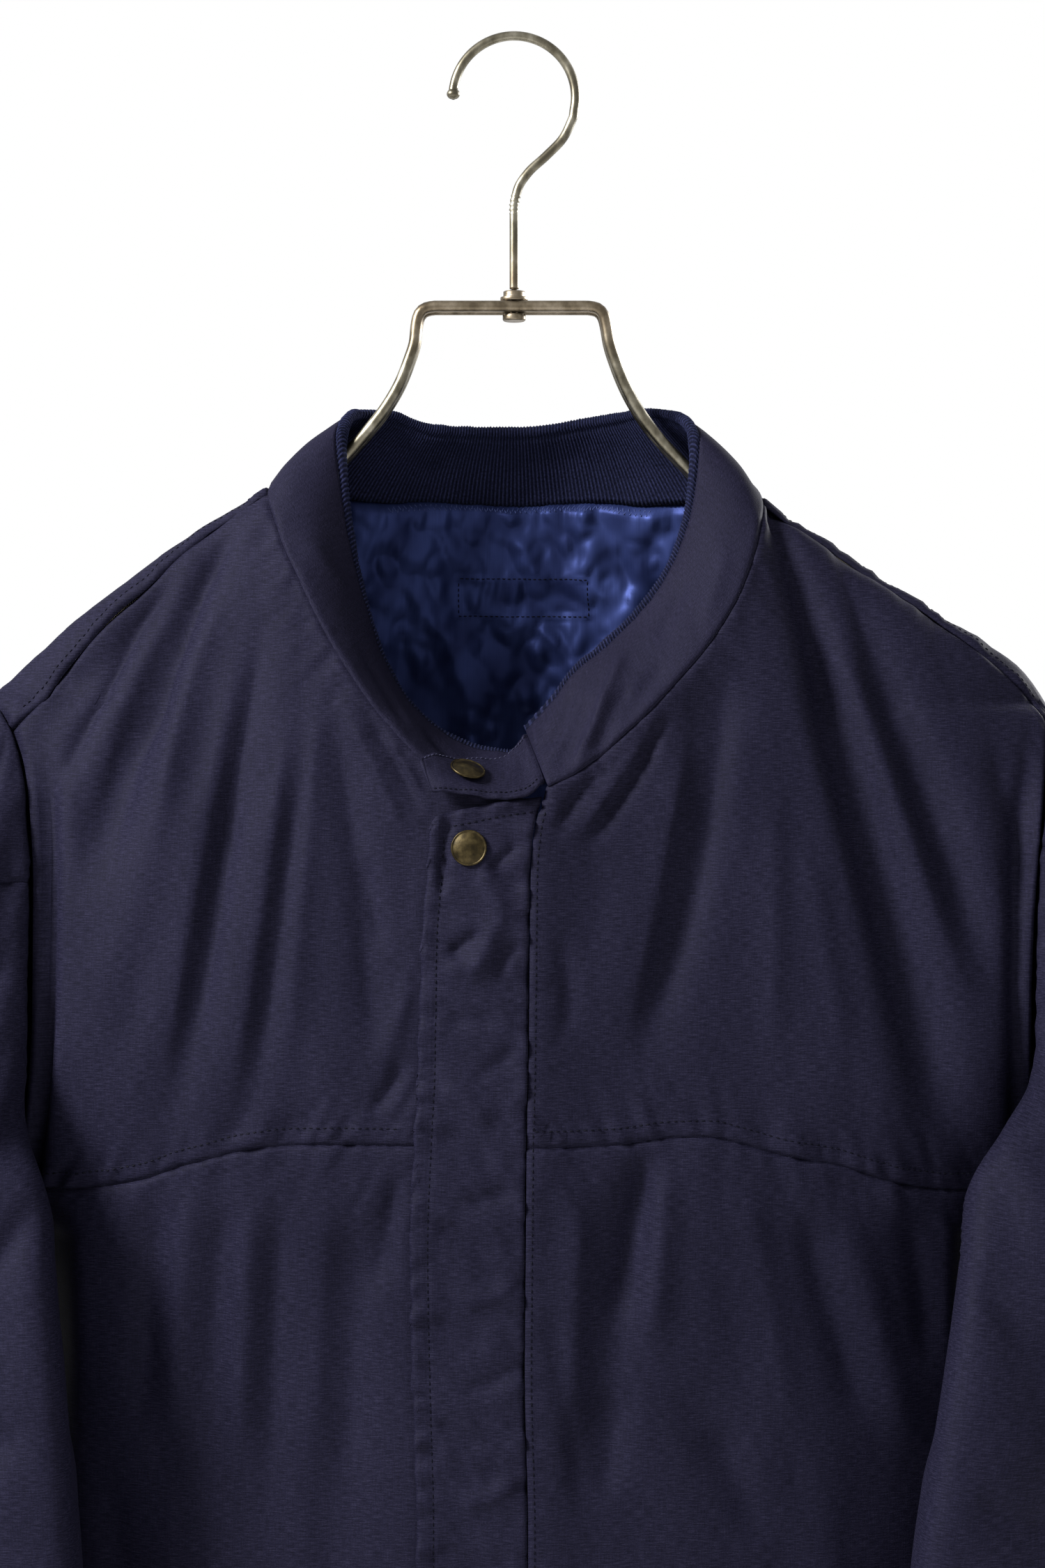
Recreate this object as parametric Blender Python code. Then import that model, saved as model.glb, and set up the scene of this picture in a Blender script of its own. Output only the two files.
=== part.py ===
"""Bomber jacket hung on a double-wire metal hanger: a hollow shell of thin cloth walls.

Frame: the origin is the inner top of the hanger's hook, +Z is up, the front faces -Y, and the
wearer's left is at +X. Sizes in the tables are millimetres, and solids are made in metres.
"""
import bmesh
import bpy
import numpy as np

MM = 0.001
WALL = 1.5             # shell cloth with its interlining
RIB_WALL = 2.4         # rib knit
SEAM = 0.3             # gap between pieces that are sewn together

RIDGE_ROUND = 12.0     # roundness of the shoulder over the hanger's wires
FRONT_REACH = 52.0     # how far the front stands out below the shoulder ridge
FRONT_FALL = 120.0     # over this length of cloth
BACK_REACH = 60.0
BACK_FALL = 90.0

HEM_SEAM_Z = -821.0
HEM_BAND = 60.0
CUFF_SEAM_Z = -797.0
CUFF_LENGTH = 65.0
UNDERARM_Z = -520.0
UNDERARM_GAP = 1.4     # the narrow valley under the arm needs more room between the pieces
FLANK_TURN = 0.15      # turn round the sleeve up to which its flank beside the underarm is flat
FLANK_TOP_Z = -430.0   # it starts to be flat here
FLANK_END_Z = -610.0   # and is round again here
SLEEVE_RADIUS = 50.0   # turns a sleeve's angle into a length of cloth
STRETCH_TURN = 1.2     # turn over which a sleeve is drawn to the armhole
CUFF_DROP = 20.0       # middle ring of a cuff, below its seam
HEM_DROP = 30.0        # middle ring of the hem band, below its seam
HEM_DRAW = (1.0, 0.985, 0.975)
HEM_STRAIGHT = 60.0    # the hem band's front is as wide as the fronts up to here
SHOULDER_ROUND_Z = -330.0   # above this the armhole's wall faces up and out

COLLAR_ROWS = (0, 0.08, 0.36, 0.68, 1)
COLLAR_TURNS = (6, 7, 8, 15, 16, 17)
COLLAR_BOW = 2.4       # how far the collar's band rounds outward
RIB_CLEAR = 0.8        # gap between the rib's roll and the collar's top edge
RIB_SHOULDER = 2.7     # height over the collar's edge where the roll is widest
RIB_ROLL = 4.8         # rib knit that shows over the collar's top edge
RIB_BULGE = (0.3, 0.9, -0.6, -2.6)   # roll's points across, from the outside to the inside

PLACKET_WALL = 1.6
PLACKET_LIFT = 3.4     # outer face of the fly above the right front
PLACKET_FADE = 30.0    # the left front's rise to the fly dies out over this
PLACKET_CLEAR = 16.0   # no fold reaches closer to the fly than this
PLACKET_ROWS = 26
PLACKET_COLUMNS = 4
RIGHT_FRONT_EDGE = 3.7
SNAP_RADIUS = 7.5
SNAP_HEIGHT = 2.2
SNAP_SIDES = 18

LINING_INSET = 5.5     # the back's outer face to the lining's, where folds need the room
LINING_TOP_INSET = 4.4   # and at its top, where the back is smooth
LINING_WALL = 1.0
LINING_HALF = 118.0
LINING_DROP = 7.0      # lining's top edge below the neck seam
LINING_RIDGE = 28.0    # and below the shoulder ridge
LINING_END_Z = -430.0
LINING_COLUMNS = 12
LINING_ROWS = 8

FOLD_START = 35.0      # a fold rises over this length
FOLD_END = 60.0        # and dies out over this
EDGE_FADE = 14.0       # folds die out over this towards the body's edge
GATHER_HEIGHT = 2.5    # waves of the cloth above the hem band
GATHER_PITCH = 57.0
GATHER_TOP_Z = -730.0

FRONT_COLUMNS = 14
FRONT_CROWD = 1.35     # columns of a front are closer together at its armhole
SHOULDER_COLUMNS = 7   # half of the front's, which shares their chords
SLEEVE_COLUMNS = 18
SIDE_ROWS = 10
CUFF_COLUMNS = 20
HEM_COLUMNS = 10       # columns of the hem band in each quarter


def table(names, *rows):
    """A table with named columns, one row for each section."""
    return dict(zip(names.split(), np.array(rows, float).T))


# Top line of the shoulders and, between the neck points, where it would run on.
RIDGE = table(
    "x z",
    (-226, -287.0), (-209, -272.5), (-189, -255.0), (-169, -239.6), (-156, -229.3),
    (-126, -209.6), (-107, -198.0), (-60, -166.0), (0, -123.0), (60, -170.0),
    (107, -202.0), (125, -214.5), (155, -234.5), (181, -252.0), (211, -269.5),
    (222, -279.5), (232, -292.0))

# Edge of the body: the armhole from the shoulder tip to the underarm, then the side seam.
EDGE = {
    -1: table(
        "z x front back",
        (-287.0, -226.0, 0, 0), (-290.0, -224.5, -9, 9), (-303.5, -214.7, -20, 19),
        (-320.0, -208.5, -27, 26), (-340.0, -205.5, -33, 32), (-368.0, -203.5, -38, 37),
        (-420.0, -204.0, -40, 42), (-470.0, -208.0, -34, 42), (-500.0, -213.0, -18, 37),
        (-514.0, -216.0, -2, 27), (-520.0, -217.0, 13, 13), (-560.0, -224.0, 18, 18),
        (-655.0, -234.0, 22, 22), (-740.0, -236.0, 22, 22), (-795.0, -230.0, 16, 16),
        (-821.0, -210.0, 8, 8)),
    1: table(
        "z x front back",
        (-292.0, 232.0, 0, 0), (-295.5, 231.0, -9, 9), (-301.0, 229.5, -14, 14),
        (-325.0, 226.0, -27, 26), (-340.0, 224.0, -33, 32), (-353.0, 222.0, -37, 36),
        (-420.0, 219.0, -40, 42), (-470.0, 220.0, -34, 42), (-500.0, 222.0, -18, 37),
        (-514.0, 224.0, -2, 27), (-520.0, 225.0, 13, 13), (-560.0, 230.0, 18, 18),
        (-655.0, 238.0, 22, 22), (-740.0, 240.0, 22, 22), (-795.0, 234.0, 16, 16),
        (-821.0, 212.0, 8, 8)),
}

# How square the body's cross-section is, and how it draws in to the hem.
SECTION = table(
    "z flat round ease",
    (-200, 5.0, 1.7, 1.00), (-430, 5.0, 1.7, 1.00), (-480, 4.0, 1.1, 1.00),
    (-530, 3.2, 1.02, 1.00), (-600, 3.0, 1.2, 1.01), (-655, 3.0, 1.3, 1.02),
    (-780, 2.8, 1.5, 1.06), (-805, 2.8, 1.6, 1.00), (-821, 2.8, 1.7, 0.84))

# Levels at which body and sleeve meet along the armhole, shoulder to underarm. The first is the
# foot of the arch over the shoulder tip, the third the forward shoulder seam, the eighth the
# sleeve-panel seam and the seventeenth the yoke seam.
ARMHOLE_LEVELS = {
    -1: (-290, -296, -303.5, -315, -328, -341, -354, -368, -383, -398, -413, -428, -443, -458,
         -472, -485, -498, -507, -514, -520),
    1: (-295.5, -298, -301, -310, -320, -331, -342, -353, -370, -387, -403, -419, -435, -451,
        -467, -483, -498, -507, -514, -520),
}
SHOULDER_LEVEL = 2
CAP_LEVEL = 7
YOKE_LEVEL = 16

# Forward shoulder seam, neck to armhole.
SHOULDER_SEAM = {
    -1: table(
        "x z",
        (-106.3, -200.8), (-129.5, -217.0), (-141.3, -226.6), (-157.0, -241.6),
        (-175.2, -258.0), (-193.5, -279.3), (-202.5, -290.7), (-214.7, -303.5)),
    1: table(
        "x z",
        (107.5, -204.6), (130.0, -220.5), (155.0, -237.0), (180.0, -254.5), (195.3, -265.8),
        (210.4, -278.0), (222.0, -290.0), (229.5, -301.0)),
}

# Curved seam across the chest.
YOKE_SEAM = table(
    "x z",
    (-213, -498.0), (-189, -497.5), (-169, -495.0), (-154, -491.8), (-140, -486.5),
    (-126, -482.4), (-112, -478.8), (-97, -476.8), (-77, -476.2), (-42, -476.6),
    (18, -477.2), (41, -476.4), (65, -473.5), (82, -473.2), (92, -475.4), (111, -480.8),
    (135, -485.5), (151, -490.7), (167, -495.0), (186, -497.5), (222, -498.0))

# Neck seam (base, on the body) and the collar's top edge, once round from the right front's end.
# face is -1 on the front of the shoulder ridge and 1 on the back.
NECK = table(
    "face base_x base_z top_x top_y top_z",
    (-1, 3.7, -331.2, 2.0, -20, -313.8), (-1, -16.0, -328.5, -12.0, -19, -312.6),
    (-1, -35.0, -318.3, -29.0, -17, -305.8), (-1, -52.0, -301.5, -45.5, -14, -291.5),
    (-1, -66.0, -283.5, -56.5, -11, -272.5), (-1, -78.5, -263.7, -64.0, -8, -251.0),
    (-1, -90.0, -241.5, -70.0, -9, -228.0), (-1, -100.0, -220.0, -74.5, -10, -202.0),
    (-1, -106.3, -200.8, -77.0, -6, -176.5), (1, -105.0, -199.0, -72.0, 7, -166.0),
    (1, -88.0, -199.5, -58.0, 19, -165.5), (1, -50.0, -200.3, -36.0, 27, -171.4),
    (1, 0.0, -201.2, 0.0, 29, -172.0), (1, 50.0, -201.5, 38.0, 26, -168.0),
    (1, 88.0, -202.0, 60.0, 18, -165.0), (1, 106.0, -202.8, 74.5, 7, -167.5),
    (-1, 107.5, -204.6, 80.0, -6, -177.0), (-1, 104.0, -222.5, 78.0, -10, -201.0),
    (-1, 96.0, -244.5, 73.5, -10, -220.0), (-1, 83.5, -265.5, 65.0, -12, -239.0),
    (-1, 65.5, -286.5, 51.0, -17, -257.0), (-1, 48.0, -304.0, 36.0, -23, -271.0),
    (-1, 34.0, -316.3, 25.0, -25, -280.5), (-1, 23.0, -323.5, 17.0, -25, -291.0),
    (-1, 13.9, -327.5, 5.0, -23, -304.0))
NECK_FRONT = 8
NECK_BACK = 8

# Seam between the fly placket and the left front, and the placket's free edge.
PLACKET = table(
    "z seam edge",
    (-331.0, 12.5, -33.5), (-336.2, 11.1, -34.0), (-344.8, 8.8, -34.6), (-362.7, 7.1, -35.8),
    (-390.0, 6.7, -38.0), (-448.9, 6.1, -39.8), (-474.5, 5.4, -41.2), (-520.0, 5.0, -42.7),
    (-570.7, 4.6, -41.8), (-634.7, 6.0, -40.2), (-750.0, 6.0, -40.0), (-881.0, 6.0, -40.0))
PLACKET_TOP = table(
    "x z",
    (-33.5, -345.5), (-31.5, -341.5), (-27.0, -338.9), (-18.8, -337.2), (-4.4, -334.2),
    (12.0, -331.9))

PLACKET_SNAP = (-18.4, -353.4)

# The tab on the collar's left end: lower edge, middle and upper edge, from its seam to its tip.
# Its first row is replaced by the collar's own end.
TAB = table(
    "low_x low_y low_z mid_x mid_y mid_z high_x high_y high_z",
    (13.4, -60.6, -328.3, 9.0, -44.0, -316.0, 4.4, -26.6, -304.2),
    (4.0, -62.0, -330.6, 2.2, -46.5, -320.5, 0.5, -31.0, -309.3),
    (-9.0, -63.0, -331.4, -8.5, -49.5, -323.0, -8.0, -33.0, -314.8),
    (-21.0, -63.5, -330.4, -21.0, -55.0, -322.7, -21.0, -38.0, -315.0),
    (-30.0, -63.0, -330.0, -31.5, -59.0, -321.7, -33.0, -49.0, -313.4),
    (-34.5, -62.0, -330.2, -37.0, -60.0, -323.0, -39.5, -57.0, -315.6))
TAB_SNAP = (0.575, 0.56)   # place along the tab and up it
TAB_SNAP_LIFT = 1.3        # the tab's twist keeps the flat snap this far off its middle
TAB_FACING = (0, -0.4, 0.9)
TAB_COLUMNS = 10

# Sleeve sections: x of the side next to the body and of the outer side, y of the middle, half
# depth front to back, and how far the inner side is swung forward.
SLEEVE = {
    -1: table(
        "z inner outer mid deep swing",
        (-290, -218.0, -230.0, 0, 9.5, 0.0), (-303.5, -204.0, -241.0, 0, 21, 0.0),
        (-328, -197.0, -259.0, 0, 36, 0.0), (-354, -200.0, -273.5, -2, 46, 0.05),
        (-383, -201.0, -284.0, -5, 52, 0.15), (-420, -198.0, -292.0, -9, 56, 0.30),
        (-470, -192.0, -299.0, -19, 58, 0.50), (-500, -188.5, -301.0, -29, 56, 0.60),
        (-520, -186.5, -302.0, -34, 54, 0.65), (-560, -182.5, -302.0, -39, 51, 0.65),
        (-600, -178.5, -300.0, -44, 49, 0.65), (-648, -174.3, -297.0, -49, 48, 0.65),
        (-700, -169.5, -288.0, -56, 47, 0.60), (-750, -166.0, -275.0, -63, 45, 0.50),
        (-783, -166.0, -263.0, -67, 43, 0.40), (-797, -178.0, -246.0, -61, 33, 0.20),
        (-862, -181.0, -243.0, -54, 31, 0.10)),
    1: table(
        "z inner outer mid deep swing",
        (-295.5, 225.0, 237.0, 0, 9.5, 0.0), (-301, 219.0, 241.5, 0, 15, 0.0),
        (-320, 213.0, 258.5, 0, 29, 0.0), (-342, 214.0, 273.0, -2, 42, 0.05),
        (-370, 213.0, 286.0, -6, 50, 0.15), (-420, 200.0, 297.0, -15, 55, 0.30),
        (-470, 188.5, 303.5, -27, 57, 0.50), (-500, 182.0, 306.0, -38, 56, 0.60),
        (-520, 179.0, 307.0, -45, 54, 0.65), (-560, 172.5, 306.0, -50, 52, 0.65),
        (-600, 165.3, 302.0, -55, 50, 0.65), (-648, 158.3, 293.0, -60, 48, 0.65),
        (-700, 156.0, 283.0, -65, 47, 0.60), (-750, 156.0, 270.0, -70, 45, 0.50),
        (-783, 157.0, 260.0, -74, 43, 0.40), (-797, 171.0, 242.0, -68, 33, 0.20),
        (-862, 174.0, 239.0, -62, 31, 0.10)),
}

# Largest folds of the fronts: three points of the line, height (a valley is negative) and half
# width.
FRONT_FOLDS = table(
    "x0 z0 x1 z1 x2 z2 high half",
    (-139, -238, -165, -301, -182, -385, -6.0, 10), (-161, -254, -186, -282, -201, -330, -4.5, 8),
    (-117, -317, -136, -408, -151, -500, -3.5, 11), (-136, -272, -148, -336, -176, -445, 3.0, 11),
    (-127, -312, -140, -387, -157, -478, 3.0, 10), (-104, -317, -111, -366, -130, -495, 2.5, 11),
    (117, -216, 133, -289, 188, -495, -6.0, 12), (147, -256, 170, -315, 199, -425, -4.0, 11),
    (83, -270, 65, -362, 50, -472, -4.0, 13), (72, -303, 59, -346, 41, -440, 2.5, 12),
    (54, -470, 44, -531, 30, -640, -5.0, 12), (112, -490, 133, -556, 152, -650, -3.5, 14),
    (78, -560, 95, -620, 110, -760, -3.5, 15), (-112, -490, -116, -560, -118, -700, -3.0, 14),
    (-70, -495, -72, -570, -76, -740, -3.0, 14))
BACK_FOLDS = table(
    "x0 z0 x1 z1 x2 z2 high half",
    (-128, -236, -146, -330, -160, -480, -5.0, 13), (-70, -300, -78, -420, -80, -600, -3.5, 16),
    (-20, -330, -26, -480, -30, -660, -3.0, 16), (45, -300, 50, -450, 58, -640, -3.5, 17),
    (126, -238, 142, -330, 160, -490, -5.0, 13), (98, -400, 106, -520, 112, -700, -3.5, 15),
    (-120, -500, -128, -600, -130, -740, -3.5, 15))

# Largest folds of the sleeves: level, turn round the sleeve in degrees from its inner side by
# the front, slope in degrees over the fold's length, length, height and half width.
SLEEVE_FOLDS = table(
    "z turn slope long high half",
    (-330, 110, 40, 110, -4.0, 12), (-400, 60, 60, 150, -4.0, 13), (-470, 120, -50, 150, -4.5, 14),
    (-560, 60, 50, 150, -4.0, 13), (-640, 130, -60, 140, -4.5, 14), (-720, 80, 60, 120, -4.0, 12),
    (-430, 240, 50, 160, -4.0, 14), (-560, 270, -50, 150, -4.0, 14), (-680, 240, 50, 140, -4.0, 13))


def smooth(rows, at, name, x):
    """Read the column `name` where the column `at` is x, by a monotone cubic through the rows."""
    order = np.argsort(rows[at])
    xs = rows[at][order]
    ys = rows[name][order]
    step = np.diff(xs)
    slope = np.diff(ys) / step
    lean = np.zeros(len(xs))
    inner = slope[:-1] * slope[1:] > 0
    safe = np.where(inner, slope[:-1] * slope[1:], 1.0)
    weigh = (step[:-1] + step[1:]) * 3
    low = 2 * step[1:] + step[:-1]
    high = step[1:] + 2 * step[:-1]
    blend = low * slope[1:] + high * slope[:-1]
    lean[1:-1] = np.where(inner, weigh * safe / np.where(inner, blend, 1.0), 0.0)
    lean[0] = slope[0]
    lean[-1] = slope[-1]
    x = np.clip(x, xs[0], xs[-1])
    k = np.clip(np.searchsorted(xs, x, side="right") - 1, 0, len(xs) - 2)
    t = (x - xs[k]) / step[k]
    start = ys[k] * (2 * t**3 - 3 * t**2 + 1) + lean[k] * step[k] * (t**3 - 2 * t**2 + t)
    end = ys[k + 1] * (3 * t**2 - 2 * t**3) + lean[k + 1] * step[k] * (t**3 - t**2)
    return start + end


def ease(t):
    """0 to 1 with level ends."""
    t = np.clip(t, 0, 1)
    return t * t * (3 - 2 * t)


def unit(vectors):
    """Vectors made one long."""
    return vectors / np.maximum(np.linalg.norm(vectors, axis=-1, keepdims=True), 1e-9)


def ridge(x):
    """Height of the shoulder line."""
    return smooth(RIDGE, "x", "z", x)


def edge(x, z, name):
    """A column of the body's edge table, of the side that x is on.

    Below the underarm the back's edge is the front's.
    """
    columns = []
    for side in (-1, 1):
        column = smooth(EDGE[side], "z", name, z)
        if name == "back":
            column = np.where(z < UNDERARM_Z, smooth(EDGE[side], "z", "front", z), column)
        columns.append(column)
    return np.where(x < 0, columns[0], columns[1])


def down(x, z, face):
    """Length of cloth from the shoulder ridge to the height z: negative on the front."""
    drop = np.maximum(ridge(x) - z, 0)
    return face * np.sqrt((drop + RIDGE_ROUND) ** 2 - RIDGE_ROUND**2)


def height(x, w):
    """Height of the cloth w from the ridge."""
    return ridge(x) - np.sqrt(w * w + RIDGE_ROUND**2) + RIDGE_ROUND


def plain_body(x, w):
    """Body's outer point at x, w from the ridge, before folds."""
    x, w = np.broadcast_arrays(np.asarray(x, float), np.asarray(w, float))
    z = height(x, w)
    level = np.maximum(z, HEM_SEAM_Z)
    front = w < 0
    reach = np.where(front, FRONT_REACH, BACK_REACH)
    fall = np.where(front, FRONT_FALL, BACK_FALL)
    size = np.abs(w)
    out = RIDGE_ROUND * np.tanh(size / RIDGE_ROUND) + reach * (1 - np.exp(-size / fall))
    out = np.where(front, -out, out) * smooth(SECTION, "z", "ease", level)
    side = np.clip(np.abs(x) / np.abs(edge(x, level, "x")), 0, 1)
    turned = 1 - side ** smooth(SECTION, "z", "flat", level)
    share = 1 - turned ** (1 / smooth(SECTION, "z", "round", level))
    edge_y = np.where(front, edge(x, level, "front"), edge(x, level, "back"))
    y = out + (edge_y - out) * share
    return np.stack([x, y, z], -1)


def fold_offset(folds, x, z):
    """Sum of a table's folds at (x, z): each is a soft trough or ridge along a bent line."""
    total = np.zeros(np.shape(x))
    for x0, z0, x1, z1, x2, z2, high, half in zip(*folds.values()):
        t = np.clip((z0 - z) / (z0 - z2), 0, 1)
        middle = (z0 - z1) / (z0 - z2)
        bend = (x1 - x0 - (x2 - x0) * middle) / (middle * (middle - 1))
        line = x0 + (x2 - x0) * t + bend * t * (t - 1)
        lean = (x2 - x0) / (z0 - z2)
        away = (x - line) / np.sqrt(1 + lean * lean)
        fade = ease((z0 - z) / FOLD_START) * ease((z - z2) / FOLD_END)
        total += high * fade * np.exp(-((away / half) ** 2))
    return total


def body_offset(x, w):
    """Folds, hem gathers and the rise of the left front to the placket's outer face."""
    z = height(x, w)
    front = w < 0
    to_edge = ease((np.abs(edge(x, z, "x")) - np.abs(x)) / EDGE_FADE)
    folds = np.where(front, fold_offset(FRONT_FOLDS, x, z), fold_offset(BACK_FOLDS, x, z))
    gather = GATHER_HEIGHT * np.sin(2 * np.pi * x / GATHER_PITCH)
    gather = gather * ease((GATHER_TOP_Z - z) / FOLD_END) * ease((z - HEM_SEAM_Z) / EDGE_FADE)
    seam = smooth(PLACKET, "z", "seam", z)
    free = smooth(PLACKET, "z", "edge", z)
    clear = ease(np.maximum(free - x, x - seam) / PLACKET_CLEAR)
    to_edge = to_edge * np.where(front, clear, 1)
    rise = PLACKET_LIFT * (1 - ease((x - seam) / PLACKET_FADE))
    rise = np.where(front & (x > seam - 0.01), rise, 0)
    return (folds + gather) * to_edge + rise


def body(x, w):
    """Body's outer point with its folds."""
    x, w = np.broadcast_arrays(np.asarray(x, float), np.asarray(w, float))
    return plain_body(x, w) + slope_normal(plain_body, x, w) * body_offset(x, w)[..., None]


def slope_normal(surface, x, w):
    """Outward normal of a body surface, from its points a millimetre away."""
    limit = np.abs(edge(x, np.maximum(height(x, w), HEM_SEAM_Z), "x")) * 0.985   # just inside it
    x = np.clip(x, -limit, limit)
    across = surface(x + 1, w) - surface(x - 1, w)
    along = surface(x, w + 1) - surface(x, w - 1)
    return unit(np.cross(across, along))


def body_normal(x, w):
    """Outward normal of the folded body."""
    return slope_normal(body, np.asarray(x, float), np.asarray(w, float))


def sleeve_ring(side, z, turn):
    """Sleeve's outer point: turn 0 is next to the body, a quarter turn the front."""
    rows = SLEEVE[side]
    inner = smooth(rows, "z", "inner", z)
    outer = smooth(rows, "z", "outer", z)
    half = (outer - inner) / 2
    x = (inner + outer) / 2 - half * np.cos(turn)
    swung = -smooth(rows, "z", "swing", z) * np.abs(half) * np.cos(turn)
    y = smooth(rows, "z", "mid", z) - smooth(rows, "z", "deep", z) * np.sin(turn) + swung
    return np.stack(np.broadcast_arrays(x, y, z), -1)


def ring_place(side, point):
    """Turn, and distance as a share of the ring's, of a point near a sleeve's section."""
    rows = SLEEVE[side]
    z = point[..., 2]
    inner = smooth(rows, "z", "inner", z)
    outer = smooth(rows, "z", "outer", z)
    half = (outer - inner) / 2
    cosine = ((inner + outer) / 2 - point[..., 0]) / half
    swung = -smooth(rows, "z", "swing", z) * np.abs(half) * cosine
    sine = (smooth(rows, "z", "mid", z) + swung - point[..., 1]) / smooth(rows, "z", "deep", z)
    return np.arctan2(sine, cosine), np.hypot(sine, cosine)


def edge_point(side, z, face):
    """Point of the body's edge: of the armhole or the side seam."""
    z = np.asarray(z, float)
    name = "front" if face < 0 else "back"
    return np.stack([edge(side, z, "x"), edge(side, z, name), z], -1)


def tip_z(side):
    """Height of the shoulder tip."""
    return EDGE[side]["z"][0]


def sleeve_fold_offset(z, turn):
    """Sum of the sleeve's folds at a level and turn."""
    total = np.zeros(np.shape(z))
    for level, at, slope, long, high, half in zip(*SLEEVE_FOLDS.values()):
        along = (level - z) / long
        line = np.radians(at + slope * along)
        away = (turn - line) * SLEEVE_RADIUS
        fade = ease(1.6 - 3.2 * np.abs(along))
        total += high * fade * np.exp(-((away / half) ** 2))
    return total


def sleeve(side, z, u):
    """Sleeve's outer point, u from its front edge (0) round the outside to its back edge (1).

    Above the underarm the edges are the armhole, and below it the sleeve's own seam. Next to the
    underarm the cloth runs straight from the edge to the sleeve's inner side.
    """
    z, u = np.broadcast_arrays(np.asarray(z, float), np.asarray(u, float))
    level = np.maximum(z, UNDERARM_Z)
    start, start_far = ring_place(side, edge_point(side, level, -1))
    end, end_far = ring_place(side, edge_point(side, level, 1))
    end = np.where(z <= UNDERARM_Z + 0.01, start, end) + 2 * np.pi
    below = 1 - ease((UNDERARM_Z - z) / FOLD_END)
    start_far = 1 + (start_far - 1) * below
    end_far = 1 + (end_far - 1) * below
    middle = (sleeve_ring(side, z, 0 * u) + sleeve_ring(side, z, 0 * u + np.pi)) / 2

    def stretched(turn):
        """The ring, drawn to the armhole's edges near them."""
        ring = sleeve_ring(side, z, turn)
        pull = (start_far - 1) * (1 - ease((turn - start) / STRETCH_TURN))
        pull = pull + (end_far - 1) * (1 - ease((end - turn) / STRETCH_TURN))
        return ring + (ring - middle) * pull[..., None]

    turn = start + (end - start) * u
    point = stretched(turn)
    corner = stretched(start)
    share = np.clip((turn - start) / np.maximum(FLANK_TURN - start, 0.1), 0, 1)
    flank = corner + (stretched(0 * start + FLANK_TURN) - corner) * share[..., None]
    flat = (share < 1) * (start < FLANK_TURN)
    flat = flat * ease((z - FLANK_END_Z) / FOLD_END) * ease((FLANK_TOP_Z - z) / FOLD_START)
    point = point + (flank - point) * flat[..., None]
    away = np.minimum(turn - start, end - turn) * SLEEVE_RADIUS
    free = ease(away / EDGE_FADE) * ease((z - CUFF_SEAM_Z) / EDGE_FADE)
    free = free * ease((tip_z(side) - z) / FOLD_START)
    return point + unit(point - middle) * (sleeve_fold_offset(z, turn) * free)[..., None]


def seam_frame(points, first, second, outward):
    """Directions at a seam between two pieces that leave its points along first and second.

    Returns the vector across the wall (to the side of outward, lengthened at a bend so the wall
    keeps its thickness, but not more than 1.6 times) and the unit vector that parts the pieces,
    towards the first.
    """
    along = unit(np.gradient(points, axis=0))
    first = unit(first - along * np.sum(first * along, -1, keepdims=True))
    second = unit(second - along * np.sum(second * along, -1, keepdims=True))
    apart = unit(first - second)
    across = unit(np.cross(along, apart))
    across = across * np.sign(np.sum(across * outward, -1, keepdims=True))
    facing = np.abs(np.sum(apart * first, -1, keepdims=True))
    return across / np.clip(facing, 0.62, 1), apart


def armhole(side):
    """Nodes of the armhole loop with their seam directions.

    They run from the arch's front foot down to the underarm, up to the arch's back foot and
    end at the shoulder tip.
    """
    levels = np.array(ARMHOLE_LEVELS[side], float)
    faces = np.concatenate([-np.ones(len(levels)), np.ones(len(levels) - 1)])
    heights = np.concatenate([levels, levels[-2::-1]])
    ahead = edge_point(side, heights, -1)
    behind = edge_point(side, heights, 1)
    nodes = np.where(faces[:, None] < 0, ahead, behind)
    tip = np.array([[EDGE[side]["x"][0], 0.0, tip_z(side)]])
    nodes = np.concatenate([nodes, tip])
    faces = np.append(faces, 0)
    heights = np.append(heights, tip_z(side))
    inner_x = nodes[:, 0] - side * 5
    inside = body(inner_x, down(inner_x, heights, faces))
    around = np.choose(faces.astype(int) + 1, (0.05, 0.5, 0.95))
    outside = sleeve(side, np.minimum(heights, tip_z(side) - 6 * (faces == 0)), around)
    step = np.abs(np.arange(len(nodes)) - (len(levels) - 1))[:, None]
    bottom = step == 0
    inside = np.where(bottom, nodes + (-side * 15, 0, -14), inside)
    outside = np.where(bottom, nodes + (side * 15, 0, -14), outside)
    loop = np.concatenate([nodes[-1:], nodes, nodes[:1]])
    first = np.concatenate([inside[-1:], inside, inside[:1]]) - loop
    second = np.concatenate([outside[-1:], outside, outside[:1]]) - loop
    upper = ease((nodes[:, 2:] - SHOULDER_ROUND_Z) / 20)
    lower = np.exp(-((step / 2.5) ** 2))
    outward = nodes * (0, 1, 0) + upper * (side * 40, 0, 60) - lower * (0, 0, 600)
    outward = np.concatenate([outward[-1:], outward, outward[:1]])
    across, apart = seam_frame(loop, first, second, outward)
    apart = apart[1:-1] * np.where(step <= 1, UNDERARM_GAP / SEAM, 1)
    return {"points": nodes, "across": across[1:-1], "apart": apart}


def neck_points():
    """Neck seam on the body, the collar's top edge, and the seam's directions."""
    base = body(NECK["base_x"], down(NECK["base_x"], NECK["base_z"], NECK["face"]))
    top = np.stack([NECK["top_x"], NECK["top_y"], NECK["top_z"]], -1)
    normal = body_normal(NECK["base_x"], down(NECK["base_x"], NECK["base_z"], NECK["face"]))
    along = unit(np.gradient(base, axis=0))
    away = np.cross(along, normal)
    away = away * np.sign(np.sum(away * (base - top), -1, keepdims=True))
    across, apart = seam_frame(base, away, top - base, collar_outward(base))
    return {"points": base, "top": top, "across": across, "apart": apart}


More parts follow.
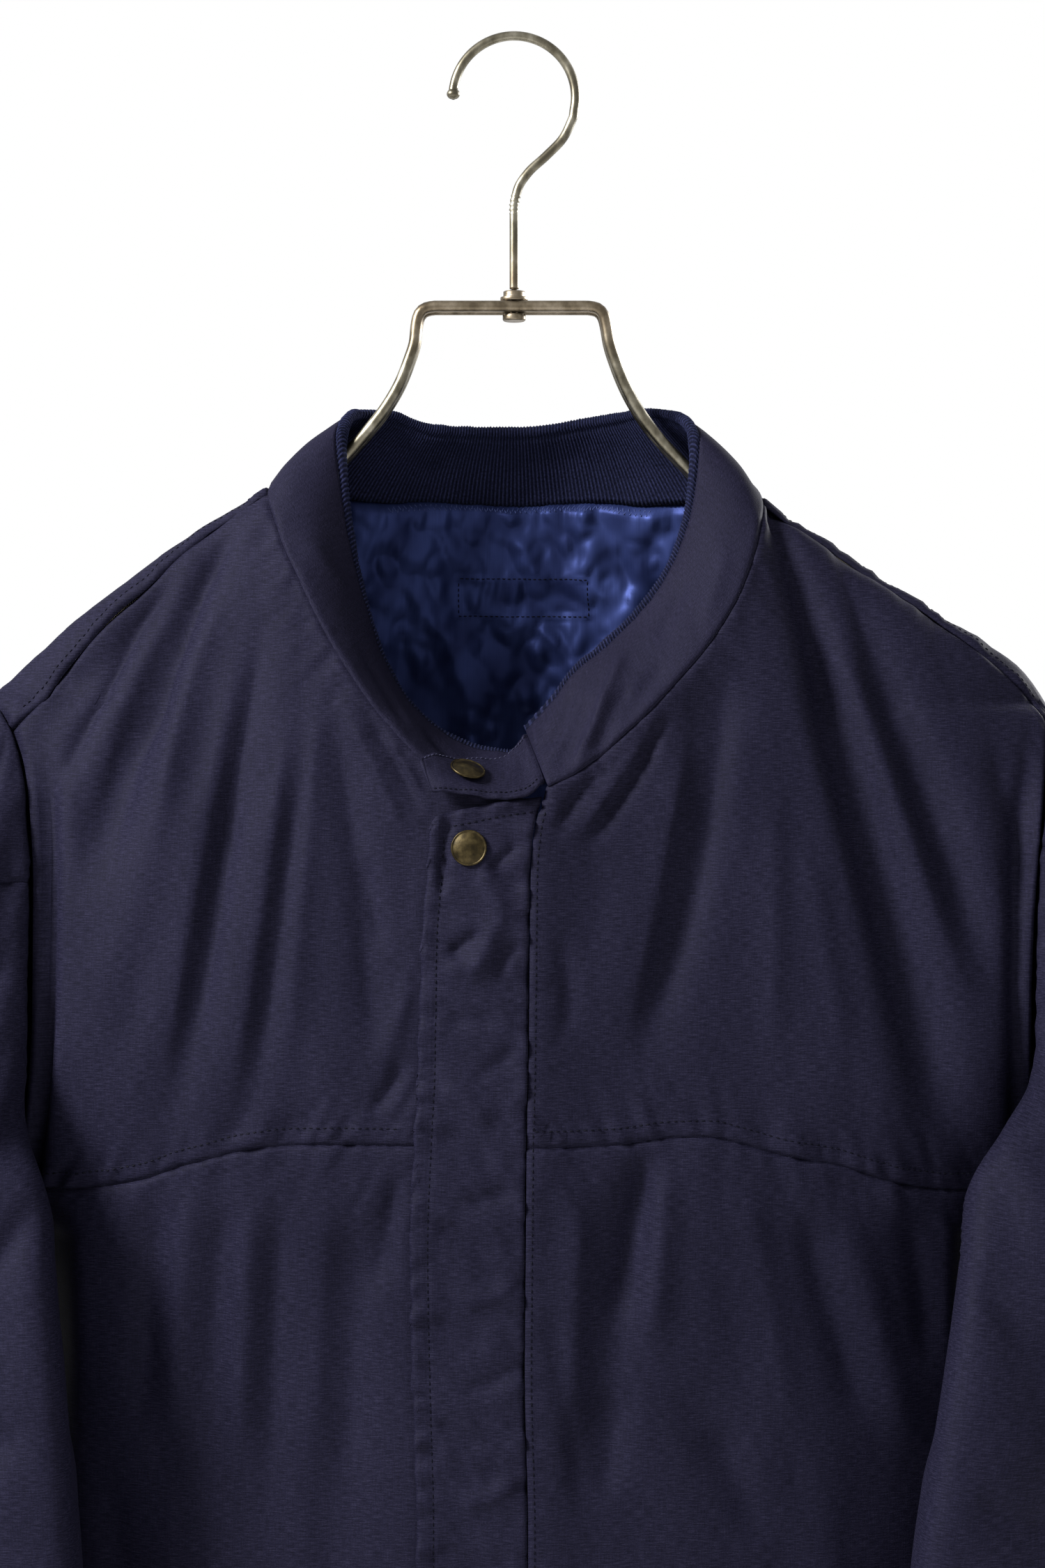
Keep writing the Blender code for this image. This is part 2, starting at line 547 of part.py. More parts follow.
def collar_stations(neck):
    """The neck's stations with one more halfway where the band turns over the shoulders."""
    fine = {}
    for name, rows in neck.items():
        places = []
        for k, row in enumerate(rows):
            places.append(row)
            if k in COLLAR_TURNS:
                places.append((row + rows[k + 1]) / 2)
        fine[name] = np.array(places)
    return fine


def border(points, normals, towards):
    """Seam directions at a border inside the body, whose two pieces share their normals."""
    along = unit(np.gradient(points, axis=0))
    apart = unit(np.cross(along, normals))
    apart = apart * np.sign(np.sum(apart * (towards - points), -1, keepdims=True))
    return normals, apart


def patch(low, high, first, last):
    """Fill four edges in the flat: low and high run across, first and last run up."""
    u = path_share(low)[None, :, None]
    v = np.linspace(0, 1, len(first))[:, None, None]
    across = low[None] * (1 - v) + high[None] * v
    up = first[:, None] * (1 - u) + last[:, None] * u
    corners = (low[0] * (1 - u) + low[-1] * u) * (1 - v) + (high[0] * (1 - u) + high[-1] * u) * v
    return across + up - corners


def path_share(line):
    """Length along a line to each of its points, as a share of the whole."""
    steps = np.linalg.norm(np.diff(line, axis=0), axis=1)
    length = np.concatenate([[0], np.cumsum(steps)])
    return length / length[-1]


def grid_normals(points):
    """Normals of a grid of points."""
    across = np.gradient(points, axis=1)
    up = np.gradient(points, axis=0)
    return unit(np.cross(across, up))


def face_outward(normals, points, middle):
    """Turn a grid's normals away from a middle, as one."""
    facing = np.sum(normals * (points - middle))
    return normals if facing > 0 else -normals


SIDES = {"low": np.s_[0, :], "high": np.s_[-1, :], "first": np.s_[:, 0], "last": np.s_[:, -1]}


def wall_panel(name, points, normals, seams, wall, material):
    """Make a wall on a grid of outer points.

    seams gives, for each border that is sewn, the vectors across its wall and those that
    point into this piece.
    """
    outer = points.copy()
    across = normals.copy()
    for side, (through, into) in seams.items():
        outer[SIDES[side]] += into * SEAM / 2
        across[SIDES[side]] = through
    return solid(name, outer, outer - across * wall, material)


def solid(name, outer, inner, material):
    """Close an outer and an inner grid into one body."""
    rows, columns = outer.shape[:2]
    count = rows * columns
    index = np.arange(count).reshape(rows, columns)
    faces = []
    for i in range(rows - 1):
        for j in range(columns - 1):
            quad = [index[i, j], index[i, j + 1], index[i + 1, j + 1], index[i + 1, j]]
            faces.append(quad)
            faces.append([quad[k] + count for k in (0, 3, 2, 1)])
    loop = list(index[0, :]) + list(index[1:, -1]) + list(index[-1, -2::-1])
    loop += list(index[-2:0:-1, 0])
    points = np.concatenate([outer.reshape(-1, 3), inner.reshape(-1, 3)])
    for a, b in zip(loop, loop[1:] + loop[:1]):
        faces += rim_faces(points, b, a, a + count, b + count)
    return mesh_object(name, points, faces, material)


def rim_faces(points, a, b, c, d):
    """Split a quad of a rim by its shorter diagonal, so that facing rims are split alike."""
    if np.linalg.norm(points[a] - points[c]) < np.linalg.norm(points[b] - points[d]):
        return [[a, b, c], [a, c, d]]
    return [[a, b, d], [b, c, d]]


def mesh_object(name, points, faces, material):
    """Make an object of points in millimetres, with its faces turned outward."""
    mesh = bpy.data.meshes.new(name)
    mesh.from_pydata((points * MM).tolist(), [], [[int(k) for k in face] for face in faces])
    bm = bmesh.new()
    bm.from_mesh(mesh)
    bmesh.ops.triangulate(bm, faces=bm.faces, quad_method="FIXED")
    bmesh.ops.recalc_face_normals(bm, faces=bm.faces)
    bm.to_mesh(mesh)
    bm.free()
    mesh.shade_smooth()
    mesh.set_sharp_from_angle(angle=np.radians(40))
    mesh.materials.append(material)
    thing = bpy.data.objects.new(name, mesh)
    bpy.context.scene.collection.objects.link(thing)
    return thing


def tube(name, path, radii, ups, sides, material, closed):
    """Sweep a circle along a path; ups are the directions that its frames keep to."""
    along = np.gradient(path, axis=0)
    if closed:
        along = np.roll(path, -1, axis=0) - np.roll(path, 1, axis=0)
    along = unit(along)
    ups = unit(ups - along * np.sum(ups * along, -1, keepdims=True))
    sideways = np.cross(along, ups)
    turn = np.arange(sides) * 2 * np.pi / sides
    ring = np.cos(turn)[None, :, None] * ups[:, None] + np.sin(turn)[None, :, None] * sideways[:, None]
    points = path[:, None] + ring * np.asarray(radii)[:, None, None]
    count = len(path)
    faces = []
    for i in range(count if closed else count - 1):
        for j in range(sides):
            a, b = i * sides, (i + 1) % count * sides
            k = (j + 1) % sides
            faces.append([a + j, a + k, b + k, b + j])
    if not closed:
        faces.append(list(range(sides)))
        faces.append([(count - 1) * sides + k for k in range(sides)])
    return mesh_object(name, points.reshape(-1, 3), faces, material)


def turned(name, middle, axis, profile, sides, material):
    """Turn a profile of (height, radius) rows about an axis; ends of no radius are points."""
    axis = unit(np.asarray(axis, float))
    first = unit(np.cross(axis, (0.3, 0.1, 1.0)))
    second = np.cross(axis, first)
    turn = np.arange(sides) * 2 * np.pi / sides
    points = []
    rings = []
    for rise, radius in profile:
        centre = np.asarray(middle) + axis * rise
        if radius == 0:
            rings.append([len(points)] * sides)
            points.append(centre)
            continue
        rings.append(list(range(len(points), len(points) + sides)))
        for angle in turn:
            points.append(centre + radius * (np.cos(angle) * first + np.sin(angle) * second))
    faces = []
    for low, high in zip(rings, rings[1:]):
        for j in range(sides):
            k = (j + 1) % sides
            face = [low[j], low[k], high[k], high[j]]
            faces.append(list(dict.fromkeys(face)))
    for ring in (rings[0], rings[-1]):
        if len(set(ring)) == sides:
            faces.append(ring)
    return mesh_object(name, np.array(points), faces, material)


def principled(name, colour, roughness, metallic=0.0):
    """A plain material."""
    material = bpy.data.materials.new(name)
    material.use_nodes = True
    shader = material.node_tree.nodes["Principled BSDF"]
    shader.inputs["Base Color"].default_value = (*colour, 1)
    shader.inputs["Roughness"].default_value = roughness
    shader.inputs["Metallic"].default_value = metallic
    return material


def shell_cloth(name):
    """Navy woven cloth of the shell, one material for each piece."""
    return principled(name + "_cloth", (0.027, 0.027, 0.055), 0.75)


def rib_knit(name):
    """Dark navy rib knit."""
    return principled(name + "_rib", (0.012, 0.014, 0.035), 0.9)


def snap_metal(name):
    """Aged brass of a snap cap."""
    return principled(name + "_brass", (0.16, 0.11, 0.045), 0.38, 0.9)


def hanger_metal(name):
    """Aged nickel of the hanger."""
    return principled(name + "_nickel", (0.27, 0.25, 0.2), 0.32, 1.0)


def front_inner_x(side, z):
    """Where a front ends next to the zip: the right under the placket, the left at its seam."""
    seam = smooth(PLACKET, "z", "seam", z)
    return np.where(side < 0, RIGHT_FRONT_EDGE, seam)


def flat_yoke_seam(side):
    """Yoke seam of one side, from the armhole to the front edge."""
    armhole_z = YOKE_SEAM["z"][0]
    start = smooth(EDGE[side], "z", "x", armhole_z)
    end = front_inner_x(side, smooth(YOKE_SEAM, "x", "z", RIGHT_FRONT_EDGE))
    x = start + (end - start) * np.linspace(0, 1, FRONT_COLUMNS + 1) ** FRONT_CROWD
    z = smooth(YOKE_SEAM, "x", "z", x)
    z[0] = armhole_z
    return np.stack([x, z], -1)


def flat_shoulder_seam(side, columns):
    """Forward shoulder seam of one side, from the armhole to the neck."""
    rows = SHOULDER_SEAM[side]
    start, end = rows["x"][-1], rows["x"][0]
    x = np.linspace(start, end, columns + 1)
    return np.stack([x, smooth(rows, "x", "z", x)], -1)


def make_yoke(side, name, hole, neck):
    """Upper front: armhole, shoulder seam, neck, front edge and yoke seam."""
    low = flat_yoke_seam(side)
    high = flat_shoulder_seam(side, FRONT_COLUMNS)
    rows = slice(SHOULDER_LEVEL, YOKE_LEVEL + 1)
    first = hole["points"][rows][::-1][:, [0, 2]]
    stations = np.arange(NECK_FRONT + 1)
    if side > 0:
        stations = len(NECK["base_x"]) - 1 - stations
    neckline = np.stack([NECK["base_x"], NECK["base_z"]], -1)[stations]
    steps = len(first) - 1 - NECK_FRONT
    z = np.linspace(low[-1, 1], neckline[0, 1], steps + 1)[:-1]
    last = np.concatenate([np.stack([front_inner_x(side, z), z], -1), neckline])
    flat = patch(low, high, first, last)
    x, z = flat[..., 0], flat[..., 1]
    w = down(x, z, -1)
    points = body(x, w)
    points[:, 0] = hole["points"][rows][::-1]
    points[steps:, -1] = neck["points"][stations]
    normals = body_normal(x, w)
    for grid in (points, normals):
        grid[-1, 1::2] = (grid[-1, :-1:2] + grid[-1, 2::2]) / 2
    seams = {
        "low": border(points[0], normals[0], points[1]),
        "high": border(points[-1], normals[-1], points[-2]),
        "first": (hole["across"][rows][::-1], hole["apart"][rows][::-1]),
    }
    through, into = border(points[:, -1], normals[:, -1], points[:, -2])
    through = through.copy()
    through[steps:] = neck["across"][stations]
    into[steps:] = neck["apart"][stations]
    seams["last"] = (through, into)
    return wall_panel(name, points, normals, seams, WALL, shell_cloth(name))


def make_lower_front(side, name, hole):
    """Lower front: yoke seam to hem band, underarm and side seam to the front edge."""
    rows = slice(YOKE_LEVEL, len(ARMHOLE_LEVELS[side]))
    upper = hole["points"][rows][::-1]
    side_z = np.linspace(HEM_SEAM_Z, UNDERARM_Z, SIDE_ROWS + 1)[:-1]
    outer_edge = np.concatenate([edge_point(side, side_z, -1), upper])
    first = outer_edge[:, [0, 2]]
    high = flat_yoke_seam(side)
    inner_z = np.linspace(HEM_SEAM_Z, high[-1, 1], len(first))
    last = np.stack([front_inner_x(side, inner_z), inner_z], -1)
    low_x = first[0, 0] + (last[0, 0] - first[0, 0]) * path_share(high)
    low = np.stack([low_x, np.full(len(high), HEM_SEAM_Z)], -1)
    flat = patch(low, high, first, last)
    x, z = flat[..., 0], flat[..., 1]
    w = down(x, z, -1)
    points = body(x, w)
    points[0, :, 2] = HEM_SEAM_Z
    points[:, 0] = outer_edge
    normals = body_normal(x, w)
    through, into = side_directions(side, len(side_z), -1)
    apart = hole["apart"][rows][::-1].copy()
    apart[0] += into[0]
    seams = {
        "high": border(points[-1], normals[-1], points[-2]),
        "last": border(points[:, -1], normals[:, -1], points[:, -2]),
        "first": (np.concatenate([through, hole["across"][rows][::-1]]),
                  np.concatenate([into, apart])),
    }
    return wall_panel(name, points, normals, seams, WALL, shell_cloth(name))


def side_directions(side, count, face):
    """Seam directions down a side seam, where front and back meet end on."""
    through = np.tile((float(side), 0.0, 0.0), (count, 1))
    into = np.tile((0.0, float(face), 0.0), (count, 1))
    return through, into


def back_edge(side, hole):
    """One side of the back: side seam, armhole, over the shoulder tip to the forward seam."""
    levels = len(ARMHOLE_LEVELS[side])
    side_z = np.linspace(HEM_SEAM_Z, UNDERARM_Z, SIDE_ROWS + 1)[:-1]
    order = list(range(levels - 1, 2 * levels - 1)) + [2 * levels - 1]
    order += list(range(0, SHOULDER_LEVEL + 1))
    points = np.concatenate([edge_point(side, side_z, 1), hole["points"][order]])
    through, into = side_directions(side, SIDE_ROWS, 1)
    across = np.concatenate([through, hole["across"][order]])
    apart = np.concatenate([into, hole["apart"][order]])
    apart[SIDE_ROWS] += into[0]
    face = np.ones(len(points))
    face[SIDE_ROWS + levels:] = -1
    w = down(points[:, 0], points[:, 2], face)
    w[SIDE_ROWS + levels] = 0.0
    return points, np.stack([points[:, 0], w], -1), across, apart


def make_back(holes, neck):
    """Back, with the strip that comes forward over each shoulder."""
    right, right_flat, right_across, right_apart = back_edge(-1, holes[-1])
    left, left_flat, left_across, left_apart = back_edge(1, holes[1])
    nape = slice(NECK_FRONT, NECK_FRONT + NECK_BACK + 1)
    middle_x = NECK["base_x"][nape]
    middle_w = down(middle_x, NECK["base_z"][nape], NECK["face"][nape])
    shoulders = []
    for side in (-1, 1):
        seam = flat_shoulder_seam(side, SHOULDER_COLUMNS)
        shoulders.append(np.stack([seam[:, 0], down(seam[:, 0], seam[:, 1], -1)], -1))
    high = np.concatenate([
        shoulders[0], np.stack([middle_x, middle_w], -1)[1:-1], shoulders[1][::-1]])
    share = path_share(high)
    low_x = right_flat[0, 0] + (left_flat[0, 0] - right_flat[0, 0]) * share
    low = np.stack([low_x, down(low_x, np.full(len(low_x), HEM_SEAM_Z), 1)], -1)
    flat = patch(low, high, right_flat, left_flat)
    x, w = flat[..., 0], flat[..., 1]
    points = body(x, w)
    points[0, :, 2] = HEM_SEAM_Z
    points[:, 0] = right
    points[:, -1] = left
    columns = slice(SHOULDER_COLUMNS, SHOULDER_COLUMNS + NECK_BACK + 1)
    points[-1, columns] = neck["points"][nape]
    normals = body_normal(x, w)
    through, into = border(points[-1], normals[-1], points[-2])
    through = through.copy()
    through[columns] = neck["across"][nape]
    into[columns] = neck["apart"][nape]
    seams = {
        "high": (through, into),
        "first": (right_across, right_apart),
        "last": (left_across, left_apart),
    }
    return wall_panel("back", points, normals, seams, WALL, shell_cloth("back"))


def sleeve_normals(side, z, u):
    """Outward normals of a sleeve, from its points a little way off on both sides."""
    z, u = np.broadcast_arrays(np.asarray(z, float), np.asarray(u, float))
    across = sleeve(side, z, u + 0.01) - sleeve(side, z, u - 0.01)
    along = sleeve(side, z + 1, u) - sleeve(side, z - 1, u)
    return unit(np.cross(across, along)) * side


def make_cap(side, name, hole):
    """Upper sleeve panel, from the armhole to the seam round the upper arm."""
    levels = np.array(ARMHOLE_LEVELS[side], float)[:CAP_LEVEL + 1]
    u = np.linspace(0, 1, SLEEVE_COLUMNS + 1)
    points = sleeve(side, levels[:, None], u[None])
    total = len(ARMHOLE_LEVELS[side])
    tip = hole["points"][-1]
    arch = np.stack([hole["points"][0], tip, hole["points"][2 * total - 2]])
    share = u * 2
    for k in range(3):
        points[0, :, k] = np.interp(share, [0, 1, 2], arch[:, k])
    ahead = slice(0, CAP_LEVEL + 1)
    behind = np.arange(2 * total - 2, 2 * total - 3 - CAP_LEVEL, -1)
    points[:, 0] = hole["points"][ahead]
    points[:, -1] = hole["points"][behind]
    normals = sleeve_normals(side, levels[:, None], u[None])
    arch_across = np.stack([hole["across"][0], hole["across"][-1], hole["across"][2 * total - 2]])
    arch_apart = np.stack([hole["apart"][0], hole["apart"][-1], hole["apart"][2 * total - 2]])
    across = np.stack([np.interp(share, [0, 1, 2], arch_across[:, k]) for k in range(3)], -1)
    apart = unit(np.stack([np.interp(share, [0, 1, 2], arch_apart[:, k]) for k in range(3)], -1))
    seams = {
        "high": border(points[-1], normals[-1], points[-2]),
        "low": (across, -apart),
        "first": (hole["across"][ahead], -hole["apart"][ahead]),
        "last": (hole["across"][behind], -hole["apart"][behind]),
    }
    return wall_panel(name, points, normals, seams, WALL, shell_cloth(name))


def make_sleeve(side, name, hole):
    """Sleeve, from the panel seam and the armhole's lower part to the cuff."""
    upper = np.array(ARMHOLE_LEVELS[side], float)[CAP_LEVEL:]
    lower = np.linspace(UNDERARM_Z, CUFF_SEAM_Z, SIDE_ROWS + 2)[1:]
    levels = np.concatenate([upper, lower])
    u = np.linspace(0, 1, SLEEVE_COLUMNS + 1)
    points = sleeve(side, levels[:, None], u[None])
    total = len(ARMHOLE_LEVELS[side])
    count = len(upper)
    ahead = np.arange(CAP_LEVEL, total)
    behind = np.arange(2 * total - 2 - CAP_LEVEL, total - 2, -1)
    points[:count, 0] = hole["points"][ahead]
    points[:count, -1] = hole["points"][behind]
    normals = sleeve_normals(side, levels[:, None], u[None])
    seams = {"low": border(points[0], normals[0], points[1])}
    for key, order, column, near in (("first", ahead, 0, 1), ("last", behind, -1, -2)):
        through, into = border(points[:, column], normals[:, column], points[:, near])
        through = through.copy()
        underarm = into[count - 1].copy()
        through[:count] = hole["across"][order]
        into[:count] = -hole["apart"][order]
        into[count - 1] += underarm
        seams[key] = (through, into)
    return wall_panel(name, points, normals, seams, WALL, shell_cloth(name))


def make_cuff(side, name):
    """Rib cuff: a tube of its own, just below the sleeve."""
    z = CUFF_SEAM_Z - np.array([SEAM, CUFF_DROP, CUFF_LENGTH])
    turn = np.linspace(0, 2 * np.pi, CUFF_COLUMNS + 1)
    points = sleeve_ring(side, z[:, None], turn[None] + 0 * z[:, None])
    middle = np.mean(points[:, :-1], axis=1, keepdims=True)
    normals = face_outward(grid_normals(points), points, middle)
    normals[:, 0] = unit(normals[:, 0] + normals[:, -1])
    normals[:, -1] = normals[:, 0]
    seams = {"first": border(points[:, 0], normals[:, 0], points[:, 1]),
             "last": border(points[:, -1], normals[:, -1], points[:, -2])}
    return wall_panel(name, points, normals, seams, RIB_WALL, rib_knit(name))


def make_hem_band():
    """Rib hem band, open under the placket."""
    bent = np.sin(np.linspace(0, np.pi / 2, HEM_COLUMNS + 1))
    right_edge = edge(-1.0, HEM_SEAM_Z, "x")
    left_edge = edge(1.0, HEM_SEAM_Z, "x")
    left_start = smooth(PLACKET, "z", "seam", HEM_SEAM_Z) + SEAM
    x = np.concatenate([
        RIGHT_FRONT_EDGE + (right_edge - RIGHT_FRONT_EDGE) * bent[:-1],
        right_edge * bent[::-1][:-1],
        left_edge * bent[:-1],
        left_start + (left_edge - left_start) * bent[::-1]])
    face = np.repeat([-1.0, 1.0, -1.0], [HEM_COLUMNS, 2 * HEM_COLUMNS, HEM_COLUMNS + 1])
    top = body(x, down(x, np.full(len(x), HEM_SEAM_Z), face))
    z = HEM_SEAM_Z - np.array([SEAM, HEM_DROP, HEM_BAND])
    points = np.stack([top * (k, k, 0) + (0, 0, level) for k, level in zip(HEM_DRAW, z)])
    straight = np.abs(points[..., 0]) < HEM_STRAIGHT
    points[..., 0] = np.where(straight, top[None, :, 0], points[..., 0])
    normals = face_outward(grid_normals(points), points, points * (0, 0, 1))
    return wall_panel("hem_band", points, normals, {}, RIB_WALL, rib_knit("hem_band"))


def collar_outward(base):
    """Rough outward directions round the neck."""
    return base * (0.3, 1, 0) + (0, 0, 40)


def collar_bow(count, rise):
    """How far the collar stands out of a flat band at a share of its height, for each station.

    Its right end is flat, because the tab lies on it.
    """
    flat = ease((np.arange(count) - 1) / 2)
    return COLLAR_BOW * 4 * rise * (1 - rise) * flat


def collar_surface(neck, rise):
    """Collar's outer points at a share of its band, base 0 to top 1, a little rounded."""
    base, top = neck["points"], neck["top"]
    middle = unit(np.cross(np.gradient(base, axis=0), top - base))
    middle = middle * np.sign(np.sum(middle * collar_outward(base), -1, keepdims=True))
    return base + (top - base) * rise + middle * collar_bow(len(base), rise)[:, None], middle


def make_collar(neck):
    """Outer cloth of the stand collar."""
    neck = collar_stations(neck)
    points = np.stack([collar_surface(neck, rise)[0] for rise in COLLAR_ROWS])
    normals = np.repeat(collar_surface(neck, 0)[1][None], len(COLLAR_ROWS), 0)
    seams = {"low": (neck["across"], -neck["apart"])}
    return wall_panel("collar", points, normals, seams, WALL, shell_cloth("collar"))


def make_collar_rib(neck):
    """Rib knit inside the collar, rolled over its top edge."""
    neck = collar_stations(neck)
    base, out = collar_surface(neck, 0)
    up = unit(neck["top"] - base)
    tall = np.linalg.norm(neck["top"] - base, axis=-1)
    inside = WALL + SEAM
    deep = inside + RIB_WALL
    count = len(base)
    profile = [(tall * rise, collar_bow(count, rise) - inside) for rise in COLLAR_ROWS[1:]]
    roll = tall[:, None] + (RIB_CLEAR, RIB_SHOULDER, RIB_ROLL, RIB_ROLL)
    profile += [(tall + RIB_CLEAR, -inside)]
    profile += list(zip(roll.T, RIB_BULGE))
    profile += [(tall + RIB_SHOULDER, -deep)]
    profile += [(tall * rise, collar_bow(count, rise) - deep) for rise in COLLAR_ROWS[-2:0:-1]]
    rings = [base + up * along[:, None] + out * np.broadcast_to(off, along.shape)[:, None]
             for along, off in profile]
    points = np.stack(rings, 1)
    around = len(profile)
    faces = []
    for i in range(count - 1):
        for j in range(around):
            k = (j + 1) % around
            faces.append([i * around + j, i * around + k, (i + 1) * around + k, (i + 1) * around + j])
    faces.append(list(range(around)))
    faces.append([(count - 1) * around + j for j in range(around)])
    return mesh_object("collar_rib", points.reshape(-1, 3), faces, rib_knit("collar_rib"))


def tab_surface(neck, along, rise):
    """Tab's outer points at shares along it and up it."""
    rows = dict(TAB, row=np.linspace(0, 1, len(TAB["low_x"])))
    for level, name in zip((0.07, 0.5, 1), ("low", "mid", "high")):
        end = collar_surface(neck, level)[0][-1] - (SEAM, 0, 0)
        for axis, value in zip("xyz", end):
            rows[name + "_" + axis] = np.append(value, rows[name + "_" + axis][1:])
    edges = []
    for name in ("low", "mid", "high"):
        edges.append(np.stack([smooth(rows, "row", name + "_" + k, along) for k in "xyz"], -1))
    low, mid, high = edges
    lower = low + (mid - low) * rise * 2
    upper = mid + (high - mid) * (rise * 2 - 1)
    return np.where(rise < 0.5, lower, upper)


def make_tab(neck):
    """Collar tab that laps over the right end of the collar."""
    along = np.linspace(0, 1, TAB_COLUMNS + 1)
    points = np.stack([tab_surface(neck, along, rise) for rise in (0, 0.5, 1)])
    normals = grid_normals(points)
    normals = normals * np.sign(normals[1, TAB_COLUMNS // 2] @ TAB_FACING)
    normals[:, 0] = collar_surface(neck, 0)[1][-1]
    return wall_panel("collar_tab", points, normals, {}, WALL, shell_cloth("collar_tab"))


def make_tab_snap(neck):
    """Snap cap on the tab."""
    along, rise = TAB_SNAP
    middle = tab_surface(neck, along, rise)
    sideways = tab_surface(neck, along + 0.05, rise) - tab_surface(neck, along - 0.05, rise)
    up = tab_surface(neck, along, rise + 0.05) - tab_surface(neck, along, rise)
    axis = unit(np.cross(sideways, up))
    axis = axis * np.sign(axis @ TAB_FACING)
    return make_snap("tab_snap", middle + axis * TAB_SNAP_LIFT, axis)


def make_placket():
    """Fly placket, lifted off the right front."""
    share = np.linspace(0, 1, PLACKET_COLUMNS + 1)
    top_x = PLACKET_TOP["x"][0] + (PLACKET_TOP["x"][-1] - PLACKET_TOP["x"][0]) * share
    top_z = smooth(PLACKET_TOP, "x", "z", top_x)
    down_share = np.linspace(0, 1, PLACKET_ROWS + 1)[:, None]
    z = top_z[None] + (HEM_SEAM_Z - HEM_BAND - top_z[None]) * down_share
    seam = smooth(PLACKET, "z", "seam", z) - SEAM
    free = smooth(PLACKET, "z", "edge", z)
    x = free + (seam - free) * share[None]
    w = down(x, np.maximum(z, HEM_SEAM_Z), -1)
    normals = slope_normal(plain_body, x, w)
    points = plain_body(x, w) + normals * PLACKET_LIFT
    lower = z < HEM_SEAM_Z
    points[..., 2] = np.where(lower, z, points[..., 2])
    return wall_panel("placket", points, normals, {}, PLACKET_WALL, shell_cloth("placket"))


def make_snap(name, middle, axis):
    """Snap cap: a low dome with a rolled rim."""
    radius = SNAP_RADIUS
    profile = [(0, radius * 0.92), (SNAP_HEIGHT * 0.35, radius), (SNAP_HEIGHT * 0.7, radius * 0.93),
               (SNAP_HEIGHT * 0.9, radius * 0.7), (SNAP_HEIGHT, radius * 0.35), (SNAP_HEIGHT, 0)]
    return turned(name, middle, axis, profile, SNAP_SIDES, snap_metal(name))


def make_placket_snap():
    """Snap cap at the placket's top."""
    x, z = PLACKET_SNAP
    w = down(x, z, -1)
    axis = slope_normal(plain_body, np.array(x), w)
    return make_snap("placket_snap", plain_body(x, w) + axis * (PLACKET_LIFT + SEAM), axis)


def make_lining():
    """Satin lining of the upper back, seen through the neck."""
    x = np.linspace(-LINING_HALF, LINING_HALF, LINING_COLUMNS + 1)
    nape = slice(NECK_FRONT + 1, NECK_FRONT + NECK_BACK)
    neck_w = down(NECK["base_x"][nape], NECK["base_z"][nape], 1)
    top_w = np.interp(x, NECK["base_x"][nape], neck_w) + LINING_DROP
    top_w = np.maximum(top_w, LINING_RIDGE)
    low_w = down(x, np.full(len(x), LINING_END_Z), 1)
    share = np.linspace(0, 1, LINING_ROWS + 1)[:, None]
    w = top_w + (low_w - top_w) * share
    grid_x = x[None] + 0 * w
    normals = body_normal(grid_x, w)
    inset = LINING_TOP_INSET + (LINING_INSET - LINING_TOP_INSET) * ease(share * 4)
    points = body(grid_x, w) - normals * inset[..., None]
    name = "back_lining"
    satin = principled(name + "_satin", (0.02, 0.028, 0.1), 0.3)
    return wall_panel(name, points, normals, {}, LINING_WALL, satin)


# Hanger: the loop of wire as seen from the front, hub to shoulder end, with half the gap
# between its two runs and how far both stand back.
WIRE_RADIUS = 2.5
HOOK_RADIUS = 2.0
HANGER_ARM = {
    -1: table(
        "x z gap back",
        (0, -120.1, 4.5, 0), (-34.0, -120.1, 4.5, 0), (-38.5, -120.9, 4.5, 0),
        (-41.2, -123.6, 4.5, 0), (-42.3, -128.0, 4.5, 0), (-43.0, -135.0, 4.5, 0),
        (-45.6, -143.5, 4.5, 0), (-49.6, -153.5, 4.5, 0), (-55.5, -163.5, 4.4, 0.5),
        (-63.0, -173.0, 4.2, 2.0), (-72.0, -182.8, 3.6, 4.6), (-88.0, -199.0, 3.4, 5.5),
        (-100.0, -207.5, 3.8, 5.0), (-108.0, -210.8, 5.5, 3.0), (-117.0, -213.2, 7.0, 1.0),
        (-126.0, -217.2, 8.0, 0), (-156.0, -237.8, 8.0, 0), (-175.0, -254.4, 7.0, 0),
        (-187.0, -264.2, 5.4, 0), (-192.5, -268.6, 3.9, 0), (-194.5, -270.2, 1.6, 0)),
    1: table(
        "x z gap back",
        (0, -120.1, 4.5, 0), (31.5, -120.1, 4.5, 0), (36.0, -120.9, 4.5, 0),
        (38.6, -123.6, 4.5, 0), (39.8, -128.0, 4.5, 0), (41.0, -135.0, 4.5, 0),
        (44.2, -145.2, 4.5, 0), (48.9, -156.4, 4.5, 0), (55.5, -167.5, 4.4, 0.5),
        (63.0, -177.0, 4.2, 2.0), (73.5, -187.6, 3.6, 4.6), (89.0, -203.0, 3.4, 5.5),
        (100.0, -211.0, 3.8, 5.0), (109.0, -215.3, 5.5, 3.0), (117.0, -218.2, 7.0, 1.0),
        (126.0, -222.8, 8.0, 0), (156.0, -243.8, 8.0, 0), (175.0, -258.4, 7.0, 0),
        (187.0, -266.4, 5.4, 0), (192.5, -269.4, 3.9, 0), (194.5, -270.4, 1.6, 0)),
}
HOOK_CIRCLE = (0.0, -28.6, 26.6)    # middle x, middle z, radius of the wire's own line
HOOK_SWEEP = (173, -12)             # degrees at which it starts and ends
HOOK_STEPS = 17
HOOK_NECK = table(
    "x z",
    (26.0, -36.5), (21.5, -46.0), (14.0, -54.0), (6.0, -61.5), (1.6, -68.5), (0.0, -77.0),
    (0.0, -99.0), (0.0, -112.6))
HOOK_BALL = table(
    "drop radius",
    (4.0, 1.2), (3.5, 2.2), (2.5, 2.8), (1.4, 2.8), (0.2, 2.0))
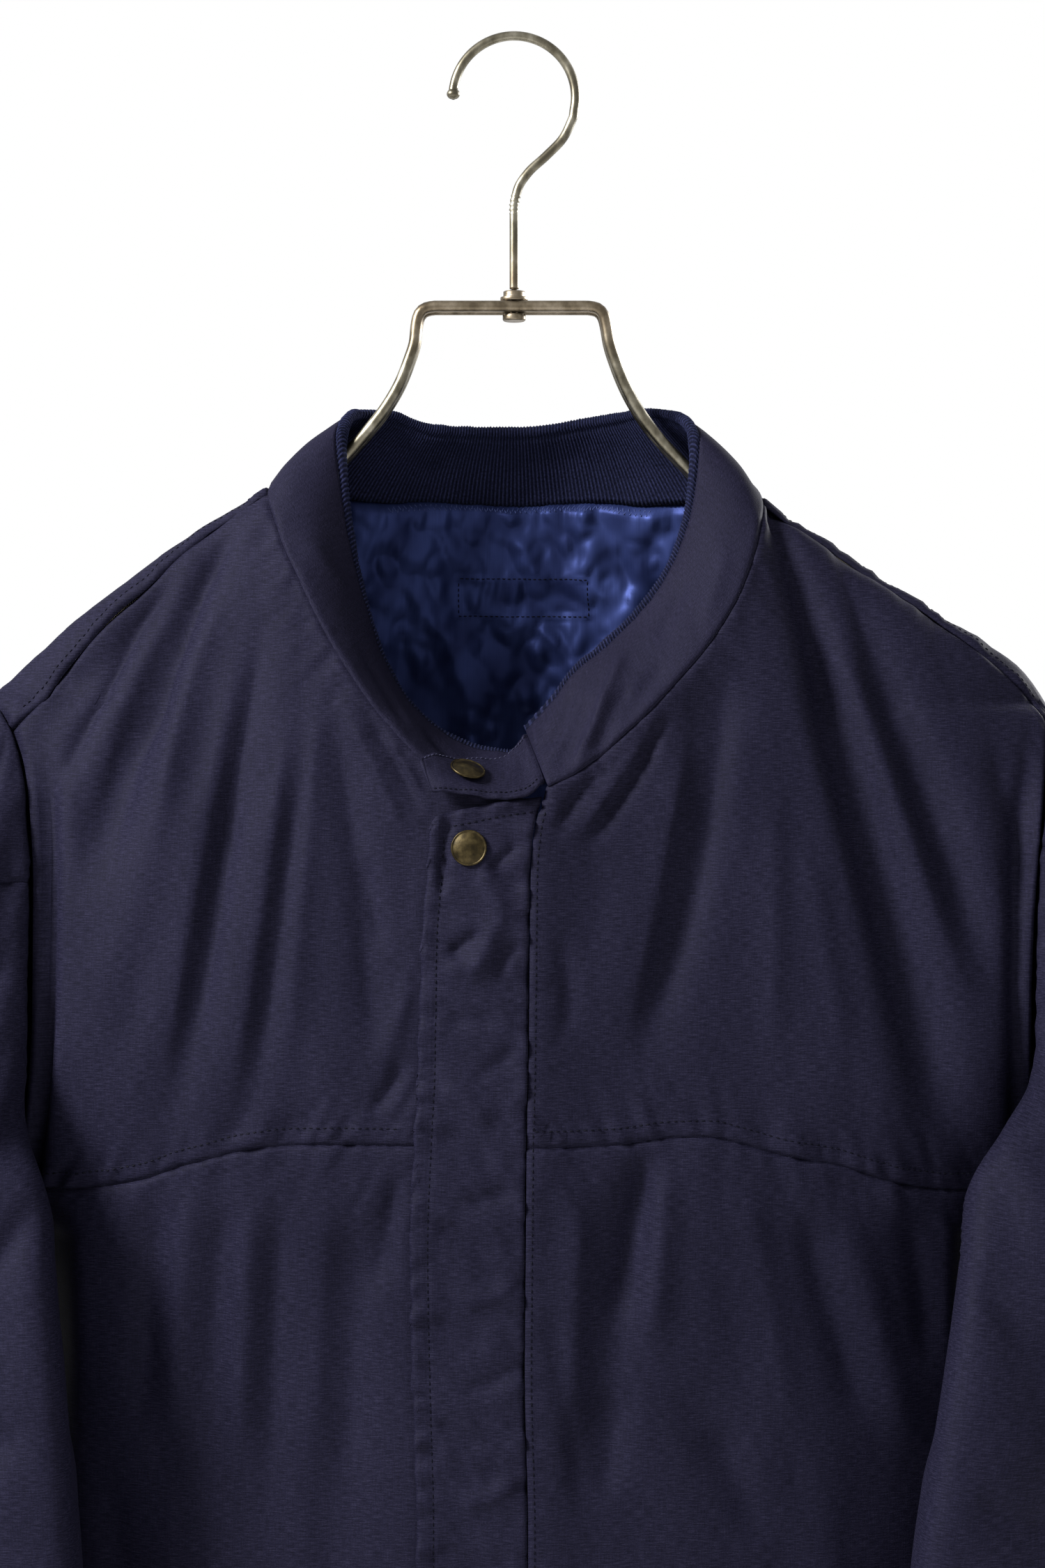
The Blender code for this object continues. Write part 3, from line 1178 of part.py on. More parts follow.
HUB_PROFILE = (
    (-125.9, 0), (-125.9, 4.4), (-125.3, 5.0), (-122.9, 5.0), (-122.9, 1.7), (-117.3, 1.7),
    (-117.3, 6.0), (-115.6, 6.0), (-115.6, 4.7), (-113.0, 4.7), (-113.0, 0))
WIRE_SIDES = 8
HOOK_SIDES = 10
HUB_SIDES = 16


def make_hanger_frame():
    """Closed loop of wire: out along the front run, back along the rear one, for both arms."""
    path = []
    ups = []
    for side in (-1, 1):
        arm = HANGER_ARM[side]
        line = np.stack([arm["x"], arm["back"], arm["z"]], -1)
        lean = unit(np.gradient(line, axis=0))
        up = np.stack([-lean[:, 2], 0 * lean[:, 0], lean[:, 0]], -1) * side
        ahead = line - np.stack([0 * arm["x"], arm["gap"], 0 * arm["x"]], -1)
        behind = line + np.stack([0 * arm["x"], arm["gap"], 0 * arm["x"]], -1)
        out, home = (ahead, behind) if side < 0 else (behind, ahead)
        path += list(out[1:]) + list(home[:0:-1])
        ups += list(up[1:]) + list(up[:0:-1])
    path = np.array(path)
    radii = np.full(len(path), WIRE_RADIUS)
    name = "hanger_frame"
    return tube(name, path, radii, np.array(ups), WIRE_SIDES, hanger_metal(name), True)


def make_hanger_hub():
    """Two washers over the wires, a pin between them and a washer below."""
    name = "hanger_hub"
    return turned(name, (0, 0, 0), (0, 0, 1), HUB_PROFILE, HUB_SIDES, hanger_metal(name))


def make_hanger_hook():
    """Hook: ball end, most of a circle, then a bend down to the stem."""
    middle_x, middle_z, radius = HOOK_CIRCLE
    angles = np.radians(np.linspace(*HOOK_SWEEP, HOOK_STEPS))
    circle = np.stack([middle_x + radius * np.cos(angles), 0 * angles,
                       middle_z + radius * np.sin(angles)], -1)
    neck = np.stack([HOOK_NECK["x"], 0 * HOOK_NECK["x"], HOOK_NECK["z"]], -1)
    ball = circle[:1] - HOOK_BALL["drop"][:, None] * (0, 0, 1)
    path = np.concatenate([ball, circle, neck])
    radii = np.concatenate([HOOK_BALL["radius"], np.full(len(path) - len(ball), HOOK_RADIUS)])
    ups = np.tile((0.0, 1.0, 0.0), (len(path), 1))
    name = "hanger_hook"
    return tube(name, path, radii, ups, HOOK_SIDES, hanger_metal(name), False)


def main():
    """Clear the scene and make every piece."""
    for thing in list(bpy.data.objects):
        bpy.data.objects.remove(thing)
    holes = {side: armhole(side) for side in (-1, 1)}
    neck = neck_points()
    for side, hand in ((-1, "right"), (1, "left")):
        make_yoke(side, "yoke_" + hand, holes[side], neck)
        make_lower_front(side, "front_" + hand, holes[side])
        make_cap(side, "sleeve_cap_" + hand, holes[side])
        make_sleeve(side, "sleeve_" + hand, holes[side])
        make_cuff(side, "cuff_" + hand)
    make_back(holes, neck)
    make_hem_band()
    make_collar(neck)
    make_collar_rib(neck)
    make_tab(neck)
    make_tab_snap(neck)
    make_placket()
    make_placket_snap()
    make_lining()
    make_hanger_frame()
    make_hanger_hub()
    make_hanger_hook()


if __name__ == "__main__":
    main()
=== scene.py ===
"""Looks of a bomber jacket that hangs on a double-wire hanger: cloth, knit, satin, thread and metal.

The script is laid out as an add-on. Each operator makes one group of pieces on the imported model's
frame, and main() calls them in order. Tables and lengths are millimetres in the model's frame
(+Z up, front at -Y), and meshes are made in metres.
"""
import bpy
import numpy as np
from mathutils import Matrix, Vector
from mathutils.bvhtree import BVHTree


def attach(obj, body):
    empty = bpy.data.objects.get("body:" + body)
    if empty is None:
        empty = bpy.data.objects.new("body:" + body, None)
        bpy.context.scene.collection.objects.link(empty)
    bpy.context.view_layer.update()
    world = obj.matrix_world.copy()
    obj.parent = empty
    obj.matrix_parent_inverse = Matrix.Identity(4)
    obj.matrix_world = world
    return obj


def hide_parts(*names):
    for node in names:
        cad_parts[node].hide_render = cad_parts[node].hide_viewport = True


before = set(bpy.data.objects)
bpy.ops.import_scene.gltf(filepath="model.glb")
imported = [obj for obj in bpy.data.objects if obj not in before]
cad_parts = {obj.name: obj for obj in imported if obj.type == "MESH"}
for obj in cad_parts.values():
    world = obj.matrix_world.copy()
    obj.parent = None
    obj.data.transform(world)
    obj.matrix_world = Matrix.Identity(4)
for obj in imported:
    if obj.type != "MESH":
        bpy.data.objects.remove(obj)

bl_info = {
    "name": "Hanging bomber jacket",
    "version": (1, 0, 0),
    "blender": (4, 5, 0),
    "location": "View3D > Sidebar > Jacket",
    "description": "Dresses a packed jacket model in cloth, knit, satin, thread and metal",
    "category": "Object",
}

MM = 0.001
SEAM = 0.3

LOOK = "_look"      # ends the name of each piece that stands in a node's place

# Sewing: depth and half width of the groove at a seam, length of its puckers, and how far
# topstitches are from their seams.
SEAM_DEPTH = 0.9
SEAM_HALF = 1.0
PUCKER_PITCH = 6.5
YOKE_STITCH = 7.0
SHOULDER_STITCH = 6.5
PLACKET_STITCH = 6.0
PLACKET_SEAM_STITCH = 2.6
STITCH_LENGTH = 2.0
STITCH_PITCH = 2.9
THREAD_RADIUS = 0.24
SEWING_REACH = 8.0      # threads are laid on cloth that is this near

CREASE_RISE = 1.5
BRIDGE_TOP, BRIDGE_LOW = -482.0, -700.0     # levels between which the underarm's hollow is bridged
BRIDGE_SOFT = 4.0                           # roundness of the bridge's ends
BRIDGE_INNER = {-1: 70.0, 1: 20.0}          # it starts this far from the middle, front and back
BRIDGE_OUTER = 204.0                        # and ends here
TROUGH_DEPTH = {-1: 9.0, 1: 6.0}            # hollow beside the armholes, right and left
TROUGH_AWAY, TROUGH_HALF = 7.0, 4.5         # distance from the armhole and half width
CREASE_SHIFT = 3.0     # a fold's line lies this far right of its shade, as light comes from the left
TAB_CORNER = 0.05            # share of the tab's length that its corners are rounded by
TAB_SIZE = (24.0, 50.0)      # height and length, for its details
ROLL_RADIUS = 2.45           # the rib's roll over the collar's top edge, as seen from its end
ROLL_RISE = 2.2              # its middle above the edge
ROLL_DEPTH = -1.65           # and behind the collar's face

# Plain stitched rectangle on the lining, as lines of (x, z).
STITCHED_FRAME = (
    ((-26, -233), (35, -233)), ((35, -233), (35, -250)),
    ((35, -250), (-26, -250)), ((-26, -250), (-26, -233)))


def table(names, *rows):
    """A table with named columns, one row for each section."""
    return dict(zip(names.split(), np.array(rows, float).T))


WALL = 1.5             # shell cloth with its interlining
RIB_WALL = 2.4         # rib knit
RIDGE_ROUND = 12.0     # roundness of the shoulder over the hanger's wires
FRONT_REACH = 52.0     # how far the front stands out below the shoulder ridge
FRONT_FALL = 120.0     # over this length of cloth
BACK_REACH = 60.0
BACK_FALL = 90.0
HEM_SEAM_Z = -821.0
HEM_BAND = 60.0
CUFF_SEAM_Z = -797.0
CUFF_LENGTH = 65.0
UNDERARM_Z = -520.0
FLANK_TURN = 0.15      # turn round the sleeve up to which its flank beside the underarm is flat
FLANK_TOP_Z = -430.0   # it starts to be flat here
FLANK_END_Z = -610.0   # and is round again here
SLEEVE_RADIUS = 50.0   # turns a sleeve's angle into a length of cloth
STRETCH_TURN = 1.2     # turn over which a sleeve is drawn to the armhole
HEM_DRAW = (1.0, 0.985, 0.975)
HEM_STRAIGHT = 60.0    # the hem band's front is as wide as the fronts up to here
COLLAR_BOW = 2.4       # how far the collar's band rounds outward
PLACKET_LIFT = 3.4     # outer face of the fly above the right front
PLACKET_FADE = 30.0    # the left front's rise to the fly dies out over this
PLACKET_CLEAR = 16.0   # no fold reaches closer to the fly than this
RIGHT_FRONT_EDGE = 3.7
LINING_HALF = 118.0
LINING_RIDGE = 28.0    # and below the shoulder ridge
LINING_END_Z = -430.0
LINING_LOOSE = 5.5     # the lining hangs this far inside the back's outer face
LINING_SEATED = 3.6    # and this much nearer at its top
LINING_SEEN = 84.0     # beyond this far from the middle the lining can't be seen
LINING_TUCK = 5.0      # and is tucked in by this
SATIN_WALL = 0.6
FOLD_START = 35.0      # a fold rises over this length
FOLD_END = 60.0        # and dies out over this
EDGE_FADE = 14.0       # folds die out over this towards the body's edge
GATHER_HEIGHT = 2.5    # waves of the cloth above the hem band
GATHER_PITCH = 57.0
GATHER_TOP_Z = -730.0
# Top line of the shoulders and, between the neck points, where it would run on.
RIDGE = table(
    "x z",
    (-226, -287), (-209, -272.5), (-189, -255), (-169, -239.6), (-156, -229.3), (-126, -209.6),
    (-107, -198), (-60, -166), (0, -123), (60, -170), (107, -202), (125, -214.5), (155, -234.5),
    (181, -252), (211, -269.5), (222, -279.5), (232, -292))
# Edge of the body: the armhole from the shoulder tip to the underarm, then the side seam.
EDGE = {
    -1: table(
        "z x front back",
        (-287, -226, 0, 0), (-290, -224.5, -9, 9), (-303.5, -214.7, -20, 19), (-320, -208.5, -27, 26),
        (-340, -205.5, -33, 32), (-368, -203.5, -38, 37), (-420, -204, -40, 42), (-470, -208, -34, 42),
        (-500, -213, -18, 37), (-514, -216, -2, 27), (-520, -217, 13, 13), (-560, -224, 18, 18),
        (-655, -234, 22, 22), (-740, -236, 22, 22), (-795, -230, 16, 16), (-821, -210, 8, 8)),
    1: table(
        "z x front back",
        (-292, 232, 0, 0), (-295.5, 231, -9, 9), (-301, 229.5, -14, 14), (-325, 226, -27, 26),
        (-340, 224, -33, 32), (-353, 222, -37, 36), (-420, 219, -40, 42), (-470, 220, -34, 42),
        (-500, 222, -18, 37), (-514, 224, -2, 27), (-520, 225, 13, 13), (-560, 230, 18, 18),
        (-655, 238, 22, 22), (-740, 240, 22, 22), (-795, 234, 16, 16), (-821, 212, 8, 8)),
}
# How square the body's cross-section is, and how it draws in to the hem.
SECTION = table(
    "z flat round ease",
    (-200, 5, 1.7, 1), (-430, 5, 1.7, 1), (-480, 4, 1.1, 1), (-530, 3.2, 1.02, 1), (-600, 3, 1.2, 1.01),
    (-655, 3, 1.3, 1.02), (-780, 2.8, 1.5, 1.06), (-805, 2.8, 1.6, 1), (-821, 2.8, 1.7, 0.84))
# Levels at which body and sleeve meet along the armhole, shoulder to underarm. The first is the
# foot of the arch over the shoulder tip, the third the forward shoulder seam, the eighth the
# sleeve-panel seam and the seventeenth the yoke seam.
ARMHOLE_LEVELS = {
    -1: (-290, -296, -303.5, -315, -328, -341, -354, -368, -383, -398, -413, -428, -443, -458,
         -472, -485, -498, -507, -514, -520),
    1: (-295.5, -298, -301, -310, -320, -331, -342, -353, -370, -387, -403, -419, -435, -451,
        -467, -483, -498, -507, -514, -520),
}
SHOULDER_LEVEL = 2
CAP_LEVEL = 7
# Forward shoulder seam, neck to armhole.
SHOULDER_SEAM = {
    -1: table(
        "x z",
        (-106.3, -200.8), (-129.5, -217), (-141.3, -226.6), (-157, -241.6), (-175.2, -258),
        (-193.5, -279.3), (-202.5, -290.7), (-214.7, -303.5)),
    1: table(
        "x z",
        (107.5, -204.6), (130, -220.5), (155, -237), (180, -254.5), (195.3, -265.8), (210.4, -278),
        (222, -290), (229.5, -301)),
}
# Curved seam across the chest.
YOKE_SEAM = table(
    "x z",
    (-213, -498), (-189, -497.5), (-169, -495), (-154, -491.8), (-140, -486.5), (-126, -482.4),
    (-112, -478.8), (-97, -476.8), (-77, -476.2), (-42, -476.6), (18, -477.2), (41, -476.4), (65, -473.5),
    (82, -473.2), (92, -475.4), (111, -480.8), (135, -485.5), (151, -490.7), (167, -495), (186, -497.5),
    (222, -498))
# Neck seam (base, on the body) and the collar's top edge, once round from the right front's end.
# face is -1 on the front of the shoulder ridge and 1 on the back.
NECK = table(
    "face base_x base_z top_x top_y top_z",
    (-1, 3.7, -331.2, 2, -20, -313.8), (-1, -16, -328.5, -12, -19, -312.6),
    (-1, -35, -318.3, -29, -17, -305.8), (-1, -52, -301.5, -45.5, -14, -291.5),
    (-1, -66, -283.5, -56.5, -11, -272.5), (-1, -78.5, -263.7, -64, -8, -251),
    (-1, -90, -241.5, -70, -9, -228), (-1, -100, -220, -74.5, -10, -202),
    (-1, -106.3, -200.8, -77, -6, -176.5), (1, -105, -199, -72, 7, -166), (1, -88, -199.5, -58, 19, -165.5),
    (1, -50, -200.3, -36, 27, -171.4), (1, 0, -201.2, 0, 29, -172), (1, 50, -201.5, 38, 26, -168),
    (1, 88, -202, 60, 18, -165), (1, 106, -202.8, 74.5, 7, -167.5), (-1, 107.5, -204.6, 80, -6, -177),
    (-1, 104, -222.5, 78, -10, -201), (-1, 96, -244.5, 73.5, -10, -220), (-1, 83.5, -265.5, 65, -12, -239),
    (-1, 65.5, -286.5, 51, -17, -257), (-1, 48, -304, 36, -23, -271), (-1, 34, -316.3, 25, -25, -280.5),
    (-1, 23, -323.5, 17, -25, -291), (-1, 13.9, -327.5, 5, -23, -304))
NECK_FRONT = 8
NECK_BACK = 8
# Seam between the fly placket and the left front, and the placket's free edge.
PLACKET = table(
    "z seam edge",
    (-331, 12.5, -33.5), (-336.2, 11.1, -34), (-344.8, 8.8, -34.6), (-362.7, 7.1, -35.8), (-390, 6.7, -38),
    (-448.9, 6.1, -39.8), (-474.5, 5.4, -41.2), (-520, 5, -42.7), (-570.7, 4.6, -41.8), (-634.7, 6, -40.2),
    (-750, 6, -40), (-881, 6, -40))
PLACKET_TOP = table(
    "x z",
    (-33.5, -345.5), (-31.5, -341.5), (-27, -338.9), (-18.8, -337.2), (-4.4, -334.2), (12, -331.9))
PLACKET_SNAP = (-18.4, -353.4)
# The tab on the collar's left end: lower edge, middle and upper edge, from its seam to its tip.
# Its first row is replaced by the collar's own end.
TAB = table(
    "low_x low_y low_z mid_x mid_y mid_z high_x high_y high_z",
    (13.4, -60.6, -328.3, 9, -44, -316, 4.4, -26.6, -304.2),
    (4, -62, -330.6, 2.2, -46.5, -320.5, 0.5, -31, -309.3),
    (-9, -63, -331.4, -8.5, -49.5, -323, -8, -33, -314.8),
    (-21, -63.5, -330.4, -21, -55, -322.7, -21, -38, -315),
    (-30, -63, -330, -31.5, -59, -321.7, -33, -49, -313.4),
    (-34.5, -62, -330.2, -37, -60, -323, -39.5, -57, -315.6))
TAB_SNAP = (0.575, 0.56)   # place along the tab and up it
TAB_SNAP_LIFT = 1.3        # the tab's twist keeps the flat snap this far off its middle
TAB_FACING = (0, -0.4, 0.9)
# Sleeve sections: x of the side next to the body and of the outer side, y of the middle, half
# depth front to back, and how far the inner side is swung forward.
SLEEVE = {
    -1: table(
        "z inner outer mid deep swing",
        (-290, -218, -230, 0, 9.5, 0), (-303.5, -204, -241, 0, 21, 0), (-328, -197, -259, 0, 36, 0),
        (-354, -200, -273.5, -2, 46, 0.05), (-383, -201, -284, -5, 52, 0.15),
        (-420, -198, -292, -9, 56, 0.3), (-470, -192, -299, -19, 58, 0.5),
        (-500, -188.5, -301, -29, 56, 0.6), (-520, -186.5, -302, -34, 54, 0.65),
        (-560, -182.5, -302, -39, 51, 0.65), (-600, -178.5, -300, -44, 49, 0.65),
        (-648, -174.3, -297, -49, 48, 0.65), (-700, -169.5, -288, -56, 47, 0.6),
        (-750, -166, -275, -63, 45, 0.5), (-783, -166, -263, -67, 43, 0.4),
        (-797, -178, -246, -61, 33, 0.2), (-862, -181, -243, -54, 31, 0.1)),
    1: table(
        "z inner outer mid deep swing",
        (-295.5, 225, 237, 0, 9.5, 0), (-301, 219, 241.5, 0, 15, 0), (-320, 213, 258.5, 0, 29, 0),
        (-342, 214, 273, -2, 42, 0.05), (-370, 213, 286, -6, 50, 0.15), (-420, 200, 297, -15, 55, 0.3),
        (-470, 188.5, 303.5, -27, 57, 0.5), (-500, 182, 306, -38, 56, 0.6), (-520, 179, 307, -45, 54, 0.65),
        (-560, 172.5, 306, -50, 52, 0.65), (-600, 165.3, 302, -55, 50, 0.65),
        (-648, 158.3, 293, -60, 48, 0.65), (-700, 156, 283, -65, 47, 0.6), (-750, 156, 270, -70, 45, 0.5),
        (-783, 157, 260, -74, 43, 0.4), (-797, 171, 242, -68, 33, 0.2), (-862, 174, 239, -62, 31, 0.1)),
}
# Largest folds of the fronts: three points of the line, height (a valley is negative) and half
# width.
FRONT_FOLDS = table(
    "x0 z0 x1 z1 x2 z2 high half",
    (-139, -238, -165, -301, -182, -385, -6, 10), (-161, -254, -186, -282, -201, -330, -4.5, 8),
    (-117, -317, -136, -408, -151, -500, -3.5, 11), (-136, -272, -148, -336, -176, -445, 3, 11),
    (-127, -312, -140, -387, -157, -478, 3, 10), (-104, -317, -111, -366, -130, -495, 2.5, 11),
    (117, -216, 133, -289, 188, -495, -6, 12), (147, -256, 170, -315, 199, -425, -4, 11),
    (83, -270, 65, -362, 50, -472, -4, 13), (72, -303, 59, -346, 41, -440, 2.5, 12),
    (54, -470, 44, -531, 30, -640, -5, 12), (112, -490, 133, -556, 152, -650, -3.5, 14),
    (78, -560, 95, -620, 110, -760, -3.5, 15), (-112, -490, -116, -560, -118, -700, -3, 14),
    (-70, -495, -72, -570, -76, -740, -3, 14))
BACK_FOLDS = table(
    "x0 z0 x1 z1 x2 z2 high half",
    (-128, -236, -146, -330, -160, -480, -5, 13), (-70, -300, -78, -420, -80, -600, -3.5, 16),
    (-20, -330, -26, -480, -30, -660, -3, 16), (45, -300, 50, -450, 58, -640, -3.5, 17),
    (126, -238, 142, -330, 160, -490, -5, 13), (98, -400, 106, -520, 112, -700, -3.5, 15),
    (-120, -500, -128, -600, -130, -740, -3.5, 15))
# Largest folds of the sleeves: level, turn round the sleeve in degrees from its inner side by
# the front, slope in degrees over the fold's length, length, height and half width.
SLEEVE_FOLDS = table(
    "z turn slope long high half",
    (-330, 110, 40, 110, -4, 12), (-400, 60, 60, 150, -4, 13), (-470, 120, -50, 150, -4.5, 14),
    (-560, 60, 50, 150, -4, 13), (-640, 130, -60, 140, -4.5, 14), (-720, 80, 60, 120, -4, 12),
    (-430, 240, 50, 160, -4, 14), (-560, 270, -50, 150, -4, 14), (-680, 240, 50, 140, -4, 13))
# Hanger: the loop of wire as seen from the front, hub to shoulder end, with half the gap
# between its two runs and how far both stand back.
WIRE_RADIUS = 2.5
HOOK_RADIUS = 2.0
HANGER_ARM = {
    -1: table(
        "x z gap back",
        (0, -120.1, 4.5, 0), (-34, -120.1, 4.5, 0), (-38.5, -120.9, 4.5, 0), (-41.2, -123.6, 4.5, 0),
        (-42.3, -128, 4.5, 0), (-43, -135, 4.5, 0), (-45.6, -143.5, 4.5, 0), (-49.6, -153.5, 4.5, 0),
        (-55.5, -163.5, 4.4, 0.5), (-63, -173, 4.2, 2), (-72, -182.8, 3.6, 4.6), (-88, -199, 3.4, 5.5),
        (-100, -207.5, 3.8, 5), (-108, -210.8, 5.5, 3), (-117, -213.2, 7, 1), (-126, -217.2, 8, 0),
        (-156, -237.8, 8, 0), (-175, -254.4, 7, 0), (-187, -264.2, 5.4, 0), (-192.5, -268.6, 3.9, 0),
        (-194.5, -270.2, 1.6, 0)),
    1: table(
        "x z gap back",
        (0, -120.1, 4.5, 0), (31.5, -120.1, 4.5, 0), (36, -120.9, 4.5, 0), (38.6, -123.6, 4.5, 0),
        (39.8, -128, 4.5, 0), (41, -135, 4.5, 0), (44.2, -145.2, 4.5, 0), (48.9, -156.4, 4.5, 0),
        (55.5, -167.5, 4.4, 0.5), (63, -177, 4.2, 2), (73.5, -187.6, 3.6, 4.6), (89, -203, 3.4, 5.5),
        (100, -211, 3.8, 5), (109, -215.3, 5.5, 3), (117, -218.2, 7, 1), (126, -222.8, 8, 0),
        (156, -243.8, 8, 0), (175, -258.4, 7, 0), (187, -266.4, 5.4, 0), (192.5, -269.4, 3.9, 0),
        (194.5, -270.4, 1.6, 0)),
}
HOOK_CIRCLE = (0.0, -28.6, 26.6)    # middle x, middle z, radius of the wire's own line
HOOK_SWEEP = (173, -12)             # degrees at which it starts and ends
HOOK_NECK = table(
    "x z",
    (26, -36.5), (21.5, -46), (14, -54), (6, -61.5), (1.6, -68.5), (0, -77), (0, -99), (0, -112.6))
HUB_PROFILE = (
    (-125.9, 0), (-125.9, 4.4), (-125.3, 5.0), (-122.9, 5.0), (-122.9, 1.7), (-117.3, 1.7),
    (-117.3, 6.0), (-115.6, 6.0), (-115.6, 4.7), (-113.0, 4.7), (-113.0, 0))


# Smaller creases of the fronts, as three points of each line, height, half width and how sharp.
FRONT_CREASES = table(
    "x0 z0 x1 z1 x2 z2 high half sharp",
    (-119, -210, -146, -262, -172, -332, -4.2, 5, 1.5), (-150, -274, -166, -318, -177, -376, -2.4, 8, 1.6),
    (-125, -244, -141, -290, -154, -360, 1.8, 5, 1.6), (-143, -230, -176, -279, -199, -340, -4.2, 6, 1.5),
    (-148, -250, -170, -292, -184, -352, 1.6, 5, 1.6), (-116, -262, -134, -360, -153, -476, 2.4, 5.5, 1.5),
    (-107, -246, -124, -352, -144, -478, -2.4, 6, 1.5), (-96, -290, -108, -380, -123, -476, 1.7, 5, 1.5),
    (-89, -304, -100, -380, -114, -474, -1.7, 5, 1.5), (-83, -280, -91, -370, -99, -464, 1.3, 5, 1.6),
    (-80, -290, -70, -350, -59, -456, -2, 6, 1.6), (-67, -356, -62, -376, -58, -400, -1.6, 3.5, 1.5),
    (-45, -438, -54, -452, -66, -466, -1.8, 3.5, 1.5), (-38, -398, -50, -424, -62, -452, 1.4, 5, 1.6),
    (-54, -296, -43, -317, -33, -339, -2, 2.6, 1.5), (-46, -304, -39, -320, -32, -336, -1.6, 2.2, 1.5),
    (-66, -292, -52, -317, -40, -340, -1.6, 3, 1.5), (-60, -298, -48, -320, -36, -340, 1.3, 2.6, 1.6),
    (-76, -290, -60, -322, -46, -352, 1.2, 4, 1.6), (97, -188, 120, -242, 135, -312, -4, 4.5, 1.5),
    (119, -236, 146, -350, 187, -492, -4.6, 12, 1.7), (112, -236, 129, -330, 160, -446, 2.2, 8, 1.7),
    (131, -214, 160, -297, 203, -430, -3.4, 8, 1.6), (132, -246, 157, -330, 192, -432, 1.6, 6, 1.6),
    (87, -264, 77, -345, 49, -444, -3, 8, 1.6), (71, -296, 59, -360, 41, -444, 2.2, 6, 1.6),
    (65, -294, 48, -322, 25, -356, -2.6, 3, 1.5), (39, -312, 24, -332, 11, -352, -2, 2.6, 1.5),
    (55, -302, 39, -328, 19, -352, 1.6, 3, 1.5), (104, -316, 106, -380, 104, -456, 1.1, 5, 1.6),
    (117, -346, 128, -400, 137, -456, 1.1, 6, 1.6), (199, -306, 208, -345, 206, -390, -2, 7, 1.6),
    (14, -388, 20, -412, 16, -440, -1.2, 4, 1.6), (52, -476, 47, -510, 37, -556, -3.4, 5, 1.4),
    (36, -573, 37, -600, 32, -628, -2, 6, 1.5), (60, -478, 58, -516, 52, -570, 2.4, 6, 1.6),
    (116, -498, 132, -550, 146, -600, -2.2, 8, 1.7), (80, -590, 90, -614, 105, -645, -1.8, 8, 1.7),
    (128, -493, 148, -550, 165, -622, 1.8, 9, 1.7), (90, -481, 102, -536, 113, -608, 1.6, 8, 1.7),
    (159, -498, 168, -536, 171, -579, -1.8, 7, 1.6), (24, -484, 22, -536, 18, -622, 1.5, 6, 1.7),
    (12, -536, 18, -579, 27, -637, -1.4, 5, 1.6), (-151, -492, -156, -540, -160, -606, -2.4, 7, 1.6),
    (-122, -492, -128, -545, -133, -606, -2.4, 7, 1.6), (-98, -488, -103, -560, -104, -636, -2.2, 6, 1.6),
    (-45, -482, -54, -506, -63, -544, -2.4, 6, 1.5), (-137, -488, -142, -545, -147, -610, 1.8, 6, 1.6),
    (-111, -486, -116, -560, -118, -626, 1.8, 6, 1.6), (-80, -484, -84, -556, -88, -626, 1.5, 7, 1.7),
    (-68, -500, -70, -560, -74, -630, -1.3, 6, 1.6), (-60, -640, -62, -700, -70, -790, -1.6, 8, 1.8),
    (-130, -630, -126, -700, -130, -800, 1.8, 9, 1.8), (-178, -600, -168, -680, -160, -790, -2, 9, 1.7),
    (70, -650, 78, -720, 80, -800, -1.8, 8, 1.7), (130, -640, 128, -710, 135, -800, 1.8, 9, 1.8),
    (185, -600, 176, -690, 165, -790, -2, 9, 1.7))
BACK_CREASES = table(
    "x0 z0 x1 z1 x2 z2 high half sharp",
    (-98, -240, -110, -310, -130, -420, 2, 8, 1.7), (-60, -250, -64, -330, -70, -440, -1.5, 9, 1.8),
    (-30, -240, -36, -330, -40, -470, 1.3, 10, 1.8), (30, -240, 34, -330, 38, -480, -1.3, 9, 1.8),
    (66, -245, 74, -330, 82, -450, 1.6, 9, 1.8), (102, -240, 116, -320, 136, -430, -2, 8, 1.7),
    (-170, -300, -176, -360, -180, -440, -2, 7, 1.6), (172, -300, 178, -360, 182, -440, -2, 7, 1.6),
    (-150, -520, -146, -600, -150, -720, 1.8, 10, 1.8), (-95, -540, -98, -640, -104, -780, -1.8, 9, 1.7),
    (-50, -520, -54, -640, -60, -780, 1.6, 10, 1.8), (0, -500, 2, -620, -4, -780, -1.6, 10, 1.8),
    (40, -540, 44, -650, 50, -780, 1.6, 9, 1.8), (84, -520, 90, -640, 96, -780, -1.8, 9, 1.7),
    (140, -520, 138, -620, 142, -760, 1.8, 10, 1.8), (178, -560, 174, -660, 164, -780, -1.8, 9, 1.7),
    (-182, -560, -178, -660, -168, -780, -1.8, 9, 1.7))

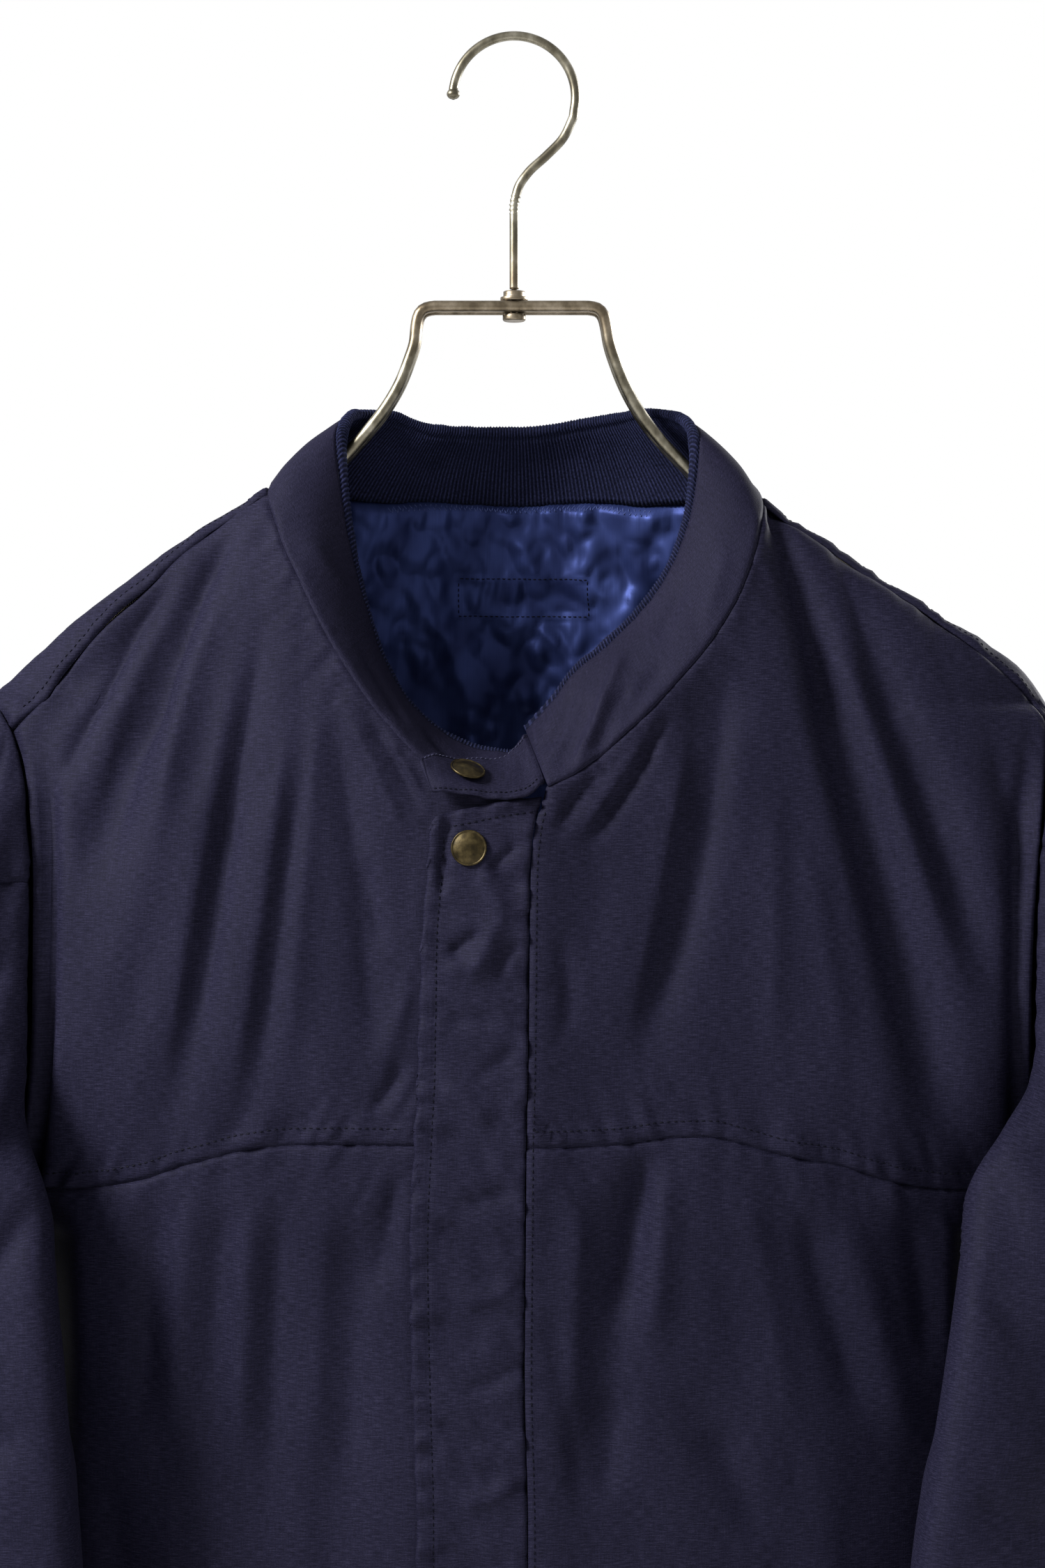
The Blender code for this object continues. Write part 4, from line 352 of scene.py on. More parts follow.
# Smaller creases of both sleeves: turn in degrees and level of three points.
SLEEVE_CREASES = table(
    "x0 z0 x1 z1 x2 z2 high half sharp",
    (70, -310, 82, -350, 100, -400, -1.8, 6, 1.6), (110, -300, 112, -345, 118, -400, 1.5, 7, 1.7),
    (150, -305, 150, -350, 146, -410, -1.6, 7, 1.7), (40, -400, 60, -440, 95, -470, -2.4, 7, 1.5),
    (30, -440, 55, -480, 90, -500, 1.8, 7, 1.6), (25, -500, 55, -535, 100, -545, -2.4, 7, 1.5),
    (120, -480, 100, -520, 70, -560, -2, 7, 1.5), (40, -590, 75, -610, 120, -600, -2.2, 7, 1.5),
    (50, -560, 80, -585, 125, -580, 1.6, 7, 1.6), (130, -640, 95, -660, 50, -650, -2.2, 7, 1.5),
    (120, -700, 85, -690, 40, -710, -2, 7, 1.5), (60, -730, 95, -745, 140, -735, -2, 6, 1.5),
    (150, -560, 155, -620, 150, -690, 1.5, 8, 1.7), (180, -500, 185, -580, 180, -660, -1.6, 9, 1.7),
    (210, -420, 235, -455, 265, -470, -2, 8, 1.6), (220, -520, 250, -545, 285, -540, -2.2, 8, 1.6),
    (290, -590, 260, -615, 225, -610, -2.2, 8, 1.6), (230, -660, 260, -680, 295, -670, -2, 8, 1.6),
    (290, -720, 255, -735, 220, -725, -2, 7, 1.6), (250, -330, 255, -370, 262, -420, -1.6, 7, 1.7),
    (28, -370, 27, -600, 27, -920, 3.2, 12, 1.8))

# Creases of the collar: stations and heights in millimetres along and up its band.
COLLAR_CREASES = table(
    "x0 z0 x1 z1 x2 z2 high half sharp",
    (630, 4, 619, 16, 606, 30, -2.2, 3, 1.5), (622, 3, 607, 13, 592, 24, 1.8, 3, 1.6),
    (613, 2, 599, 9, 582, 18, -2, 3, 1.5), (631, 18, 621, 29, 612, 40, -1.6, 3, 1.6),
    (604, 16, 590, 25, 578, 34, 1.4, 3.5, 1.6), (596, 4, 580, 9, 560, 9, -1.2, 4, 1.7),
    (562, 20, 545, 27, 526, 28, -1, 5, 1.8), (540, 6, 520, 12, 498, 12, 0.8, 5, 1.8),
    (60, 8, 80, 16, 105, 14, -1, 4, 1.7), (120, 24, 140, 15, 160, 8, 0.8, 5, 1.8),
    (20, 10, 36, 18, 54, 20, -1, 4, 1.6), (200, 6, 215, 16, 225, 28, -0.8, 5, 1.8),
    (300, 8, 330, 14, 360, 8, -0.7, 6, 1.8), (430, 20, 450, 12, 470, 6, -0.8, 5, 1.8))

# Pulls and wrinkles of the placket.
PLACKET_CREASES = table(
    "x0 z0 x1 z1 x2 z2 high half sharp",
    (-12, -358, -2, -366, 6, -372, -1.2, 2.5, 1.6), (-16, -362, -8, -372, -2, -386, 0.9, 3, 1.6),
    (-26, -352, -29, -362, -30, -376, -1.2, 2, 1.5), (-24, -340, -28, -350, -31, -366, -0.9, 2, 1.5),
    (2, -352, -4, -357, -10, -362, -1, 2, 1.5), (-28, -399, -18, -391, -10, -388, -1.1, 2.5, 1.6),
    (-30, -406, -20, -402, -6, -400, 0.9, 4, 1.7), (4, -392, -2, -398, -8, -408, -0.9, 3, 1.6),
    (-4, -378, -14, -400, -24, -418, 0.9, 5, 1.7), (-30, -428, -18, -424, -4, -426, -0.9, 4, 1.7),
    (4, -432, -6, -442, -20, -450, -0.9, 4, 1.6), (-32, -452, -20, -458, -8, -470, 0.9, 4, 1.7),
    (-34, -470, -22, -474, -6, -486, -1, 3.5, 1.6), (2, -492, -10, -498, -26, -500, -0.9, 4, 1.6),
    (-34, -508, -22, -514, -8, -526, -1, 3.5, 1.6), (3, -530, -8, -538, -24, -540, 0.9, 4, 1.7),
    (-35, -548, -24, -552, -10, -562, -1, 3.5, 1.6), (2, -566, -10, -574, -26, -578, -0.9, 4, 1.6),
    (-35, -590, -24, -594, -10, -604, -1, 3.5, 1.6), (2, -612, -10, -620, -26, -624, 0.9, 4, 1.7),
    (-34, -640, -22, -646, -8, -658, -1, 3.5, 1.6), (2, -690, -10, -698, -26, -702, -0.9, 4, 1.6),
    (-34, -730, -22, -736, -8, -748, -1, 3.5, 1.6), (2, -790, -10, -798, -26, -802, -0.9, 4, 1.6))

# Pulls of the satin: x and height of three points.
LINING_CREASES = table(
    "x0 z0 x1 z1 x2 z2 high half sharp",
    (-52, -232, -30, -262, 6, -300, -2.4, 6, 1.6), (-40, -226, -18, -250, 10, -280, 2, 5, 1.6),
    (-60, -250, -44, -290, -22, -330, 2.4, 7, 1.6), (-30, -262, -22, -290, -18, -330, -2, 6, 1.6),
    (58, -232, 46, -262, 16, -300, -2.4, 6, 1.6), (70, -236, 60, -270, 30, -320, 2.2, 7, 1.6),
    (8, -250, 24, -266, 46, -276, -1.8, 4, 1.5), (-2, -262, 14, -280, 34, -290, 1.8, 5, 1.6),
    (30, -222, 38, -236, 50, -246, -2, 4, 1.5), (44, -218, 52, -232, 60, -244, 1.8, 4, 1.5),
    (-20, -216, -12, -228, -6, -236, 1.4, 3.5, 1.5), (4, -214, 8, -226, 14, -236, -1.5, 3.5, 1.5),
    (0, -290, 6, -320, 2, -360, 2, 8, 1.7), (20, -300, 28, -330, 30, -370, -2, 7, 1.7))

# Section of a rib band: drop below its seam as a share of its height, and distance outward.
BAND_SECTION = (
    (0, -0.6), (0.013, 0.2), (0.07, 0.75), (0.17, 0.85), (0.33, 0.7), (0.5, 0.6), (0.67, 0.6),
    (0.83, 0.7), (0.93, 0.8), (0.977, 0.7), (0.995, 0.2), (1, -0.8), (0.995, -1.9),
    (0.973, -2.3), (0.83, -2.35), (0.5, -2.35), (0.13, -2.35), (0.007, -2.3))

# Pieces that each row of stitches lies on.
SEWN_ON = {
    "stitch_yoke_right": ("yoke_right",), "stitch_yoke_left": ("yoke_left",),
    "stitch_shoulder_right": ("back",), "stitch_shoulder_left": ("back",),
    "stitch_placket": ("placket",), "stitch_placket_top": ("placket",),
    "stitch_left_front": ("front_left", "yoke_left"),
    "stitch_rectangle": ("back_lining",), "stitch_lining": ("back_lining",),
    "stitch_tab_top": ("collar_tab",), "stitch_tab_low": ("collar_tab",),
}

# Linear colours of the threads.
THREADS = {
    "dark": (0.0022, 0.0022, 0.005), "light": (0.03, 0.03, 0.055), "blue": (0.034, 0.046, 0.12)}

# Rectangles that the woven pieces are cut from, width and length in metres.
CUT = {
    "yoke_right": (0.24, 0.32), "yoke_left": (0.25, 0.32), "front_right": (0.26, 0.37),
    "front_left": (0.26, 0.37), "back": (0.52, 0.68), "sleeve_cap_right": (0.30, 0.11),
    "sleeve_cap_left": (0.26, 0.07), "sleeve_right": (0.40, 0.46), "sleeve_left": (0.40, 0.46),
    "collar": (0.60, 0.06), "collar_tab": (0.06, 0.03), "placket": (0.06, 0.56),
    "back_lining": (0.25, 0.26),
}

# Stage, in metres: name, place, aim, size and power of each light.
LIGHTS = (
    ("key", (-1.22, -0.74, 0.55), (0.0, 0.0, -0.45), 0.45, 96.0),
    ("back", (1.7, 1.2, 0.35), (0.0, 0.0, -0.45), 0.7, 105.0),
)
CAMERA_PLACE = (0.00363, -1.3, -0.3267)
CAMERA_LENS = 68.77
# Linear colours of the woven cloth, from between its threads to their tops.
CLOTH_DARK = (0.0036, 0.0034, 0.0086)
CLOTH_MIDDLE = (0.0058, 0.0054, 0.0130)
CLOTH_LIGHT = (0.0100, 0.0093, 0.0200)
HOOK_CRIMP = (-71.0, -80.0)     # levels between which the hook's wire is crimped
ARM_STEPS = 140                 # places along each of the hanger's arms


def underarm_fill(x, z, face):
    """How far a panel hangs straight over the hollow below the armhole.

    The cloth bridges two levels with a straight line, wherever the body lies deeper than that.
    """
    share = np.clip((BRIDGE_TOP - z) / (BRIDGE_TOP - BRIDGE_LOW), 0, 1)
    top, low, here = (body(x, down(x, level + 0 * z, face))[..., 1] * face
                      for level in (BRIDGE_TOP, BRIDGE_LOW, z))
    over = top + (low - top) * share - here
    soft = (over + np.sqrt(over**2 + BRIDGE_SOFT**2) - BRIDGE_SOFT) / 2
    side = np.abs(x)
    across = ease((side - BRIDGE_INNER[face]) / 45) * ease((BRIDGE_OUTER - side) / 22)
    return soft * across * ease((BRIDGE_TOP - z) / 20)


def smooth(rows, at, name, x):
    """Read the column `name` where the column `at` is x, by a monotone cubic through the rows."""
    order = np.argsort(rows[at])
    xs = rows[at][order]
    ys = rows[name][order]
    step = np.diff(xs)
    slope = np.diff(ys) / step
    lean = np.zeros(len(xs))
    inner = slope[:-1] * slope[1:] > 0
    safe = np.where(inner, slope[:-1] * slope[1:], 1.0)
    weigh = (step[:-1] + step[1:]) * 3
    low = 2 * step[1:] + step[:-1]
    high = step[1:] + 2 * step[:-1]
    blend = low * slope[1:] + high * slope[:-1]
    lean[1:-1] = np.where(inner, weigh * safe / np.where(inner, blend, 1.0), 0.0)
    lean[0] = slope[0]
    lean[-1] = slope[-1]
    x = np.clip(x, xs[0], xs[-1])
    k = np.clip(np.searchsorted(xs, x, side="right") - 1, 0, len(xs) - 2)
    t = (x - xs[k]) / step[k]
    start = ys[k] * (2 * t**3 - 3 * t**2 + 1) + lean[k] * step[k] * (t**3 - 2 * t**2 + t)
    end = ys[k + 1] * (3 * t**2 - 2 * t**3) + lean[k + 1] * step[k] * (t**3 - t**2)
    return start + end


def ease(t):
    """0 to 1 with level ends."""
    t = np.clip(t, 0, 1)
    return t * t * (3 - 2 * t)


def bell(t, power=2):
    """1 at 0, falling to nothing on both sides."""
    return np.exp(-(t**power))


def unit(vectors):
    """Vectors made one long."""
    return vectors / np.maximum(np.linalg.norm(vectors, axis=-1, keepdims=True), 1e-9)


def ridge(x):
    """Height of the shoulder line."""
    return smooth(RIDGE, "x", "z", x)


def edge(x, z, name):
    """A column of the body's edge table, of the side that x is on.

    Below the underarm the back's edge is the front's.
    """
    columns = []
    for side in (-1, 1):
        column = smooth(EDGE[side], "z", name, z)
        if name == "back":
            column = np.where(z < UNDERARM_Z, smooth(EDGE[side], "z", "front", z), column)
        columns.append(column)
    return np.where(x < 0, columns[0], columns[1])


def down(x, z, face):
    """Length of cloth from the shoulder ridge to the height z: negative on the front."""
    drop = np.maximum(ridge(x) - z, 0)
    return face * np.sqrt((drop + RIDGE_ROUND) ** 2 - RIDGE_ROUND**2)


def height(x, w):
    """Height of the cloth w from the ridge."""
    return ridge(x) - np.sqrt(w * w + RIDGE_ROUND**2) + RIDGE_ROUND


def plain_body(x, w):
    """Body's outer point at x, w from the ridge, before folds."""
    x, w = np.broadcast_arrays(np.asarray(x, float), np.asarray(w, float))
    z = height(x, w)
    level = np.maximum(z, HEM_SEAM_Z)
    front = w < 0
    reach = np.where(front, FRONT_REACH, BACK_REACH)
    fall = np.where(front, FRONT_FALL, BACK_FALL)
    size = np.abs(w)
    out = RIDGE_ROUND * np.tanh(size / RIDGE_ROUND) + reach * (1 - np.exp(-size / fall))
    out = np.where(front, -out, out) * smooth(SECTION, "z", "ease", level)
    side = np.clip(np.abs(x) / np.abs(edge(x, level, "x")), 0, 1)
    turned = 1 - side ** smooth(SECTION, "z", "flat", level)
    share = 1 - turned ** (1 / smooth(SECTION, "z", "round", level))
    edge_y = np.where(front, edge(x, level, "front"), edge(x, level, "back"))
    y = out + (edge_y - out) * share
    return np.stack([x, y, z], -1)


def fold_offset(folds, x, z):
    """Sum of a table's folds at (x, z): each is a soft trough or ridge along a bent line."""
    total = np.zeros(np.shape(x))
    for x0, z0, x1, z1, x2, z2, high, half in zip(*folds.values()):
        t = np.clip((z0 - z) / (z0 - z2), 0, 1)
        middle = (z0 - z1) / (z0 - z2)
        bend = (x1 - x0 - (x2 - x0) * middle) / (middle * (middle - 1))
        line = x0 + (x2 - x0) * t + bend * t * (t - 1)
        lean = (x2 - x0) / (z0 - z2)
        away = (x - line) / np.sqrt(1 + lean * lean)
        fade = ease((z0 - z) / FOLD_START) * ease((z - z2) / FOLD_END)
        total += high * fade * bell(away / half)
    return total


def body_offset(x, w):
    """Folds, hem gathers and the rise of the left front to the placket's outer face."""
    z = height(x, w)
    front = w < 0
    to_edge = ease((np.abs(edge(x, z, "x")) - np.abs(x)) / EDGE_FADE)
    folds = np.where(front, fold_offset(FRONT_FOLDS, x, z), fold_offset(BACK_FOLDS, x, z))
    gather = GATHER_HEIGHT * np.sin(2 * np.pi * x / GATHER_PITCH)
    gather = gather * ease((GATHER_TOP_Z - z) / FOLD_END) * ease((z - HEM_SEAM_Z) / EDGE_FADE)
    seam = smooth(PLACKET, "z", "seam", z)
    free = smooth(PLACKET, "z", "edge", z)
    clear = ease(np.maximum(free - x, x - seam) / PLACKET_CLEAR)
    to_edge = to_edge * np.where(front, clear, 1)
    rise = PLACKET_LIFT * (1 - ease((x - seam) / PLACKET_FADE))
    rise = np.where(front & (x > seam - 0.01), rise, 0)
    return (folds + gather) * to_edge + rise


def body(x, w):
    """Body's outer point with its folds."""
    x, w = np.broadcast_arrays(np.asarray(x, float), np.asarray(w, float))
    return plain_body(x, w) + slope_normal(plain_body, x, w) * body_offset(x, w)[..., None]


def slope_normal(surface, x, w):
    """Outward normal of a body surface, from its points a millimetre away."""
    limit = np.abs(edge(x, np.maximum(height(x, w), HEM_SEAM_Z), "x")) * 0.985   # just inside it
    x = np.clip(x, -limit, limit)
    across = surface(x + 1, w) - surface(x - 1, w)
    along = surface(x, w + 1) - surface(x, w - 1)
    return unit(np.cross(across, along))


def body_normal(x, w):
    """Outward normal of the folded body."""
    return slope_normal(body, np.asarray(x, float), np.asarray(w, float))


def sleeve_ring(side, z, turn):
    """Sleeve's outer point: turn 0 is next to the body, a quarter turn the front."""
    rows = SLEEVE[side]
    inner = smooth(rows, "z", "inner", z)
    outer = smooth(rows, "z", "outer", z)
    half = (outer - inner) / 2
    x = (inner + outer) / 2 - half * np.cos(turn)
    swung = -smooth(rows, "z", "swing", z) * np.abs(half) * np.cos(turn)
    y = smooth(rows, "z", "mid", z) - smooth(rows, "z", "deep", z) * np.sin(turn) + swung
    return np.stack(np.broadcast_arrays(x, y, z), -1)


def ring_place(side, point):
    """Turn, and distance as a share of the ring's, of a point near a sleeve's section."""
    rows = SLEEVE[side]
    z = point[..., 2]
    inner = smooth(rows, "z", "inner", z)
    outer = smooth(rows, "z", "outer", z)
    half = (outer - inner) / 2
    cosine = ((inner + outer) / 2 - point[..., 0]) / half
    swung = -smooth(rows, "z", "swing", z) * np.abs(half) * cosine
    sine = (smooth(rows, "z", "mid", z) + swung - point[..., 1]) / smooth(rows, "z", "deep", z)
    return np.arctan2(sine, cosine), np.hypot(sine, cosine)


def edge_point(side, z, face):
    """Point of the body's edge: of the armhole or the side seam."""
    z = np.asarray(z, float)
    name = "front" if face < 0 else "back"
    return np.stack([edge(side, z, "x"), edge(side, z, name), z], -1)


def tip_z(side):
    """Height of the shoulder tip."""
    return EDGE[side]["z"][0]


def sleeve_fold_offset(z, turn):
    """Sum of the sleeve's folds at a level and turn."""
    total = np.zeros(np.shape(z))
    for level, at, slope, long, high, half in zip(*SLEEVE_FOLDS.values()):
        along = (level - z) / long
        line = np.radians(at + slope * along)
        away = (turn - line) * SLEEVE_RADIUS
        fade = ease(1.6 - 3.2 * np.abs(along))
        total += high * fade * bell(away / half)
    return total


def sleeve_span(side, z):
    """Turns at which a sleeve's cloth starts and ends at a level, and how far out its edges are."""
    level = np.maximum(z, UNDERARM_Z)
    start, start_far = ring_place(side, edge_point(side, level, -1))
    end, end_far = ring_place(side, edge_point(side, level, 1))
    end = np.where(z <= UNDERARM_Z + 0.01, start, end) + 2 * np.pi
    return start, end, start_far, end_far


def sleeve(side, z, u):
    """Sleeve's outer point, u from its front edge (0) round the outside to its back edge (1).

    Above the underarm the edges are the armhole, and below it the sleeve's own seam. Next to the
    underarm the cloth runs straight from the edge to the sleeve's inner side.
    """
    z, u = np.broadcast_arrays(np.asarray(z, float), np.asarray(u, float))
    start, end, start_far, end_far = sleeve_span(side, z)
    below = 1 - ease((UNDERARM_Z - z) / FOLD_END)
    start_far = 1 + (start_far - 1) * below
    end_far = 1 + (end_far - 1) * below
    middle = (sleeve_ring(side, z, 0 * u) + sleeve_ring(side, z, 0 * u + np.pi)) / 2

    def stretched(turn):
        """The ring, drawn to the armhole's edges near them."""
        ring = sleeve_ring(side, z, turn)
        pull = (start_far - 1) * (1 - ease((turn - start) / STRETCH_TURN))
        pull = pull + (end_far - 1) * (1 - ease((end - turn) / STRETCH_TURN))
        return ring + (ring - middle) * pull[..., None]

    turn = start + (end - start) * u
    point = stretched(turn)
    corner = stretched(start)
    share = np.clip((turn - start) / np.maximum(FLANK_TURN - start, 0.1), 0, 1)
    flank = corner + (stretched(0 * start + FLANK_TURN) - corner) * share[..., None]
    flat = (share < 1) * (start < FLANK_TURN)
    flat = flat * ease((z - FLANK_END_Z) / FOLD_END) * ease((FLANK_TOP_Z - z) / FOLD_START)
    point = point + (flank - point) * flat[..., None]
    away = np.minimum(turn - start, end - turn) * SLEEVE_RADIUS
    free = ease(away / EDGE_FADE) * ease((z - CUFF_SEAM_Z) / EDGE_FADE)
    free = free * ease((tip_z(side) - z) / FOLD_START)
    return point + unit(point - middle) * (sleeve_fold_offset(z, turn) * free)[..., None]


def run_along(line):
    """Length along a line to each of its points."""
    return np.concatenate([[0], np.cumsum(np.linalg.norm(np.diff(line, axis=0), axis=1))])


def path_share(line):
    """Length along a line to each of its points, as a share of the whole."""
    length = run_along(line)
    return length / length[-1]


def length_of(line):
    """Whole length of a line."""
    return np.sum(np.linalg.norm(np.diff(line, axis=0), axis=1))


def grid_normals(points):
    """Normals of a grid of points."""
    across = np.gradient(points, axis=1)
    up = np.gradient(points, axis=0)
    return unit(np.cross(across, up))


def face_outward(normals, points, middle):
    """Turn a grid's normals away from a middle, as one."""
    facing = np.sum(normals * (points - middle))
    return normals if facing > 0 else -normals


def front_inner_x(side, z):
    """Where a front ends next to the zip: the right under the placket, the left at its seam."""
    seam = smooth(PLACKET, "z", "seam", z)
    return np.where(side < 0, RIGHT_FRONT_EDGE, seam)


def collar_outward(base):
    """Rough outward directions round the neck."""
    return base * (0.3, 1, 0) + (0, 0, 40)


def noise(x, y, seed):
    """Smooth noise from -1 to 1 with one cell to a unit: a fixed hash of each cell's corners."""
    left, low = np.floor(x), np.floor(y)
    across, up = ease(x - left), ease(y - low)

    def corner(i, j):
        """Value of the corner (i, j) steps from the cell's own."""
        value = np.sin((left + i) * 127.1 + (low + j) * 311.7 + seed * 74.7) * 43758.5453
        return (value - np.floor(value)) * 2 - 1

    lower = corner(0, 0) * (1 - across) + corner(1, 0) * across
    upper = corner(0, 1) * (1 - across) + corner(1, 1) * across
    return lower * (1 - up) + upper * up


def near(line, x, y):
    """Distance to a line of points from every (x, y), and the length along it to the foot."""
    spots = np.stack([np.ravel(x), np.ravel(y)], -1)
    steps = np.diff(line, axis=0)
    lengths = np.linalg.norm(steps, axis=1)
    starts = np.concatenate([[0], np.cumsum(lengths)])
    best = np.full(len(spots), 1e9)
    along = np.zeros(len(spots))
    for point, step, length, start in zip(line, steps, lengths, starts):
        share = np.clip((spots - point) @ step / length**2, 0, 1)
        gap = np.linalg.norm(spots - point - share[:, None] * step, axis=1)
        closer = gap < best
        best = np.where(closer, gap, best)
        along = np.where(closer, start + share * length, along)
    return best.reshape(np.shape(x)), along.reshape(np.shape(x))


def bent_line(x0, z0, x1, z1, x2, z2, steps=7):
    """Points of a parabola through three points, the second at its middle."""
    t = np.linspace(0, 1, steps)[:, None]
    first, middle, last = np.array([(x0, z0), (x1, z1), (x2, z2)], float)
    pull = 2 * middle - (first + last) / 2
    return first * (1 - t) ** 2 + pull * 2 * t * (1 - t) + last * t**2


def creases(rows, x, z):
    """Sum of a table's creases: height times a bell of the distance, faded at both ends."""
    total = np.zeros(np.shape(x))
    for x0, z0, x1, z1, x2, z2, high, half, sharp in zip(*rows.values()):
        line = bent_line(x0, z0, x1, z1, x2, z2)
        gap, along = near(line, x, z)
        share = along / length_of(line)
        fade = ease(share / 0.25) * ease((1 - share) / 0.35)
        total += high * fade * bell(gap / half, sharp)
    return total


def crumple(x, y, seed):
    """Uneven soft waves of thin cloth that hangs, longer down than across."""
    soft = noise(x / 26, y / 90, seed) * 0.9 + noise(x / 13, y / 48, seed + 1) * 0.45
    return soft + noise((x + y * 0.3) / 7, (y - x * 0.2) / 22, seed + 2) * 0.16


def resample(line, count):
    """A line's points moved to equal steps of its length."""
    share = path_share(line)
    even = np.linspace(0, 1, count)
    return np.stack([np.interp(even, share, line[:, k]) for k in range(line.shape[1])], -1)


def fill(low, high, first, last):
    """Points inside four edges: the mean of both straight fills less that of the corners."""
    u = np.linspace(0, 1, len(low))[None, :, None]
    v = np.linspace(0, 1, len(first))[:, None, None]
    across = low[None] * (1 - v) + high[None] * v
    up = first[:, None] * (1 - u) + last[:, None] * u
    corners = (low[0] * (1 - u) + low[-1] * u) * (1 - v) + (high[0] * (1 - u) + high[-1] * u) * v
    return across + up - corners


def put(name, data):
    """New object in the scene, at the origin."""
    thing = bpy.data.objects.new(name, data)
    bpy.context.scene.collection.objects.link(thing)
    return thing


def grid_mesh(name, points, coords, material, outward):
    """Object of a grid of points in millimetres; coords are its cloth coordinates.

    outward holds rough outward directions, from which the faces' side is chosen.
    """
    rows, columns = points.shape[:2]
    index = np.arange(rows * columns).reshape(rows, columns)
    quads = np.stack([index[:-1, :-1], index[:-1, 1:], index[1:, 1:], index[1:, :-1]], -1)
    quads = quads.reshape(-1, 4)
    across = points[:-1, 1:] - points[:-1, :-1]
    up = points[1:, :-1] - points[:-1, :-1]
    facing = np.sum(np.cross(across, up) * np.broadcast_to(outward, points.shape)[:-1, :-1])
    if facing < 0:
        quads = quads[:, ::-1]
    mesh = bpy.data.meshes.new(name)
    mesh.from_pydata(points.reshape(-1, 3) * MM, [], quads)
    layer = mesh.uv_layers.new(name="cloth")
    layer.data.foreach_set("uv", (coords.reshape(-1, 2) * MM)[quads.ravel()].ravel())
    mesh.polygons.foreach_set("use_smooth", np.ones(len(quads), bool))
    mesh.materials.append(material)
    mesh.update()
    return put(name, mesh)


def thicken(piece, wall):
    """Give a cloth sheet its wall, on the inner side."""
    solidify = piece.modifiers.new("wall", "SOLIDIFY")
    solidify.thickness = wall * MM
    solidify.offset = -1
    return piece


def seat_on(piece, node):
    """Put a piece in a node's place, on the one body, and hide the node."""
    piece.name = node + LOOK
    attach(piece, "root")
    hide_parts(node)
    return piece


def neck_flat(places):
    """Neck seam as (x, w) at station places, which may lie between stations."""
    rows = {"row": np.arange(len(NECK["base_x"]), dtype=float), "x": NECK["base_x"],
            "w": down(NECK["base_x"], NECK["base_z"], NECK["face"])}
    return np.stack([smooth(rows, "row", "x", places), smooth(rows, "row", "w", places)], -1)


def hole_flat(side, face, z):
    """Armhole or side seam as (x, w) at heights."""
    x = edge(side + 0 * z, z, "x")
    return np.stack([x, down(x, z, face)], -1)


def seam_flat(rows, x):
    """A seam of the fronts as (x, w)."""
    return np.stack([x, down(x, smooth(rows, "x", "z", x), -1)], -1)


def inner_edge(side, z):
    """Edge of a front next to the zip, as (x, w) at heights."""
    x = front_inner_x(side, z)
    return np.stack([x, down(x, z, -1)], -1)


def hem_line(first, last, columns, face):
    """Hem seam between two places across, as (x, w)."""
    x = np.linspace(first, last, columns)
    return np.stack([x, down(x, np.full(columns, HEM_SEAM_Z), face)], -1)


def seam_groove(gap):
    """Cloth that dives into a seam."""
    return -SEAM_DEPTH * bell(gap / SEAM_HALF)


def puckers(gap, along, seed, reach, high):
    """Small waves across a sewn line, which die out away from it."""
    wave = noise(along / PUCKER_PITCH, gap / 18, seed) + 0.6 * noise(along / 3.1, gap / 9, seed + 5)
    return high * wave * bell(gap / reach)


def stitched(gap, along, seed, away):
    """Doubled cloth between a seam and its topstitch, with the groove of the stitches."""
    raised = 0.4 * ease((away + 0.6 - gap) / 1.2) * ease(gap / 1.5)
    groove = -0.42 * bell((gap - away) / 0.8)
    return raised + groove + puckers(gap - away / 2, along, seed, away * 1.3, 1.2) * ease(gap / 2)


def plain_seam(gap, along, seed):
    """Groove and puckers of a seam without a topstitch."""
    return seam_groove(gap) + puckers(gap, along, seed, 7, 0.45) * ease(gap / 2.5)


def keep_inside(flat):
    """Keep a grid of (x, w) inside the body's edge."""
    x, w = flat[..., 0], flat[..., 1]
    limit = np.abs(edge(x, np.maximum(height(x, w), HEM_SEAM_Z), "x"))
    return np.clip(x, -limit, limit), w


def body_panel(name, flat, detail, settings):
    """Panel of the body: its grid of (x, w) on the folded body, moved out by the details."""
    x, w = keep_inside(flat)
    points = body(x, w)
    points[..., 2] = np.maximum(points[..., 2], HEM_SEAM_Z)
    face = 1 if name == "back" else -1
    points[..., 1] += face * underarm_fill(x, height(x, w), face)
    normals = grid_normals(points)
    outward = points * (0.2, 1, 0)
    normals = normals * np.sign(np.sum(normals * outward))
    points = points + normals * detail[..., None]
    piece = grid_mesh(name, points, np.stack([x, points[..., 2]], -1), cloth(name), normals)
    thicken(piece, settings.cloth_wall / MM)
    return seat_on(piece, name)


def front_lines(side):
    """Sewn lines of one front as (x, w): yoke seam, shoulder seam, neck, armhole and side seam."""
    yoke_x = np.linspace(EDGE[side]["x"].min() if side < 0 else 0, 0 if side < 0 else 240, 40)
    rows = SHOULDER_SEAM[side]
    places = np.linspace(0, NECK_FRONT, 40)
    if side > 0:
        places = len(NECK["base_x"]) - 1 - places
    return {
        "yoke": seam_flat(YOKE_SEAM, yoke_x),
        "shoulder": seam_flat(rows, np.linspace(rows["x"][0], rows["x"][-1], 24)),
        "neck": neck_flat(places),
        "hole": hole_flat(side, -1, np.linspace(tip_z(side) - 4, UNDERARM_Z, 40)),
        "side": hole_flat(side, -1, np.linspace(UNDERARM_Z, HEM_SEAM_Z, 24)),
        "hem": np.array([(-260.0, down(0, HEM_SEAM_Z, -1)), (260.0, down(0, HEM_SEAM_Z, -1))]),
    }


